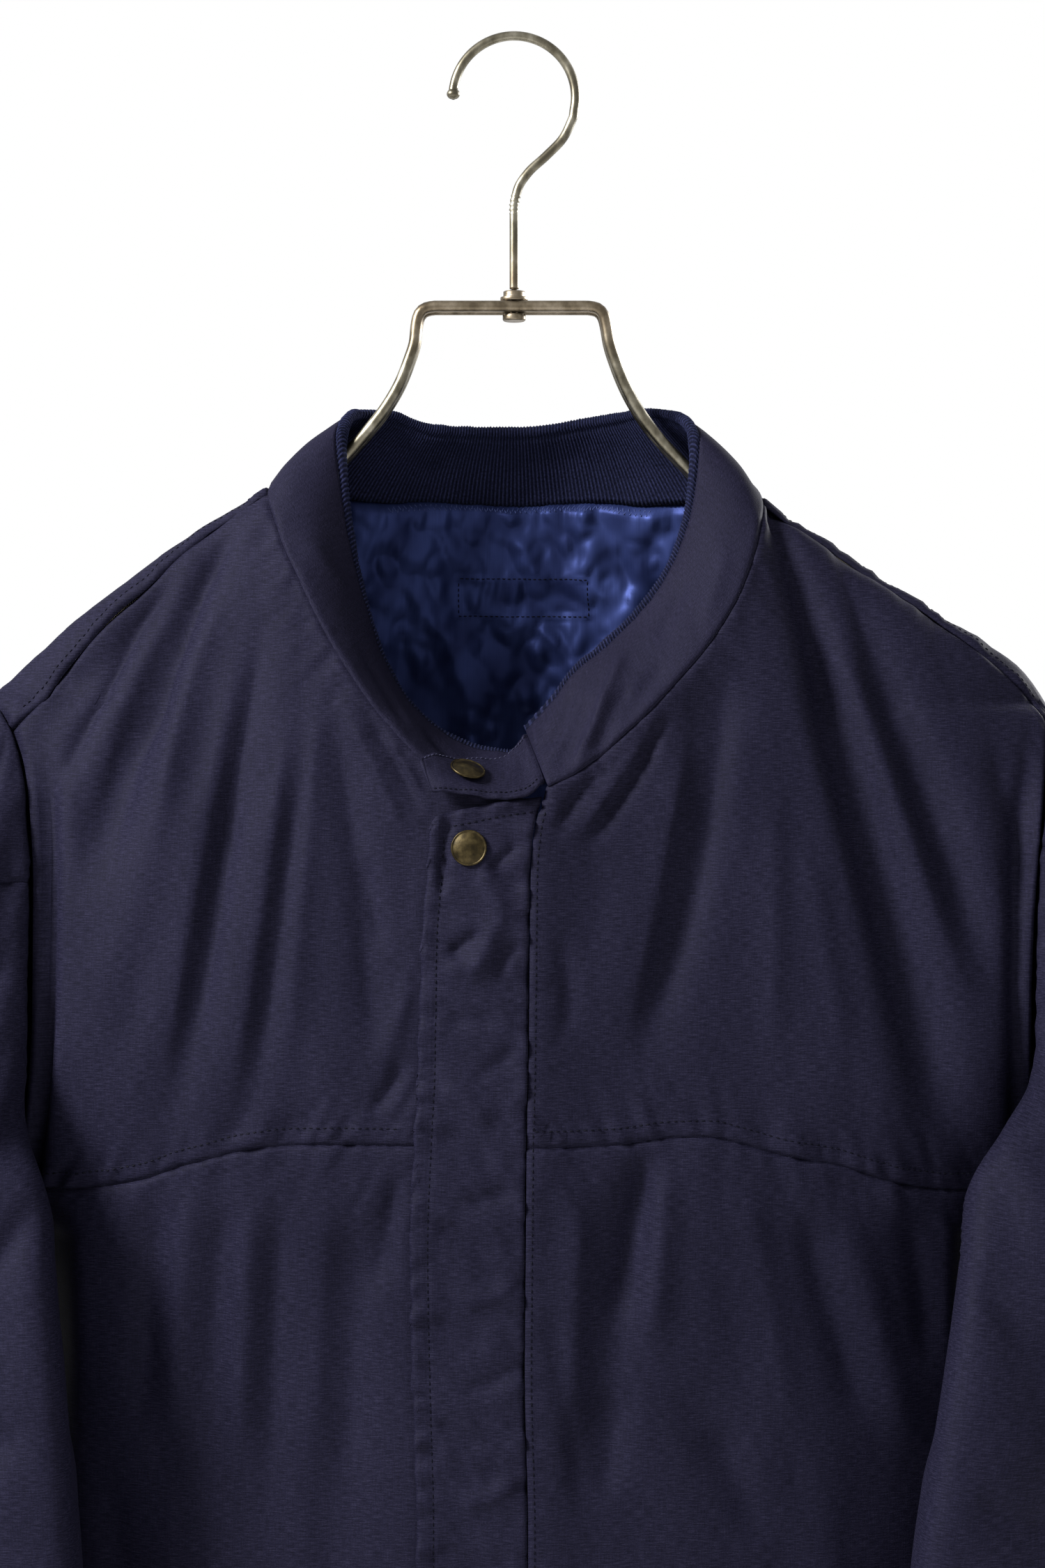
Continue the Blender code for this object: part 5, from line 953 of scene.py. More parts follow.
def front_detail(side, x, w, settings):
    """How far a front's cloth stands off the folded body: creases, seams, stitches, crumple."""
    z = height(x, w)
    lines = front_lines(side)
    gaps = {name: near(line, x, w) for name, line in lines.items()}
    gap, along = gaps["yoke"]
    above = z > smooth(YOKE_SEAM, "x", "z", x)
    total = seam_groove(gap) + np.where(above, stitched(gap, along, 3, YOKE_STITCH), 0)
    total += puckers(gap, along, 4, 20, 0.7)
    gap, along = gaps["shoulder"]
    total += plain_seam(gap, along, 7)
    gap, along = gaps["neck"]
    total += plain_seam(gap, along, 11) + puckers(gap, along, 12, 14, 0.7) * ease(gap / 3)
    gap, along = gaps["hole"]
    total += plain_seam(gap, along, 15)
    gap, along = gaps["side"]
    total += plain_seam(gap, along, 19)
    gap, along = gaps["hem"]
    total += seam_groove(gap) + 1.6 * noise(x / 11, 0 * x, 23) * np.exp(-gap / 30) * ease(gap / 6)
    seam = smooth(PLACKET, "z", "seam", z)
    if side > 0:
        gap = x - seam
        total += -0.35 * bell((gap - PLACKET_SEAM_STITCH) / 0.7)
        total += 0.3 * ease((PLACKET_SEAM_STITCH - gap) / 1.0) + seam_groove(gap) * 0.7
        total += puckers(gap, z, 27, 12, 0.6)
    trough = bell((gaps["hole"][0] - TROUGH_AWAY) / TROUGH_HALF)
    total -= TROUGH_DEPTH[side] * trough * ease((-296 - z) / 50) * ease((z - UNDERARM_Z) / 20)
    free = smooth(PLACKET, "z", "edge", z)
    clear = ease((free - 1 - x) / 8) if side < 0 else ease((x - seam - 2) / 10)
    edges = ease(gaps["hole"][0] / 4) * ease(gaps["side"][0] / 6)
    loose = clear * edges * ease(gaps["neck"][0] / 6)
    total += loose * (CREASE_RISE * creases(FRONT_CREASES, x - CREASE_SHIFT, z)
                      + settings.crumple / MM * crumple(x, w, 31))
    return total


def make_fronts(settings):
    """Yokes and lower fronts, each a fine fill of its four seams on the body's surface."""
    step = settings.cloth_step / MM
    for side, hand in ((-1, "right"), (1, "left")):
        lines = front_lines(side)
        yoke_z = YOKE_SEAM["z"][0]
        start = smooth(EDGE[side], "z", "x", yoke_z)
        end = front_inner_x(side, smooth(YOKE_SEAM, "x", "z", RIGHT_FRONT_EDGE))
        columns = int(abs(end - start) / step) + 1
        across = resample(seam_flat(YOKE_SEAM, np.linspace(start, end, 120)), columns)
        across[0, 1] = down(start, yoke_z, -1)

        # yoke
        levels = ARMHOLE_LEVELS[side]
        first = hole_flat(side, -1, np.linspace(yoke_z, levels[SHOULDER_LEVEL], 80))
        edge_z = np.linspace(smooth(YOKE_SEAM, "x", "z", end), NECK["base_z"][0 if side < 0 else -1], 60)
        front_edge = inner_edge(side, edge_z)
        count = int(length_of(front_edge) / step)
        count_neck = int(length_of(lines["neck"]) / step)
        if side < 0:
            last = resample(front_edge, count)
            high = np.concatenate([lines["shoulder"][::-1], lines["neck"][::-1]])
            high = resample(high, columns)
        else:
            neck = resample(lines["neck"], count_neck)
            last = np.concatenate([resample(front_edge, count)[:-1], neck])
            high = resample(lines["shoulder"][::-1], columns)
        first = resample(first, count + count_neck - 1 if side > 0 else count + 60)
        last = resample(last, len(first))
        high[0], high[-1] = first[-1], last[-1]
        flat = fill(across, high, first, last)
        body_panel("yoke_" + hand, flat, front_detail(side, flat[..., 0], flat[..., 1], settings),
                   settings)

        # lower front
        first = hole_flat(side, -1, np.linspace(HEM_SEAM_Z, yoke_z, 120))
        edge_z = np.linspace(HEM_SEAM_Z, smooth(YOKE_SEAM, "x", "z", end), 60)
        last = inner_edge(side, edge_z)
        rows = int(length_of(last) / step)
        low = hem_line(first[0, 0], last[0, 0], columns, -1)
        flat = fill(low, across, resample(first, rows), resample(last, rows))
        body_panel("front_" + hand, flat, front_detail(side, flat[..., 0], flat[..., 1], settings),
                   settings)


def back_side(side):
    """One side of the back as (x, w): side seam, armhole, over the tip to the forward seam."""
    up = hole_flat(side, 1, np.linspace(HEM_SEAM_Z, ARMHOLE_LEVELS[side][0], 160))
    tip = np.array([[EDGE[side]["x"][0], 0.0]])
    levels = ARMHOLE_LEVELS[side]
    forward = hole_flat(side, -1, np.linspace(levels[0], levels[SHOULDER_LEVEL], 8))
    return np.concatenate([up, tip, forward])


def make_back(settings):
    """Back with its strip over the shoulders, a fine fill of its seams on the body's surface."""
    step = settings.cloth_step / MM * 1.5
    sides = {side: back_side(side) for side in (-1, 1)}
    high = []
    for side in (-1, 1):
        rows = SHOULDER_SEAM[side]
        high.append(seam_flat(rows, np.linspace(rows["x"][-1], rows["x"][0], 40)))
    nape = neck_flat(np.linspace(NECK_FRONT, NECK_FRONT + NECK_BACK, 60))
    high = np.concatenate([high[0], nape[1:-1], high[1][::-1]])
    columns = int(length_of(high) / step)
    rows = int(length_of(sides[-1]) / step)
    first, last = resample(sides[-1], rows), resample(sides[1], rows)
    high = resample(high, columns)
    high[0], high[-1] = first[-1], last[-1]
    low = hem_line(first[0, 0], last[0, 0], columns, 1)
    flat = fill(low, high, first, last)
    x, w = flat[..., 0], flat[..., 1]
    z = height(x, w)
    total = np.zeros(x.shape)
    loose = np.ones(x.shape)
    for side in (-1, 1):
        gap, along = near(sides[side][::4], x, w)
        total += plain_seam(gap, along, 41)
        loose *= ease(gap / 6)
        seam = seam_flat(SHOULDER_SEAM[side], np.linspace(*SHOULDER_SEAM[side]["x"][[0, -1]], 24))
        gap, along = near(seam, x, w)
        total += seam_groove(gap) + stitched(gap, along, 43, SHOULDER_STITCH)
        total += puckers(gap, along, 44, 20, 0.45)
    gap, along = near(nape, x, w)
    total += plain_seam(gap, along, 47)
    loose *= ease(gap / 6)
    hem_gap = np.abs(w - down(0, HEM_SEAM_Z, 1))
    total += seam_groove(hem_gap)
    total += 1.6 * noise(x / 11, 0 * x, 49) * np.exp(-hem_gap / 30) * ease(hem_gap / 6)
    behind = ease(w / 20)
    folds = CREASE_RISE * creases(BACK_CREASES, x, z) * behind
    folds = folds + settings.crumple / MM * crumple(x, w, 51)
    body_panel("back", flat, total + loose * folds, settings)


def sleeve_panel(side, name, z, u, points, settings):
    """Sleeve panel on its ring surface, with creases, puckers at the armhole and crumple."""
    start, end = sleeve_span(side, z)[:2]
    turn = start + (end - start) * u
    around = turn * SLEEVE_RADIUS
    gap = np.minimum(u, 1 - u) * (end - start) * SLEEVE_RADIUS
    free = ease(gap / 8)
    panel_seam = ARMHOLE_LEVELS[side][CAP_LEVEL]
    total = plain_seam(gap, z, 61 + side) + seam_groove(z - panel_seam)
    total += puckers(z - panel_seam, around, 63, 10, 0.35)
    total += np.where(z > UNDERARM_Z, puckers(gap, z, 65, 22, 0.6), 0)
    cuff_gap = z - CUFF_SEAM_Z
    total += seam_groove(cuff_gap)
    total += 2.0 * noise(around / 10, 0 * z, 67) * np.exp(-cuff_gap / 26) * ease(cuff_gap / 6)
    lines = dict(SLEEVE_CREASES)
    for column in ("x0", "x1", "x2"):
        lines[column] = np.radians(lines[column]) * SLEEVE_RADIUS
    shift = 12.0 * side     # the two sleeves don't crease alike
    total += CREASE_RISE * free * creases(lines, around, z + shift) * ease(cuff_gap / 30)
    total += free * settings.crumple / MM * crumple(around, z, 71 + side) * ease(cuff_gap / 20)
    normals = grid_normals(points)
    middle = np.mean(points, axis=1, keepdims=True)
    normals = face_outward(normals, points, middle)
    points = points + normals * total[..., None]
    piece = grid_mesh(name, points, np.stack([around, z], -1), cloth(name), normals)
    thicken(piece, settings.cloth_wall / MM)
    return seat_on(piece, name)


def make_sleeves(settings):
    """Sleeve caps and sleeves: ellipse-like rings whose edges run into the armhole."""
    step = settings.cloth_step / MM * 1.2
    columns = int(2 * np.pi * SLEEVE_RADIUS / step)
    u = np.linspace(0, 1, columns)[None]
    for side, hand in ((-1, "right"), (1, "left")):
        levels = ARMHOLE_LEVELS[side]
        z = np.linspace(levels[0], levels[CAP_LEVEL], int((levels[0] - levels[CAP_LEVEL]) / step))
        z = z[:, None] + 0 * u
        points = sleeve(side, z, u)
        foot = edge_point(side, levels[0], -1), edge_point(side, levels[0], 1)
        tip = np.array([EDGE[side]["x"][0], 0.0, tip_z(side)])
        arch = np.stack([np.interp(u[0] * 2, [0, 1, 2], column)
                         for column in zip(foot[0], tip, foot[1])], -1)
        share = ease((levels[0] - z) / (levels[0] - levels[2]))[..., None]
        points = arch[None] * (1 - share) + points * share
        sleeve_panel(side, "sleeve_cap_" + hand, z, u + 0 * z, points, settings)
        z = np.linspace(levels[CAP_LEVEL], CUFF_SEAM_Z, int((levels[CAP_LEVEL] - CUFF_SEAM_Z) / step))
        z = z[:, None] + 0 * u
        sleeve_panel(side, "sleeve_" + hand, z, u + 0 * z, sleeve(side, z, u), settings)


def ribbed(name, ring, tall, pitch, draw=1.0, straight=0.0):
    """Rib knit band hung from a ring of points, as one closed wall.

    Its section is a soft rectangle that bulges between seam and edge; its outer and lower faces
    carry ridges that run down, one to each pitch. draw is the lower edge's share of the seam's
    size, apart from x within straight of the middle.
    """
    along = run_along(ring)
    even = np.linspace(0, along[-1], int(along[-1] / pitch * 5))
    ring = np.stack([np.interp(even, along, ring[:, k]) for k in range(3)], -1)
    out = unit(np.cross(np.gradient(ring, axis=0), (0, 0, 1)))
    out = out * np.sign(np.sum(out * (ring - np.mean(ring, axis=0))))
    wave = np.cos(even / pitch * 2 * np.pi)
    is_open = np.linalg.norm(ring[0] - ring[-1]) > 1
    from_end = np.minimum(even, even[-1] - even) if is_open else np.full(len(even), 9.0)
    full = np.sqrt(np.clip(1 - (1 - from_end / 1.2) ** 2, 0, 1)) * (from_end < 1.2) + (from_end >= 1.2)
    points = []
    for drop, off in BAND_SECTION:
        ridge_here = 0.42 * wave * (off > -2)
        wobble = 0.5 * noise(even / 38, drop * 2 + 0 * even, 81) * ease(drop * 5)
        offset = -1.2 + (off + 1.2 + ridge_here) * full + wobble
        size = 1 + (draw - 1) * ease(drop)
        place = ring * (size, size, 1)
        place[:, 0] = np.where(np.abs(ring[:, 0]) < straight, ring[:, 0], place[:, 0])
        points.append(place + offset[:, None] * out - np.array([0, 0, 1]) * (drop * tall))
    points = np.array(points + points[:1])
    falls = np.array([drop for drop, off in BAND_SECTION] + [0]) * tall
    coords = np.stack(np.broadcast_arrays(even[None], falls[:, None]), -1)
    middle = np.mean(points, axis=0)
    piece = grid_mesh(name, points, coords, knit(name, pitch), points - middle)
    return seat_on(piece, name)


def make_knits(settings):
    """Rib cuffs and hem band."""
    pitch = settings.rib_pitch / MM * 1.6
    turn = np.linspace(0, 2 * np.pi, 200)
    for side, hand in ((-1, "right"), (1, "left")):
        ring = sleeve_ring(side, CUFF_SEAM_Z + 0 * turn, turn)
        ring[:, 2] -= SEAM
        ribbed("cuff_" + hand, ring, CUFF_LENGTH, pitch)
    bent = np.sin(np.linspace(0, np.pi / 2, 80))
    right_edge, left_edge = edge(-1.0, HEM_SEAM_Z, "x"), edge(1.0, HEM_SEAM_Z, "x")
    left_start = smooth(PLACKET, "z", "seam", HEM_SEAM_Z) + SEAM
    x = np.concatenate([
        RIGHT_FRONT_EDGE + (right_edge - RIGHT_FRONT_EDGE) * bent[:-1],
        right_edge * bent[::-1][:-1],
        left_edge * bent[:-1],
        left_start + (left_edge - left_start) * bent[::-1]])
    face = np.repeat([-1.0, 1.0, -1.0], [79, 158, 80])
    ring = body(x, down(x, np.full(len(x), HEM_SEAM_Z), face))
    ring[:, 2] = HEM_SEAM_Z - SEAM
    ribbed("hem_band", ring, HEM_BAND, pitch, HEM_DRAW[-1], HEM_STRAIGHT)


def collar_frame(places):
    """Collar at station places: base points, top points, outward directions and flatness."""
    rows = {"row": np.arange(len(NECK["base_x"]), dtype=float), **NECK}
    flat = neck_flat(places)
    base = body(flat[:, 0], flat[:, 1])
    top = np.stack([smooth(rows, "row", "top_" + k, places) for k in "xyz"], -1)
    middle = unit(np.cross(np.gradient(base, axis=0), top - base))
    middle = middle * np.sign(np.sum(middle * collar_outward(base), -1, keepdims=True))
    return base, top, middle, ease((places - 1) / 2)


def collar_points(places, rise):
    """Collar's outer points: base 0 to top 1 in a shallow arc."""
    base, top, out, round_share = collar_frame(places)
    bow = COLLAR_BOW * 4 * rise * (1 - rise) * round_share
    return base + (top - base) * rise + out * bow[:, None], out


def make_collar(settings):
    """Stand collar: its outer cloth, and the rib knit inside that rolls over the top edge."""
    step = settings.cloth_step / MM
    stations = len(NECK["base_x"]) - 1
    fine = np.linspace(0, stations, 1200)
    base = collar_frame(fine)[0]
    share = path_share(base)
    length = length_of(base)

    # outer cloth
    places = np.interp(np.linspace(0, 1, int(length / step * 1.2)), share, fine)
    rises = np.linspace(0, 1, 26)
    points = np.stack([collar_points(places, rise)[0] for rise in rises])
    out = collar_points(places, 0)[1]
    along = np.linspace(0, length, len(places))[None] + 0 * rises[:, None]
    tall = np.linalg.norm(points[-1] - points[0], axis=-1)
    up = rises[:, None] * tall[None]
    total = plain_seam(up, along, 91) + 1.6 * creases(COLLAR_CREASES, along, up) + 0.4
    total += 0.35 * noise(along / 14, up / 12, 93) * ease(up / 5)
    total += 0.25 * puckers(tall[None] - up, along, 95, 5, 1.0)
    total = np.clip(total, -1.0, 3.5)     # clear of the rib knit inside
    points = points + out[None] * total[..., None]
    piece = grid_mesh("collar", points, np.stack([along, up], -1), cloth("collar", 0.5), out)
    thicken(piece, settings.cloth_wall / MM)
    seat_on(piece, "collar")

    # rib knit
    pitch = settings.rib_pitch / MM
    count = int(length / pitch * 4)
    places = np.interp(np.linspace(0, 1, count), share, fine)
    base, top, out, flat_end = collar_frame(places)
    along = np.linspace(0, length, count)
    wave = np.cos(along / pitch * 2 * np.pi)
    tall = np.linalg.norm(top - base, axis=-1)
    up_way = unit(top - base)
    bow = COLLAR_BOW * 4 * flat_end
    inside = WALL + SEAM
    profile = [(rise * tall, bow * rise * (1 - rise) - inside, 0, 0) for rise in (0.1, 0.35, 0.6, 0.85)]
    for turn in np.radians(np.linspace(-50, 230, 15)):
        profile.append((tall + ROLL_RISE + ROLL_RADIUS * np.sin(turn),
                        ROLL_DEPTH + ROLL_RADIUS * np.cos(turn) + 0 * tall, np.sin(turn), np.cos(turn)))
    for rise in (0.95, 0.8, 0.65, 0.5, 0.35, 0.2, 0.1, 0.03):
        profile.append((rise * tall, bow * rise * (1 - rise) - inside - RIB_WALL, 0, -1))
    points = []
    for high, off, lift, push in profile:
        ribs = 0.28 * wave + 0.3 * noise(along / 9, high / 6, 97) + 0.12 * noise(along / 1.1, high / 1.3, 98)
        points.append(base + up_way * (high + ribs * lift)[:, None] + out * (off + ribs * push)[:, None])
    points = np.array(points + points[:1])
    lengths = run_along(points[:, 0])
    coords = np.stack(np.broadcast_arrays(along[None], lengths[:, None]), -1).astype(float)
    piece = grid_mesh("collar_rib", points, coords, knit("collar_rib", pitch),
                      points - np.mean(points, axis=0))
    seat_on(piece, "collar_rib")


def tab_points(along, rise):
    """Tab's outer points: a parabola through its lower, middle and upper edge at each place."""
    rows = dict(TAB, row=np.linspace(0, 1, len(TAB["low_x"])))
    last = float(len(NECK["base_x"]) - 1)
    ends = np.array([last - 0.01, last])
    for level, name in zip((0.07, 0.5, 1), ("low", "mid", "high")):
        end = collar_points(ends, level)[0][-1]
        for axis, value in zip("xyz", end):
            rows[name + "_" + axis] = np.append(value, rows[name + "_" + axis][1:])
    low, mid, high = (np.stack([smooth(rows, "row", name + "_" + k, along) for k in "xyz"], -1)
                      for name in ("low", "mid", "high"))
    rise = rise[..., None]
    return (low * (1 - rise) * (1 - 2 * rise) + mid * 4 * rise * (1 - rise)
            + high * rise * (2 * rise - 1))


def make_tab(settings):
    """Collar tab: a small strap with rounded corners and a doubled, stitched edge."""
    along, rise = np.meshgrid(np.linspace(0, 1, 90), np.linspace(0, 1, 44))
    corner = TAB_CORNER * np.abs(2 * rise - 1) ** 6
    along = along * (1 - corner * along)
    points = tab_points(along, rise)
    normals = grid_normals(points)
    normals = normals * np.sign(np.sum(normals * TAB_FACING))
    far = 1 - along
    tall, wide = TAB_SIZE
    edge_gap = np.minimum(np.minimum(rise, 1 - rise) * tall, far * wide)
    total = -1.0 * bell(edge_gap / 0.8) - 0.3 * bell((edge_gap - 2.2) / 0.6)
    total += 0.35 * noise(along * wide / 7, rise * tall / 6, 101) * ease(edge_gap / 2)
    total += puckers(edge_gap, along * wide, 103, 4, 0.6)
    total += -0.9 * bell(along * wide / 1.6)
    points = points + normals * total[..., None]
    coords = np.stack([along * wide, rise * tall], -1)
    piece = grid_mesh("collar_tab", points, coords, cloth("collar_tab", 0.5), normals)
    thicken(piece, settings.cloth_wall / MM * 1.3)
    return seat_on(piece, "collar_tab")


def make_placket(settings):
    """Fly placket: a strip on the body's surface with a rounded corner and puckered edge."""
    top_x = np.linspace(PLACKET_TOP["x"][0], PLACKET_TOP["x"][-1], 40)
    top_z = smooth(PLACKET_TOP, "x", "z", top_x)
    rows = int((top_z[0] - HEM_SEAM_Z + HEM_BAND) / settings.cloth_step * MM / 0.8)
    fall = np.linspace(0, 1, rows)[:, None]
    z = top_z[None] + (HEM_SEAM_Z - HEM_BAND - top_z[None]) * fall
    seam = smooth(PLACKET, "z", "seam", z) - 0.4
    free = smooth(PLACKET, "z", "edge", z)
    wave = 0.45 * noise(z / 9, 0 * z, 111) + 0.3 * noise(z / 4.3, 0 * z, 112)
    share = np.linspace(0, 1, 40)[None]
    x = free + (seam - free) * share + wave * (1 - share) ** 3
    w = down(x, np.maximum(z, HEM_SEAM_Z), -1)
    normals = slope_normal(plain_body, x, w)
    points = plain_body(x, w) + normals * PLACKET_LIFT
    points[..., 2] = np.where(z < HEM_SEAM_Z, z, points[..., 2])
    gap = x - free
    top_gap = smooth(PLACKET_TOP, "x", "z", x) - z
    stitch_at = PLACKET_STITCH + 1.2 * ease((-350 - z) / 120)
    edge_gap = np.minimum(gap, top_gap)
    total = -1.1 * bell(edge_gap / 0.9)
    total += -0.45 * bell((edge_gap - stitch_at) / 0.7)
    total += puckers(edge_gap, np.where(gap < top_gap, z, x), 113, 8, 1.9)
    total += 2.2 * creases(PLACKET_CREASES, x, z) * ease((edge_gap - 1) / 4) * ease((seam - x) / 3)
    total += 0.8 * noise((x + z) / 7, (z - x) / 14, 115) + seam_groove(seam - x)
    total += puckers(seam - x, z, 117, 6, 1.2)
    snap = np.hypot(x - PLACKET_SNAP[0], z - PLACKET_SNAP[1])
    total = total * (1 - 0.8 * bell(snap / 7)) - 0.7 * bell(snap / 7, 4)
    points = points + normals * total[..., None]
    piece = grid_mesh("placket", points, np.stack([x, z], -1), cloth("placket"), normals)
    thicken(piece, settings.cloth_wall / MM * 1.3)
    return seat_on(piece, "placket")


def make_lining():
    """Satin lining of the upper back, with the puckers below its neck seam."""
    x = np.linspace(-LINING_HALF, LINING_HALF, 150)
    nape = neck_flat(np.linspace(NECK_FRONT + 1, NECK_FRONT + NECK_BACK - 1, 60))
    top_w = np.maximum(np.interp(x, nape[:, 0], nape[:, 1]) - 1.0, LINING_RIDGE - 10)
    low_w = down(x, np.full(len(x), LINING_END_Z), 1)
    share = np.linspace(0, 1, 150)[:, None]
    w = top_w + (low_w - top_w) * share
    x = x[None] + 0 * w
    points = body(x, w)
    normals = grid_normals(points)
    normals = normals * np.sign(np.sum(normals * (0, 1, 0)))
    gap = w - top_w
    z = points[..., 2]
    total = 1.5 * noise(x / 5.5, gap / 30, 121) * np.exp(-gap / 16) * ease(gap / 2)
    total += 1.3 * noise(x / 3.0 + gap / 60, gap / 24, 129) * np.exp(-gap / 13) * ease(gap / 2)
    total += 1.7 * creases(LINING_CREASES, x, z) + 1.0 * crumple(x, w, 123)
    total += 1.6 * (0.5 - 2 * np.abs(noise(x / 11 + z / 30, z / 17 - x / 40, 125)))
    total += 0.9 * (0.5 - 2 * np.abs(noise(x / 6 - z / 22, z / 9 + x / 21, 133)))
    frame_gap = np.full(x.shape, 99.0)
    for line in STITCHED_FRAME:
        away, along = near(np.array(line, float), x, z)
        total += 1.0 * noise(along / 3.2, away / 9, 127) * bell(away / 5) * ease(away / 1.5)
        frame_gap = np.minimum(frame_gap, away)
    total -= 0.6 * bell(frame_gap / 0.9)
    inset = LINING_LOOSE - LINING_SEATED * bell(gap / 2.2)
    inset += LINING_TUCK * ease((np.abs(x) - LINING_SEEN) / 22)
    spare = 2.6 - total     # how far the cloth is from its highest place, before it is rounded off
    total = np.maximum(0.6 - (spare + np.sqrt(spare**2 + 0.6)) / 2, -6) * ease(gap / 3.5)
    points = points - normals * (inset - total)[..., None]
    piece = grid_mesh("back_lining", points, np.stack([x, w], -1), satin("back_lining"), -normals)
    thicken(piece, SATIN_WALL)
    return seat_on(piece, "back_lining")


def swept(name, path, radii, ups, sides, material, closed):
    """Round rod: at each place of the path, a circle across it whose frame keeps to ups."""
    if closed:
        along = unit(np.roll(path, -1, axis=0) - np.roll(path, 1, axis=0))
    else:
        along = unit(np.gradient(path, axis=0))
    ups = unit(ups - along * np.sum(ups * along, -1, keepdims=True))
    sideways = np.cross(along, ups)
    if closed:
        path, radii, ups, sideways = (np.concatenate([a, a[:1]]) for a in (path, radii, ups, sideways))
    turn = np.linspace(0, 2 * np.pi, sides + 1)
    circle = np.cos(turn)[None, :, None] * ups[:, None] + np.sin(turn)[None, :, None] * sideways[:, None]
    points = path[:, None] + circle * radii[:, None, None]
    lengths = run_along(path)
    coords = np.stack(np.broadcast_arrays(lengths[:, None], (turn * WIRE_RADIUS)[None]), -1)
    return grid_mesh(name, points, coords, material, circle)


def lathed(name, middle, axis, profile, sides, material):
    """Round piece: rows of (height, radius) turned about an axis."""
    axis = unit(np.asarray(axis, float))
    first = unit(np.cross(axis, (0.3, 0.1, 1.0)))
    second = np.cross(axis, first)
    turn = np.linspace(0, 2 * np.pi, sides + 1)
    circle = np.cos(turn)[:, None] * first + np.sin(turn)[:, None] * second
    rises, radii = np.array(profile, float).T
    points = middle + axis * rises[:, None, None] + circle[None] * radii[:, None, None]
    coords = np.stack(np.broadcast_arrays((turn * 8)[None], radii[:, None]), -1)
    centre = np.mean(points, axis=(0, 1))
    return grid_mesh(name, points, coords, material, points - centre)


def rounded(line, steps):
    """A smooth line through rows of a table's columns, by their length: monotone in each."""
    share = path_share(line)
    rows = {"at": share, **{str(k): line[:, k] for k in range(line.shape[1])}}
    even = np.linspace(0, 1, steps)
    return np.stack([smooth(rows, "at", str(k), even) for k in range(line.shape[1])], -1)


def make_frame():
    """Hanger frame: one closed loop of wire, out along the front run and back along the rear."""
    path, ups = [], []
    for side in (-1, 1):
        arm = HANGER_ARM[side]
        line = rounded(np.stack([arm["x"], arm["back"], arm["z"], arm["gap"]], -1), ARM_STEPS)
        gap = np.zeros((len(line), 3))
        gap[:, 1] = line[:, 3]
        line = line[:, :3]
        lean = unit(np.gradient(line, axis=0))
        up = np.stack([-lean[:, 2], 0 * lean[:, 0], lean[:, 0]], -1) * side
        ahead, behind = line - gap, line + gap
        out, home = (ahead, behind) if side < 0 else (behind, ahead)
        path += list(out[1:]) + list(home[:0:-1])
        ups += list(up[1:]) + list(up[:0:-1])
    path = np.array(path)
    radii = np.full(len(path), WIRE_RADIUS)
    piece = swept("hanger_frame", path, radii, np.array(ups), 16, aged_nickel("hanger_frame"), True)
    return seat_on(piece, "hanger_frame")


def make_hook():
    """Hook with its ball end, crimped where it enters the hub."""
    middle_x, middle_z, radius = HOOK_CIRCLE
    angles = np.radians(np.linspace(*HOOK_SWEEP, 60))
    circle = np.stack([middle_x + radius * np.cos(angles), 0 * angles,
                       middle_z + radius * np.sin(angles)], -1)
    neck = rounded(np.stack([HOOK_NECK["x"], 0 * HOOK_NECK["x"], HOOK_NECK["z"]], -1), 120)
    ball_drop = np.linspace(4.2, 0.2, 12)
    ball_radius = np.sqrt(np.clip(2.9**2 - (ball_drop - 1.9) ** 2 * 1.5, 0.02, None))
    ball = circle[:1] - ball_drop[:, None] * (0, 0, 1)
    path = np.concatenate([ball, circle, neck[1:]])
    radii = np.concatenate([ball_radius, np.full(len(path) - len(ball), HOOK_RADIUS)])
    z = path[:, 2]
    crimped = ease((HOOK_CRIMP[0] - z) / 2) * ease((z - HOOK_CRIMP[1]) / 2)
    radii += 0.32 * crimped * np.sin(z * 2 * np.pi / 1.9)
    radii[-1] = 0.05
    ups = np.tile((0.0, 1.0, 0.0), (len(path), 1))
    piece = swept("hanger_hook", path, radii, ups, 20, aged_nickel("hanger_hook"), False)
    return seat_on(piece, "hanger_hook")


def make_hub():
    """Hub: washers and pin with softened edges."""
    soft = []
    for (low, r0), (high, r1) in zip(HUB_PROFILE, HUB_PROFILE[1:]):
        for share in (0.06, 0.5, 0.94):
            soft.append((low + (high - low) * share, max(r0 + (r1 - r0) * share, 0.01)))
    piece = lathed("hanger_hub", np.zeros(3), (0, 0, 1), soft, 40, aged_nickel("hanger_hub"))
    return seat_on(piece, "hanger_hub")


def make_snap(name, middle, axis, settings):
    """Snap cap: a dome inside a thin rolled rim."""
    radius = settings.snap_diameter / MM / 2
    dome = [(2.15 - 1.35 * (r / 0.86) ** 2.2, radius * r) for r in np.linspace(0.86, 0.001, 12)]
    rim = [(0.0, radius * 0.9), (0.1, radius * 0.985), (0.5, radius), (0.95, radius * 0.985),
           (1.1, radius * 0.95), (0.95, radius * 0.905), (0.75, radius * 0.88)]
    piece = lathed(name, middle, axis, rim + dome, 48, aged_brass(name))
    return seat_on(piece, name)


def make_snaps(settings):
    """Both snap caps, where the model has them."""
    x, z = PLACKET_SNAP
    w = down(x, z, -1)
    axis = slope_normal(plain_body, np.array(x), w)
    make_snap("placket_snap", plain_body(x, w) + axis * (PLACKET_LIFT + SEAM), axis, settings)
    along, rise = TAB_SNAP
    spots = tab_points(np.array([along, along + 0.05, along - 0.05, along]),
                       np.array([rise, rise, rise, rise + 0.05]))
    axis = unit(np.cross(spots[1] - spots[2], spots[3] - spots[0]))
    axis = axis * np.sign(axis @ TAB_FACING)
    make_snap("tab_snap", spots[0] + axis * TAB_SNAP_LIFT, axis, settings)


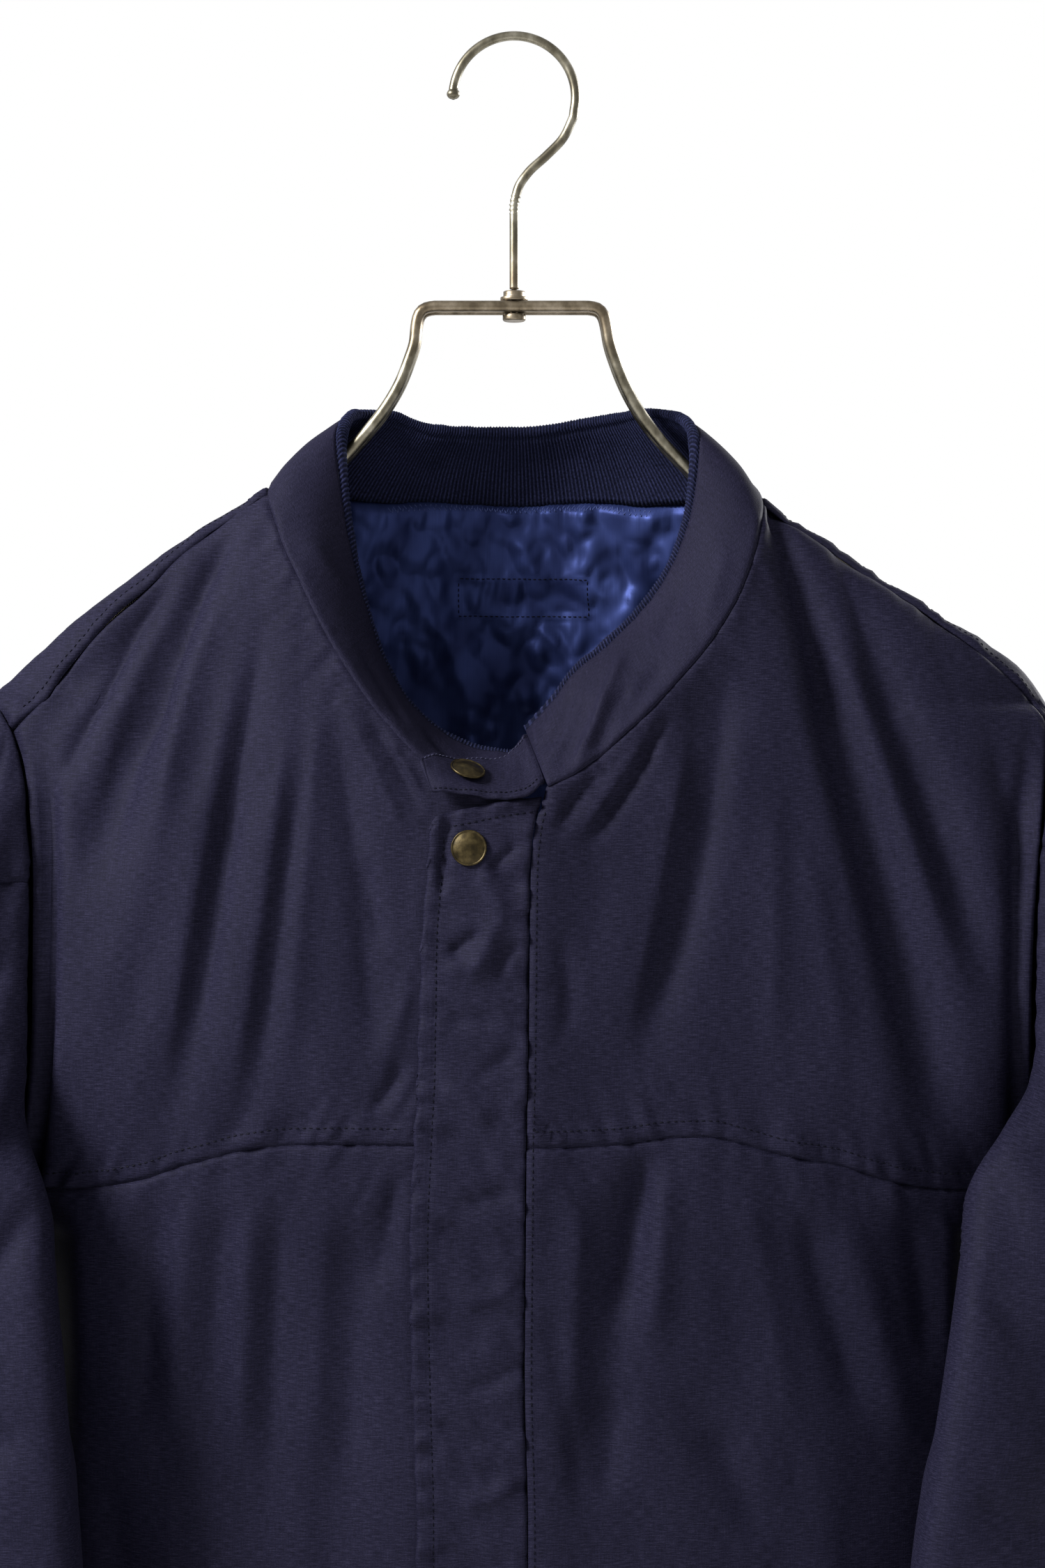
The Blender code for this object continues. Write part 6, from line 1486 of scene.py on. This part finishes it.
def sew(name, line, normals, material, pitch=STITCH_PITCH):
    """A row of stitches: short bent threads laid on the pieces that are under the line.

    Each thread is a capsule whose ends dip into the cloth; the rows of all of them are one grid
    of points, split into pieces.
    """
    share = path_share(line)
    length = length_of(line)
    count = max(int(length / pitch), 1)
    long = min(STITCH_LENGTH, pitch * 0.75)
    middle = (np.arange(count) + 0.5) * pitch
    t = np.linspace(-0.5, 0.5, 5)
    spots = (middle[:, None] + t[None] * long) / length
    here = np.stack([np.interp(spots, share, line[:, k]) for k in range(3)], -1)
    up = unit(np.stack([np.interp(spots, share, normals[:, k]) for k in range(3)], -1))
    here = laid_on(name, here, up)
    along = unit(here[:, -1:] - here[:, :1]) + 0 * here
    sideways = unit(np.cross(along, up))
    rise = THREAD_RADIUS * (0.75 - 2.6 * (2 * t) ** 4)
    here = here + up * rise[None, :, None]
    turn = np.linspace(0, 2 * np.pi, 7)
    circle = (np.cos(turn)[None, None, :, None] * up[:, :, None]
              + np.sin(turn)[None, None, :, None] * sideways[:, :, None])
    points = here[:, :, None] + circle * THREAD_RADIUS
    rows, columns = points.shape[1:3]
    block = np.arange(rows * columns).reshape(rows, columns)
    quads = np.stack([block[:-1, :-1], block[:-1, 1:], block[1:, 1:], block[1:, :-1]], -1).reshape(-1, 4)
    quads = (quads[None] + (np.arange(count) * rows * columns)[:, None, None]).reshape(-1, 4)
    mesh = bpy.data.meshes.new(name)
    mesh.from_pydata(points.reshape(-1, 3) * MM, [], quads[:, ::-1])
    mesh.polygons.foreach_set("use_smooth", np.ones(len(quads), bool))
    mesh.materials.append(material)
    mesh.update()
    piece = put(name, mesh)
    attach(piece, "root")


def laid_on(name, spots, ups):
    """Move spots along ups onto the pieces that a row of stitches lies on."""
    graph = bpy.context.evaluated_depsgraph_get()
    trees = [BVHTree.FromObject(bpy.data.objects[node + LOOK], graph) for node in SEWN_ON[name]]
    flat = spots.reshape(-1, 3)
    ways = ups.reshape(-1, 3)
    laid = flat.copy()
    for k, (spot, way) in enumerate(zip(flat, ways)):
        best = None
        for tree in trees:
            start = Vector((spot + way * SEWING_REACH) * MM)
            hit, _, _, gap = tree.ray_cast(start, Vector(-way), 2 * SEWING_REACH * MM)
            if hit is not None and (best is None or gap < best):
                best = gap
        if best is not None:
            laid[k] = spot + way * (SEWING_REACH - best / MM)
    return laid.reshape(spots.shape)


def body_line(x, w):
    """Line on the body with its normals."""
    return body(x, w), body_normal(x, w)


def make_stitches():
    """Topstitches of yokes, shoulders, lining, placket, left front and tab."""
    dark, light = (thread("thread_" + name, THREADS[name]) for name in ("dark", "light"))
    for side, hand in ((-1, "right"), (1, "left")):
        start = smooth(EDGE[side], "z", "x", YOKE_SEAM["z"][0])
        end = front_inner_x(side, smooth(YOKE_SEAM, "x", "z", RIGHT_FRONT_EDGE))
        end = min(end, -45) if side < 0 else end + 2
        x = np.linspace(start - side * 5, end, 200)
        z = smooth(YOKE_SEAM, "x", "z", x) + YOKE_STITCH
        line, normals = body_line(x, down(x, z, -1))
        sew("stitch_yoke_" + hand, line, normals, dark)
        rows = SHOULDER_SEAM[side]
        x = np.linspace(rows["x"][0], rows["x"][-1] - side * 3, 100)
        w = down(x, smooth(rows, "x", "z", x), -1)
        line, normals = body_line(x, w + SHOULDER_STITCH)
        sew("stitch_shoulder_" + hand, line, normals, dark)
    nape = neck_flat(np.linspace(NECK_FRONT + 1, NECK_FRONT + NECK_BACK - 1, 60))
    x = np.arange(-58, 64, 1.2)
    w = np.interp(x, nape[:, 0], nape[:, 1]) + 0.6 + 1.9 * (np.arange(len(x)) % 2)
    line, normals = body_line(x, w)
    blue = thread("thread_blue", THREADS["blue"])
    sew("stitch_lining", line - normals * 4, -normals, blue, 2.25)
    corners = np.array([row[0] for row in STITCHED_FRAME] + [STITCHED_FRAME[0][0]], float)
    x, z = resample(corners, 200).T
    line, normals = body_line(x, down(x, z, 1))
    sew("stitch_rectangle", line - normals * 5, -normals, dark, 2.4)
    z = np.linspace(PLACKET_TOP["z"][0] - 4, HEM_SEAM_Z - 52, 500)
    x = smooth(PLACKET, "z", "edge", z) + PLACKET_STITCH + 1.2 * ease((-350 - z) / 120)
    w = down(x, np.maximum(z, HEM_SEAM_Z), -1)
    normals = slope_normal(plain_body, x, w)
    line = plain_body(x, w) + normals * PLACKET_LIFT
    line[:, 2] = np.where(z < HEM_SEAM_Z, z, line[:, 2])
    sew("stitch_placket", line, normals, dark)
    x = np.linspace(PLACKET_TOP["x"][0] + 8, PLACKET_TOP["x"][-1] - 1, 60)
    z = smooth(PLACKET_TOP, "x", "z", x) - PLACKET_STITCH
    w = down(x, z, -1)
    normals = slope_normal(plain_body, x, w)
    sew("stitch_placket_top", plain_body(x, w) + normals * PLACKET_LIFT, normals, dark)
    z = np.linspace(-338, HEM_SEAM_Z + 2, 500)
    x = smooth(PLACKET, "z", "seam", z) + PLACKET_SEAM_STITCH
    line, normals = body_line(x, down(x, z, -1))
    sew("stitch_left_front", line, normals, dark)
    for name, rise_at, material in (("stitch_tab_top", 0.93, light), ("stitch_tab_low", 0.1, dark)):
        along = np.linspace(0.05, 0.95, 80)
        rise = np.full(80, rise_at)
        line = tab_points(along, rise)
        across = np.gradient(line, axis=0)
        up = tab_points(along, rise + 0.05) - line
        normals = unit(np.cross(across, up))
        normals = normals * np.sign(normals @ np.array(TAB_FACING))[:, None]
        sew(name, line, normals, material, 2.1)


def node_set(name):
    """A new material with its nodes, links and shader."""
    material = bpy.data.materials.new(name)
    material.use_nodes = True
    tree = material.node_tree
    return material, tree, tree.nodes["Principled BSDF"]


def stretched_noise(tree, source, size, detail=2.0):
    """Noise whose cells measure size in metres along the source's axes."""
    scale = tree.nodes.new("ShaderNodeVectorMath")
    scale.operation = "MULTIPLY"
    scale.inputs[1].default_value = [1 / length for length in size]
    tree.links.new(source, scale.inputs[0])
    texture = tree.nodes.new("ShaderNodeTexNoise")
    texture.inputs["Scale"].default_value = 1.0
    texture.inputs["Detail"].default_value = detail
    tree.links.new(scale.outputs[0], texture.inputs["Vector"])
    return texture.outputs["Fac"]


def ramp(tree, source, *stops):
    """Colours by value: stops are (place, linear colour)."""
    node = tree.nodes.new("ShaderNodeValToRGB")
    elements = node.color_ramp.elements
    while len(elements) < len(stops):
        elements.new(0.5)
    for element, (place, colour) in zip(elements, stops):
        element.position = place
        element.color = (*colour, 1)
    tree.links.new(source, node.inputs["Fac"])
    return node.outputs["Color"]


def blend(tree, kind, share, first, second):
    """Mix two colours by a kind; share is a number or a socket."""
    node = tree.nodes.new("ShaderNodeMix")
    node.data_type = "RGBA"
    node.blend_type = kind
    if isinstance(share, float):
        node.inputs["Factor"].default_value = share
    else:
        tree.links.new(share, node.inputs["Factor"])
    tree.links.new(first, node.inputs["A"])
    tree.links.new(second, node.inputs["B"])
    return node.outputs["Result"]


def tinted(tree, base, source, *stops):
    """Multiply a colour by a ramp of a source."""
    return blend(tree, "MULTIPLY", 1.0, base, ramp(tree, source, *stops))


def worn_gloss(tree, shader, source, low, high):
    """Roughness that runs with a source from low to high."""
    rough = tree.nodes.new("ShaderNodeMapRange")
    rough.inputs["To Min"].default_value = low
    rough.inputs["To Max"].default_value = high
    tree.links.new(source, rough.inputs["Value"])
    tree.links.new(rough.outputs["Result"], shader.inputs["Roughness"])


def dull(shader, rough, shine, metal=0.0):
    """Even gloss, highlight and metal of a shader."""
    shader.inputs["Roughness"].default_value = rough
    shader.inputs["Specular IOR Level"].default_value = shine
    shader.inputs["Metallic"].default_value = metal


def reckoned(tree, kind, first, second=None):
    """Math node of a socket and a number or second socket."""
    node = tree.nodes.new("ShaderNodeMath")
    node.operation = kind
    tree.links.new(first, node.inputs[0])
    if isinstance(second, float):
        node.inputs[1].default_value = second
    elif second is not None:
        tree.links.new(second, node.inputs[1])
    return node.outputs[0]


def level_fade(tree, height_at, start, end, share):
    """0 at the level start to a share at the level end, in metres."""
    node = tree.nodes.new("ShaderNodeMapRange")
    node.interpolation_type = "SMOOTHSTEP"
    node.inputs["From Min"].default_value = start
    node.inputs["From Max"].default_value = end
    node.inputs["To Max"].default_value = share
    tree.links.new(height_at, node.inputs["Value"])
    return node.outputs["Result"]


def bumped(tree, shader, *layers):
    """Chain bump layers of (source, strength, distance in metres) into the shader."""
    last = None
    for source, strength, distance in layers:
        node = tree.nodes.new("ShaderNodeBump")
        node.inputs["Strength"].default_value = strength
        node.inputs["Distance"].default_value = distance
        tree.links.new(source, node.inputs["Height"])
        if last is not None:
            tree.links.new(last, node.inputs["Normal"])
        last = node.outputs["Normal"]
    tree.links.new(last, shader.inputs["Normal"])


def cloth_places(tree):
    """Cloth coordinates of a panel, in metres."""
    node = tree.nodes.new("ShaderNodeUVMap")
    node.uv_map = "cloth"
    return node.outputs["UV"]


def cloth(name, tight=1.0):
    """Navy plain weave: long faint slubs across, fine threads down, mottled, a little sheen."""
    material, tree, shader = node_set(name + "_cloth")
    place = cloth_places(tree)
    slub = stretched_noise(tree, place, (0.0045 * tight, 0.0005 * tight, 1), 3.0)
    warp = stretched_noise(tree, place, (0.0005, 0.009, 1), 2.0)
    weave = stretched_noise(tree, place, (0.0007, 0.0005, 1), 1.0)
    cloud = stretched_noise(tree, place, (0.045, 0.07, 1), 3.0)
    base = ramp(tree, slub, (0.34, CLOTH_DARK), (0.5, CLOTH_MIDDLE), (0.70, CLOTH_LIGHT))
    base = tinted(tree, base, cloud, (0.3, (0.84, 0.84, 0.87)), (0.7, (1.1, 1.1, 1.08)))
    base = tinted(tree, base, warp, (0.38, (0.9, 0.9, 0.9)), (0.62, (1.1, 1.1, 1.1)))
    base = tinted(tree, base, weave, (0.36, (0.82, 0.82, 0.84)), (0.64, (1.22, 1.22, 1.2)))
    tree.links.new(base, shader.inputs["Base Color"])
    worn_gloss(tree, shader, slub, 0.62, 0.82)
    shader.inputs["Specular IOR Level"].default_value = 0.04
    bumped(tree, shader, (slub, 0.2, 0.0003), (warp, 0.2, 0.0002), (weave, 0.25, 0.0002))
    return material


def knit(name, pitch):
    """Dark navy rib knit with loops down each rib, painted shade between the ribs and a painted highlight on
    their tops, and a light fuzz.
    """
    material, tree, shader = node_set(name + "_rib")
    place = cloth_places(tree)
    loops = stretched_noise(tree, place, (0.0009, 0.0011, 1), 2.0)
    fuzz = stretched_noise(tree, place, (0.00035, 0.0005, 1), 3.0)
    cloud = stretched_noise(tree, place, (0.03, 0.02, 1), 2.0)
    base = ramp(tree, loops, (0.36, (0.0034, 0.0037, 0.0110)), (0.64, (0.0092, 0.0106, 0.0290)))
    base = tinted(tree, base, cloud, (0.3, (0.8, 0.82, 0.85)), (0.7, (1.2, 1.2, 1.2)))
    # painted shade and highlight: the colour follows the ribs' own ridges, darkened in the valleys between
    # them and lightened on their tops
    split = tree.nodes.new("ShaderNodeSeparateXYZ")
    tree.links.new(place, split.inputs[0])
    turn = reckoned(tree, "MULTIPLY", split.outputs["X"], 2 * np.pi / (pitch * MM))
    wave = reckoned(tree, "COSINE", turn)
    base = tinted(tree, base, wave, (0.0, (0.35, 0.35, 0.38)), (0.55, (1.2, 1.2, 1.2)))
    tree.links.new(base, shader.inputs["Base Color"])
    dull(shader, 0.88, 0.04)
    shader.inputs["Sheen Weight"].default_value = 0.015
    shader.inputs["Sheen Roughness"].default_value = 0.6
    shader.inputs["Sheen Tint"].default_value = (0.35, 0.5, 1.0, 1)
    bumped(tree, shader, (loops, 0.6, 0.0006), (fuzz, 0.5, 0.0003))
    return material


def satin(name):
    """Blue lining satin: glossy, with faint threads down it."""
    material, tree, shader = node_set(name + "_satin")
    place = cloth_places(tree)
    warp = stretched_noise(tree, place, (0.0004, 0.02, 1), 2.0)
    weft = stretched_noise(tree, place, (0.012, 0.0005, 1), 2.0)
    cloud = stretched_noise(tree, place, (0.03, 0.03, 1), 2.0)
    base = ramp(tree, cloud, (0.36, (0.0075, 0.0112, 0.041)), (0.64, (0.0175, 0.026, 0.086)))
    base = tinted(tree, base, warp, (0.3, (0.88, 0.88, 0.9)), (0.7, (1.12, 1.12, 1.1)))
    tree.links.new(base, shader.inputs["Base Color"])
    dull(shader, 0.48, 0.05, 0.5)
    bumped(tree, shader, (warp, 0.12, 0.0002), (weft, 0.2, 0.0002))
    return material


def object_places(tree):
    """Place on the object, in metres."""
    return tree.nodes.new("ShaderNodeTexCoord").outputs["Object"]


def aged_brass(name):
    """Brass that has gone olive brown, brighter where it is rubbed."""
    material, tree, shader = node_set(name + "_brass")
    place = object_places(tree)
    stain = stretched_noise(tree, place, (0.003, 0.003, 0.003), 4.0)
    fleck = stretched_noise(tree, place, (0.0006, 0.0006, 0.0006), 2.0)
    base = ramp(tree, stain, (0.36, (0.012, 0.0085, 0.0027)), (0.5, (0.022, 0.0155, 0.0050)),
                (0.68, (0.042, 0.031, 0.0115)))
    tree.links.new(base, shader.inputs["Base Color"])
    shader.inputs["Metallic"].default_value = 0.85
    worn_gloss(tree, shader, stain, 0.3, 0.52)
    bumped(tree, shader, (fleck, 0.15, 0.0001), (stain, 0.15, 0.0003))
    return material


def aged_nickel(name):
    """Nickel gone warm and dull, with rust near the hub."""
    material, tree, shader = node_set(name + "_nickel")
    place = object_places(tree)
    stain = stretched_noise(tree, place, (0.006, 0.006, 0.009), 4.0)
    fleck = stretched_noise(tree, place, (0.0008, 0.0008, 0.0012), 3.0)
    base = ramp(tree, stain, (0.36, (0.072, 0.064, 0.046)), (0.5, (0.12, 0.109, 0.081)),
                (0.66, (0.195, 0.181, 0.144)))
    rust = ramp(tree, fleck, (0.35, (0.12, 0.055, 0.022)), (0.7, (0.20, 0.12, 0.06)))
    split = tree.nodes.new("ShaderNodeSeparateXYZ")
    tree.links.new(place, split.inputs[0])
    above = level_fade(tree, split.outputs["Z"], -0.086, -0.108, 0.45)
    under = level_fade(tree, split.outputs["Z"], -0.150, -0.126, 1.0)
    patchy = reckoned(tree, "MULTIPLY", reckoned(tree, "MULTIPLY", above, under), stain)
    base = blend(tree, "MIX", patchy, base, rust)
    tree.links.new(base, shader.inputs["Base Color"])
    shader.inputs["Metallic"].default_value = 1.0
    worn_gloss(tree, shader, stain, 0.28, 0.5)
    bumped(tree, shader, (fleck, 0.12, 0.0001))
    return material


def thread(name, colour):
    """Sewing thread."""
    material, tree, shader = node_set(name)
    place = object_places(tree)
    twist = stretched_noise(tree, place, (0.0004, 0.0004, 0.0004), 1.0)
    dark = [value * 0.7 for value in colour]
    bright = [value * 1.3 for value in colour]
    tree.links.new(ramp(tree, twist, (0.3, dark), (0.7, bright)), shader.inputs["Base Color"])
    dull(shader, 0.6, 0.05)
    return material


def floor_paint():
    """Pale floor with a faint mottle."""
    material, tree, shader = node_set("floor_paint")
    cloud = stretched_noise(tree, object_places(tree), (0.3, 0.3, 0.3), 2.0)
    tree.links.new(ramp(tree, cloud, (0.3, (0.8, 0.8, 0.8)), (0.7, (0.84, 0.84, 0.84))),
                   shader.inputs["Base Color"])
    shader.inputs["Roughness"].default_value = 0.8
    return material


def make_stage(settings):
    """Floor, soft lights, near-white surroundings and the camera at the photo's viewing angle."""
    scene = bpy.context.scene
    floor_z = settings.floor_level / MM
    half = 12000.0
    corners = np.array([[(-half, -half, floor_z), (half, -half, floor_z)],
                        [(-half, half, floor_z), (half, half, floor_z)]])
    floor = grid_mesh("floor", corners, corners[..., :2], floor_paint(), np.array((0, 0, 1.0)))
    for name, place, aim, size, power in LIGHTS:
        lamp = bpy.data.lights.new(name, "AREA")
        lamp.size = size
        lamp.energy = power * settings.light
        thing = put(name, lamp)
        thing.location = place
        thing.rotation_euler = (Vector(aim) - Vector(place)).to_track_quat("-Z", "Y").to_euler()
    world = bpy.data.worlds.new("surroundings")
    world.use_nodes = True
    background = world.node_tree.nodes["Background"]
    background.inputs["Color"].default_value = (1.0, 1.0, 1.0, 1)
    background.inputs["Strength"].default_value = settings.surroundings
    scene.world = world
    scene.view_settings.view_transform = "Standard"
    lens = bpy.data.cameras.new("camera")
    lens.sensor_fit = "AUTO"
    lens.sensor_width = 36.0
    lens.lens = CAMERA_LENS
    lens.clip_end = 20.0
    camera = put("camera", lens)
    camera.location = CAMERA_PLACE
    camera.rotation_euler = (np.pi / 2, 0, 0)
    scene.camera = camera


def declare_sheets():
    """Read the face areas of each woven piece that has a listed cut size; the areas are not kept or used."""
    for name, (width, length) in CUT.items():
        piece = bpy.data.objects[name + LOOK]
        mesh = piece.data
        area = np.zeros(len(mesh.polygons))
        mesh.polygons.foreach_get("area", area)


class JacketSettings(bpy.types.PropertyGroup):
    """Sizes and choices that the operators read."""

    cloth_step: bpy.props.FloatProperty(
        name="Cloth step", description="Spacing of the woven panels' points",
        default=0.0023, min=0.001, max=0.01, unit="LENGTH")
    cloth_wall: bpy.props.FloatProperty(
        name="Cloth wall", description="Thickness of the woven cloth",
        default=0.001, min=0.0003, max=0.003, unit="LENGTH")
    crumple: bpy.props.FloatProperty(
        name="Crumple", description="Height of the cloth's uneven soft waves",
        default=0.0009, min=0.0, max=0.003, unit="LENGTH")
    rib_pitch: bpy.props.FloatProperty(
        name="Rib pitch", description="Spacing of the collar knit's ribs",
        default=0.0019, min=0.0008, max=0.005, unit="LENGTH")
    snap_diameter: bpy.props.FloatProperty(
        name="Snap diameter", description="Diameter of both snap caps",
        default=0.015, min=0.008, max=0.02, unit="LENGTH")
    light: bpy.props.FloatProperty(
        name="Light", description="Power of the lights, as a share", default=1.0, min=0.0,
        subtype="FACTOR")
    surroundings: bpy.props.FloatProperty(
        name="Surroundings", description="Strength of the white surroundings", default=1.0,
        min=0.0)
    floor_level: bpy.props.FloatProperty(
        name="Floor level", description="Height of the floor", default=-1.2, unit="LENGTH")


class JACKET_OT_fronts(bpy.types.Operator):
    """Make the yokes and lower fronts"""

    bl_idname = "jacket.fronts"
    bl_label = "Fronts"

    def execute(self, context):
        make_fronts(context.scene.jacket)
        return {"FINISHED"}


class JACKET_OT_back(bpy.types.Operator):
    """Make the back and the lining behind the neck"""

    bl_idname = "jacket.back"
    bl_label = "Back and lining"

    def execute(self, context):
        make_back(context.scene.jacket)
        make_lining()
        return {"FINISHED"}


class JACKET_OT_sleeves(bpy.types.Operator):
    """Make the sleeve caps and sleeves"""

    bl_idname = "jacket.sleeves"
    bl_label = "Sleeves"

    def execute(self, context):
        make_sleeves(context.scene.jacket)
        return {"FINISHED"}


class JACKET_OT_knits(bpy.types.Operator):
    """Make the rib cuffs and the hem band"""

    bl_idname = "jacket.knits"
    bl_label = "Cuffs and hem band"

    def execute(self, context):
        make_knits(context.scene.jacket)
        return {"FINISHED"}


class JACKET_OT_collar(bpy.types.Operator):
    """Make the collar, its rolled rib and its tab"""

    bl_idname = "jacket.collar"
    bl_label = "Collar"

    def execute(self, context):
        make_collar(context.scene.jacket)
        make_tab(context.scene.jacket)
        return {"FINISHED"}


class JACKET_OT_placket(bpy.types.Operator):
    """Make the fly placket and both snap caps"""

    bl_idname = "jacket.placket"
    bl_label = "Placket and snaps"

    def execute(self, context):
        make_placket(context.scene.jacket)
        make_snaps(context.scene.jacket)
        return {"FINISHED"}


class JACKET_OT_stitches(bpy.types.Operator):
    """Sew the topstitches onto the finished panels"""

    bl_idname = "jacket.stitches"
    bl_label = "Stitches"

    def execute(self, context):
        make_stitches()
        declare_sheets()
        return {"FINISHED"}


class JACKET_OT_hanger(bpy.types.Operator):
    """Make the hanger's frame, hub and hook"""

    bl_idname = "jacket.hanger"
    bl_label = "Hanger"

    def execute(self, context):
        make_frame()
        make_hub()
        make_hook()
        return {"FINISHED"}


class JACKET_OT_stage(bpy.types.Operator):
    """Make the floor, the lights and the camera"""

    bl_idname = "jacket.stage"
    bl_label = "Stage"

    def execute(self, context):
        make_stage(context.scene.jacket)
        return {"FINISHED"}


STEPS = (
    JACKET_OT_fronts, JACKET_OT_back, JACKET_OT_sleeves, JACKET_OT_knits, JACKET_OT_collar,
    JACKET_OT_placket, JACKET_OT_stitches, JACKET_OT_hanger, JACKET_OT_stage)


class JACKET_PT_panel(bpy.types.Panel):
    """Lists the steps in order"""

    bl_label = "Jacket"
    bl_idname = "JACKET_PT_panel"
    bl_space_type = "VIEW_3D"
    bl_region_type = "UI"
    bl_category = "Jacket"

    def draw(self, context):
        settings = context.scene.jacket
        for name in settings.bl_rna.properties.keys():
            if name not in ("rna_type", "name"):
                self.layout.prop(settings, name)
        for step in STEPS:
            self.layout.operator(step.bl_idname)


def register():
    """Register every class and hang the settings on the scene."""
    for kind in (JacketSettings, *STEPS, JACKET_PT_panel):
        bpy.utils.register_class(kind)
    bpy.types.Scene.jacket = bpy.props.PointerProperty(type=JacketSettings)


def unregister():
    """Take everything back."""
    del bpy.types.Scene.jacket
    for kind in reversed((JacketSettings, *STEPS, JACKET_PT_panel)):
        bpy.utils.unregister_class(kind)


def main():
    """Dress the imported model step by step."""
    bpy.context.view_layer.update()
    register()
    bpy.ops.jacket.fronts()
    bpy.ops.jacket.back()
    bpy.ops.jacket.sleeves()
    bpy.ops.jacket.knits()
    bpy.ops.jacket.collar()
    bpy.ops.jacket.placket()
    bpy.ops.jacket.stitches()
    bpy.ops.jacket.hanger()
    bpy.ops.jacket.stage()


if __name__ == "__main__":
    main()
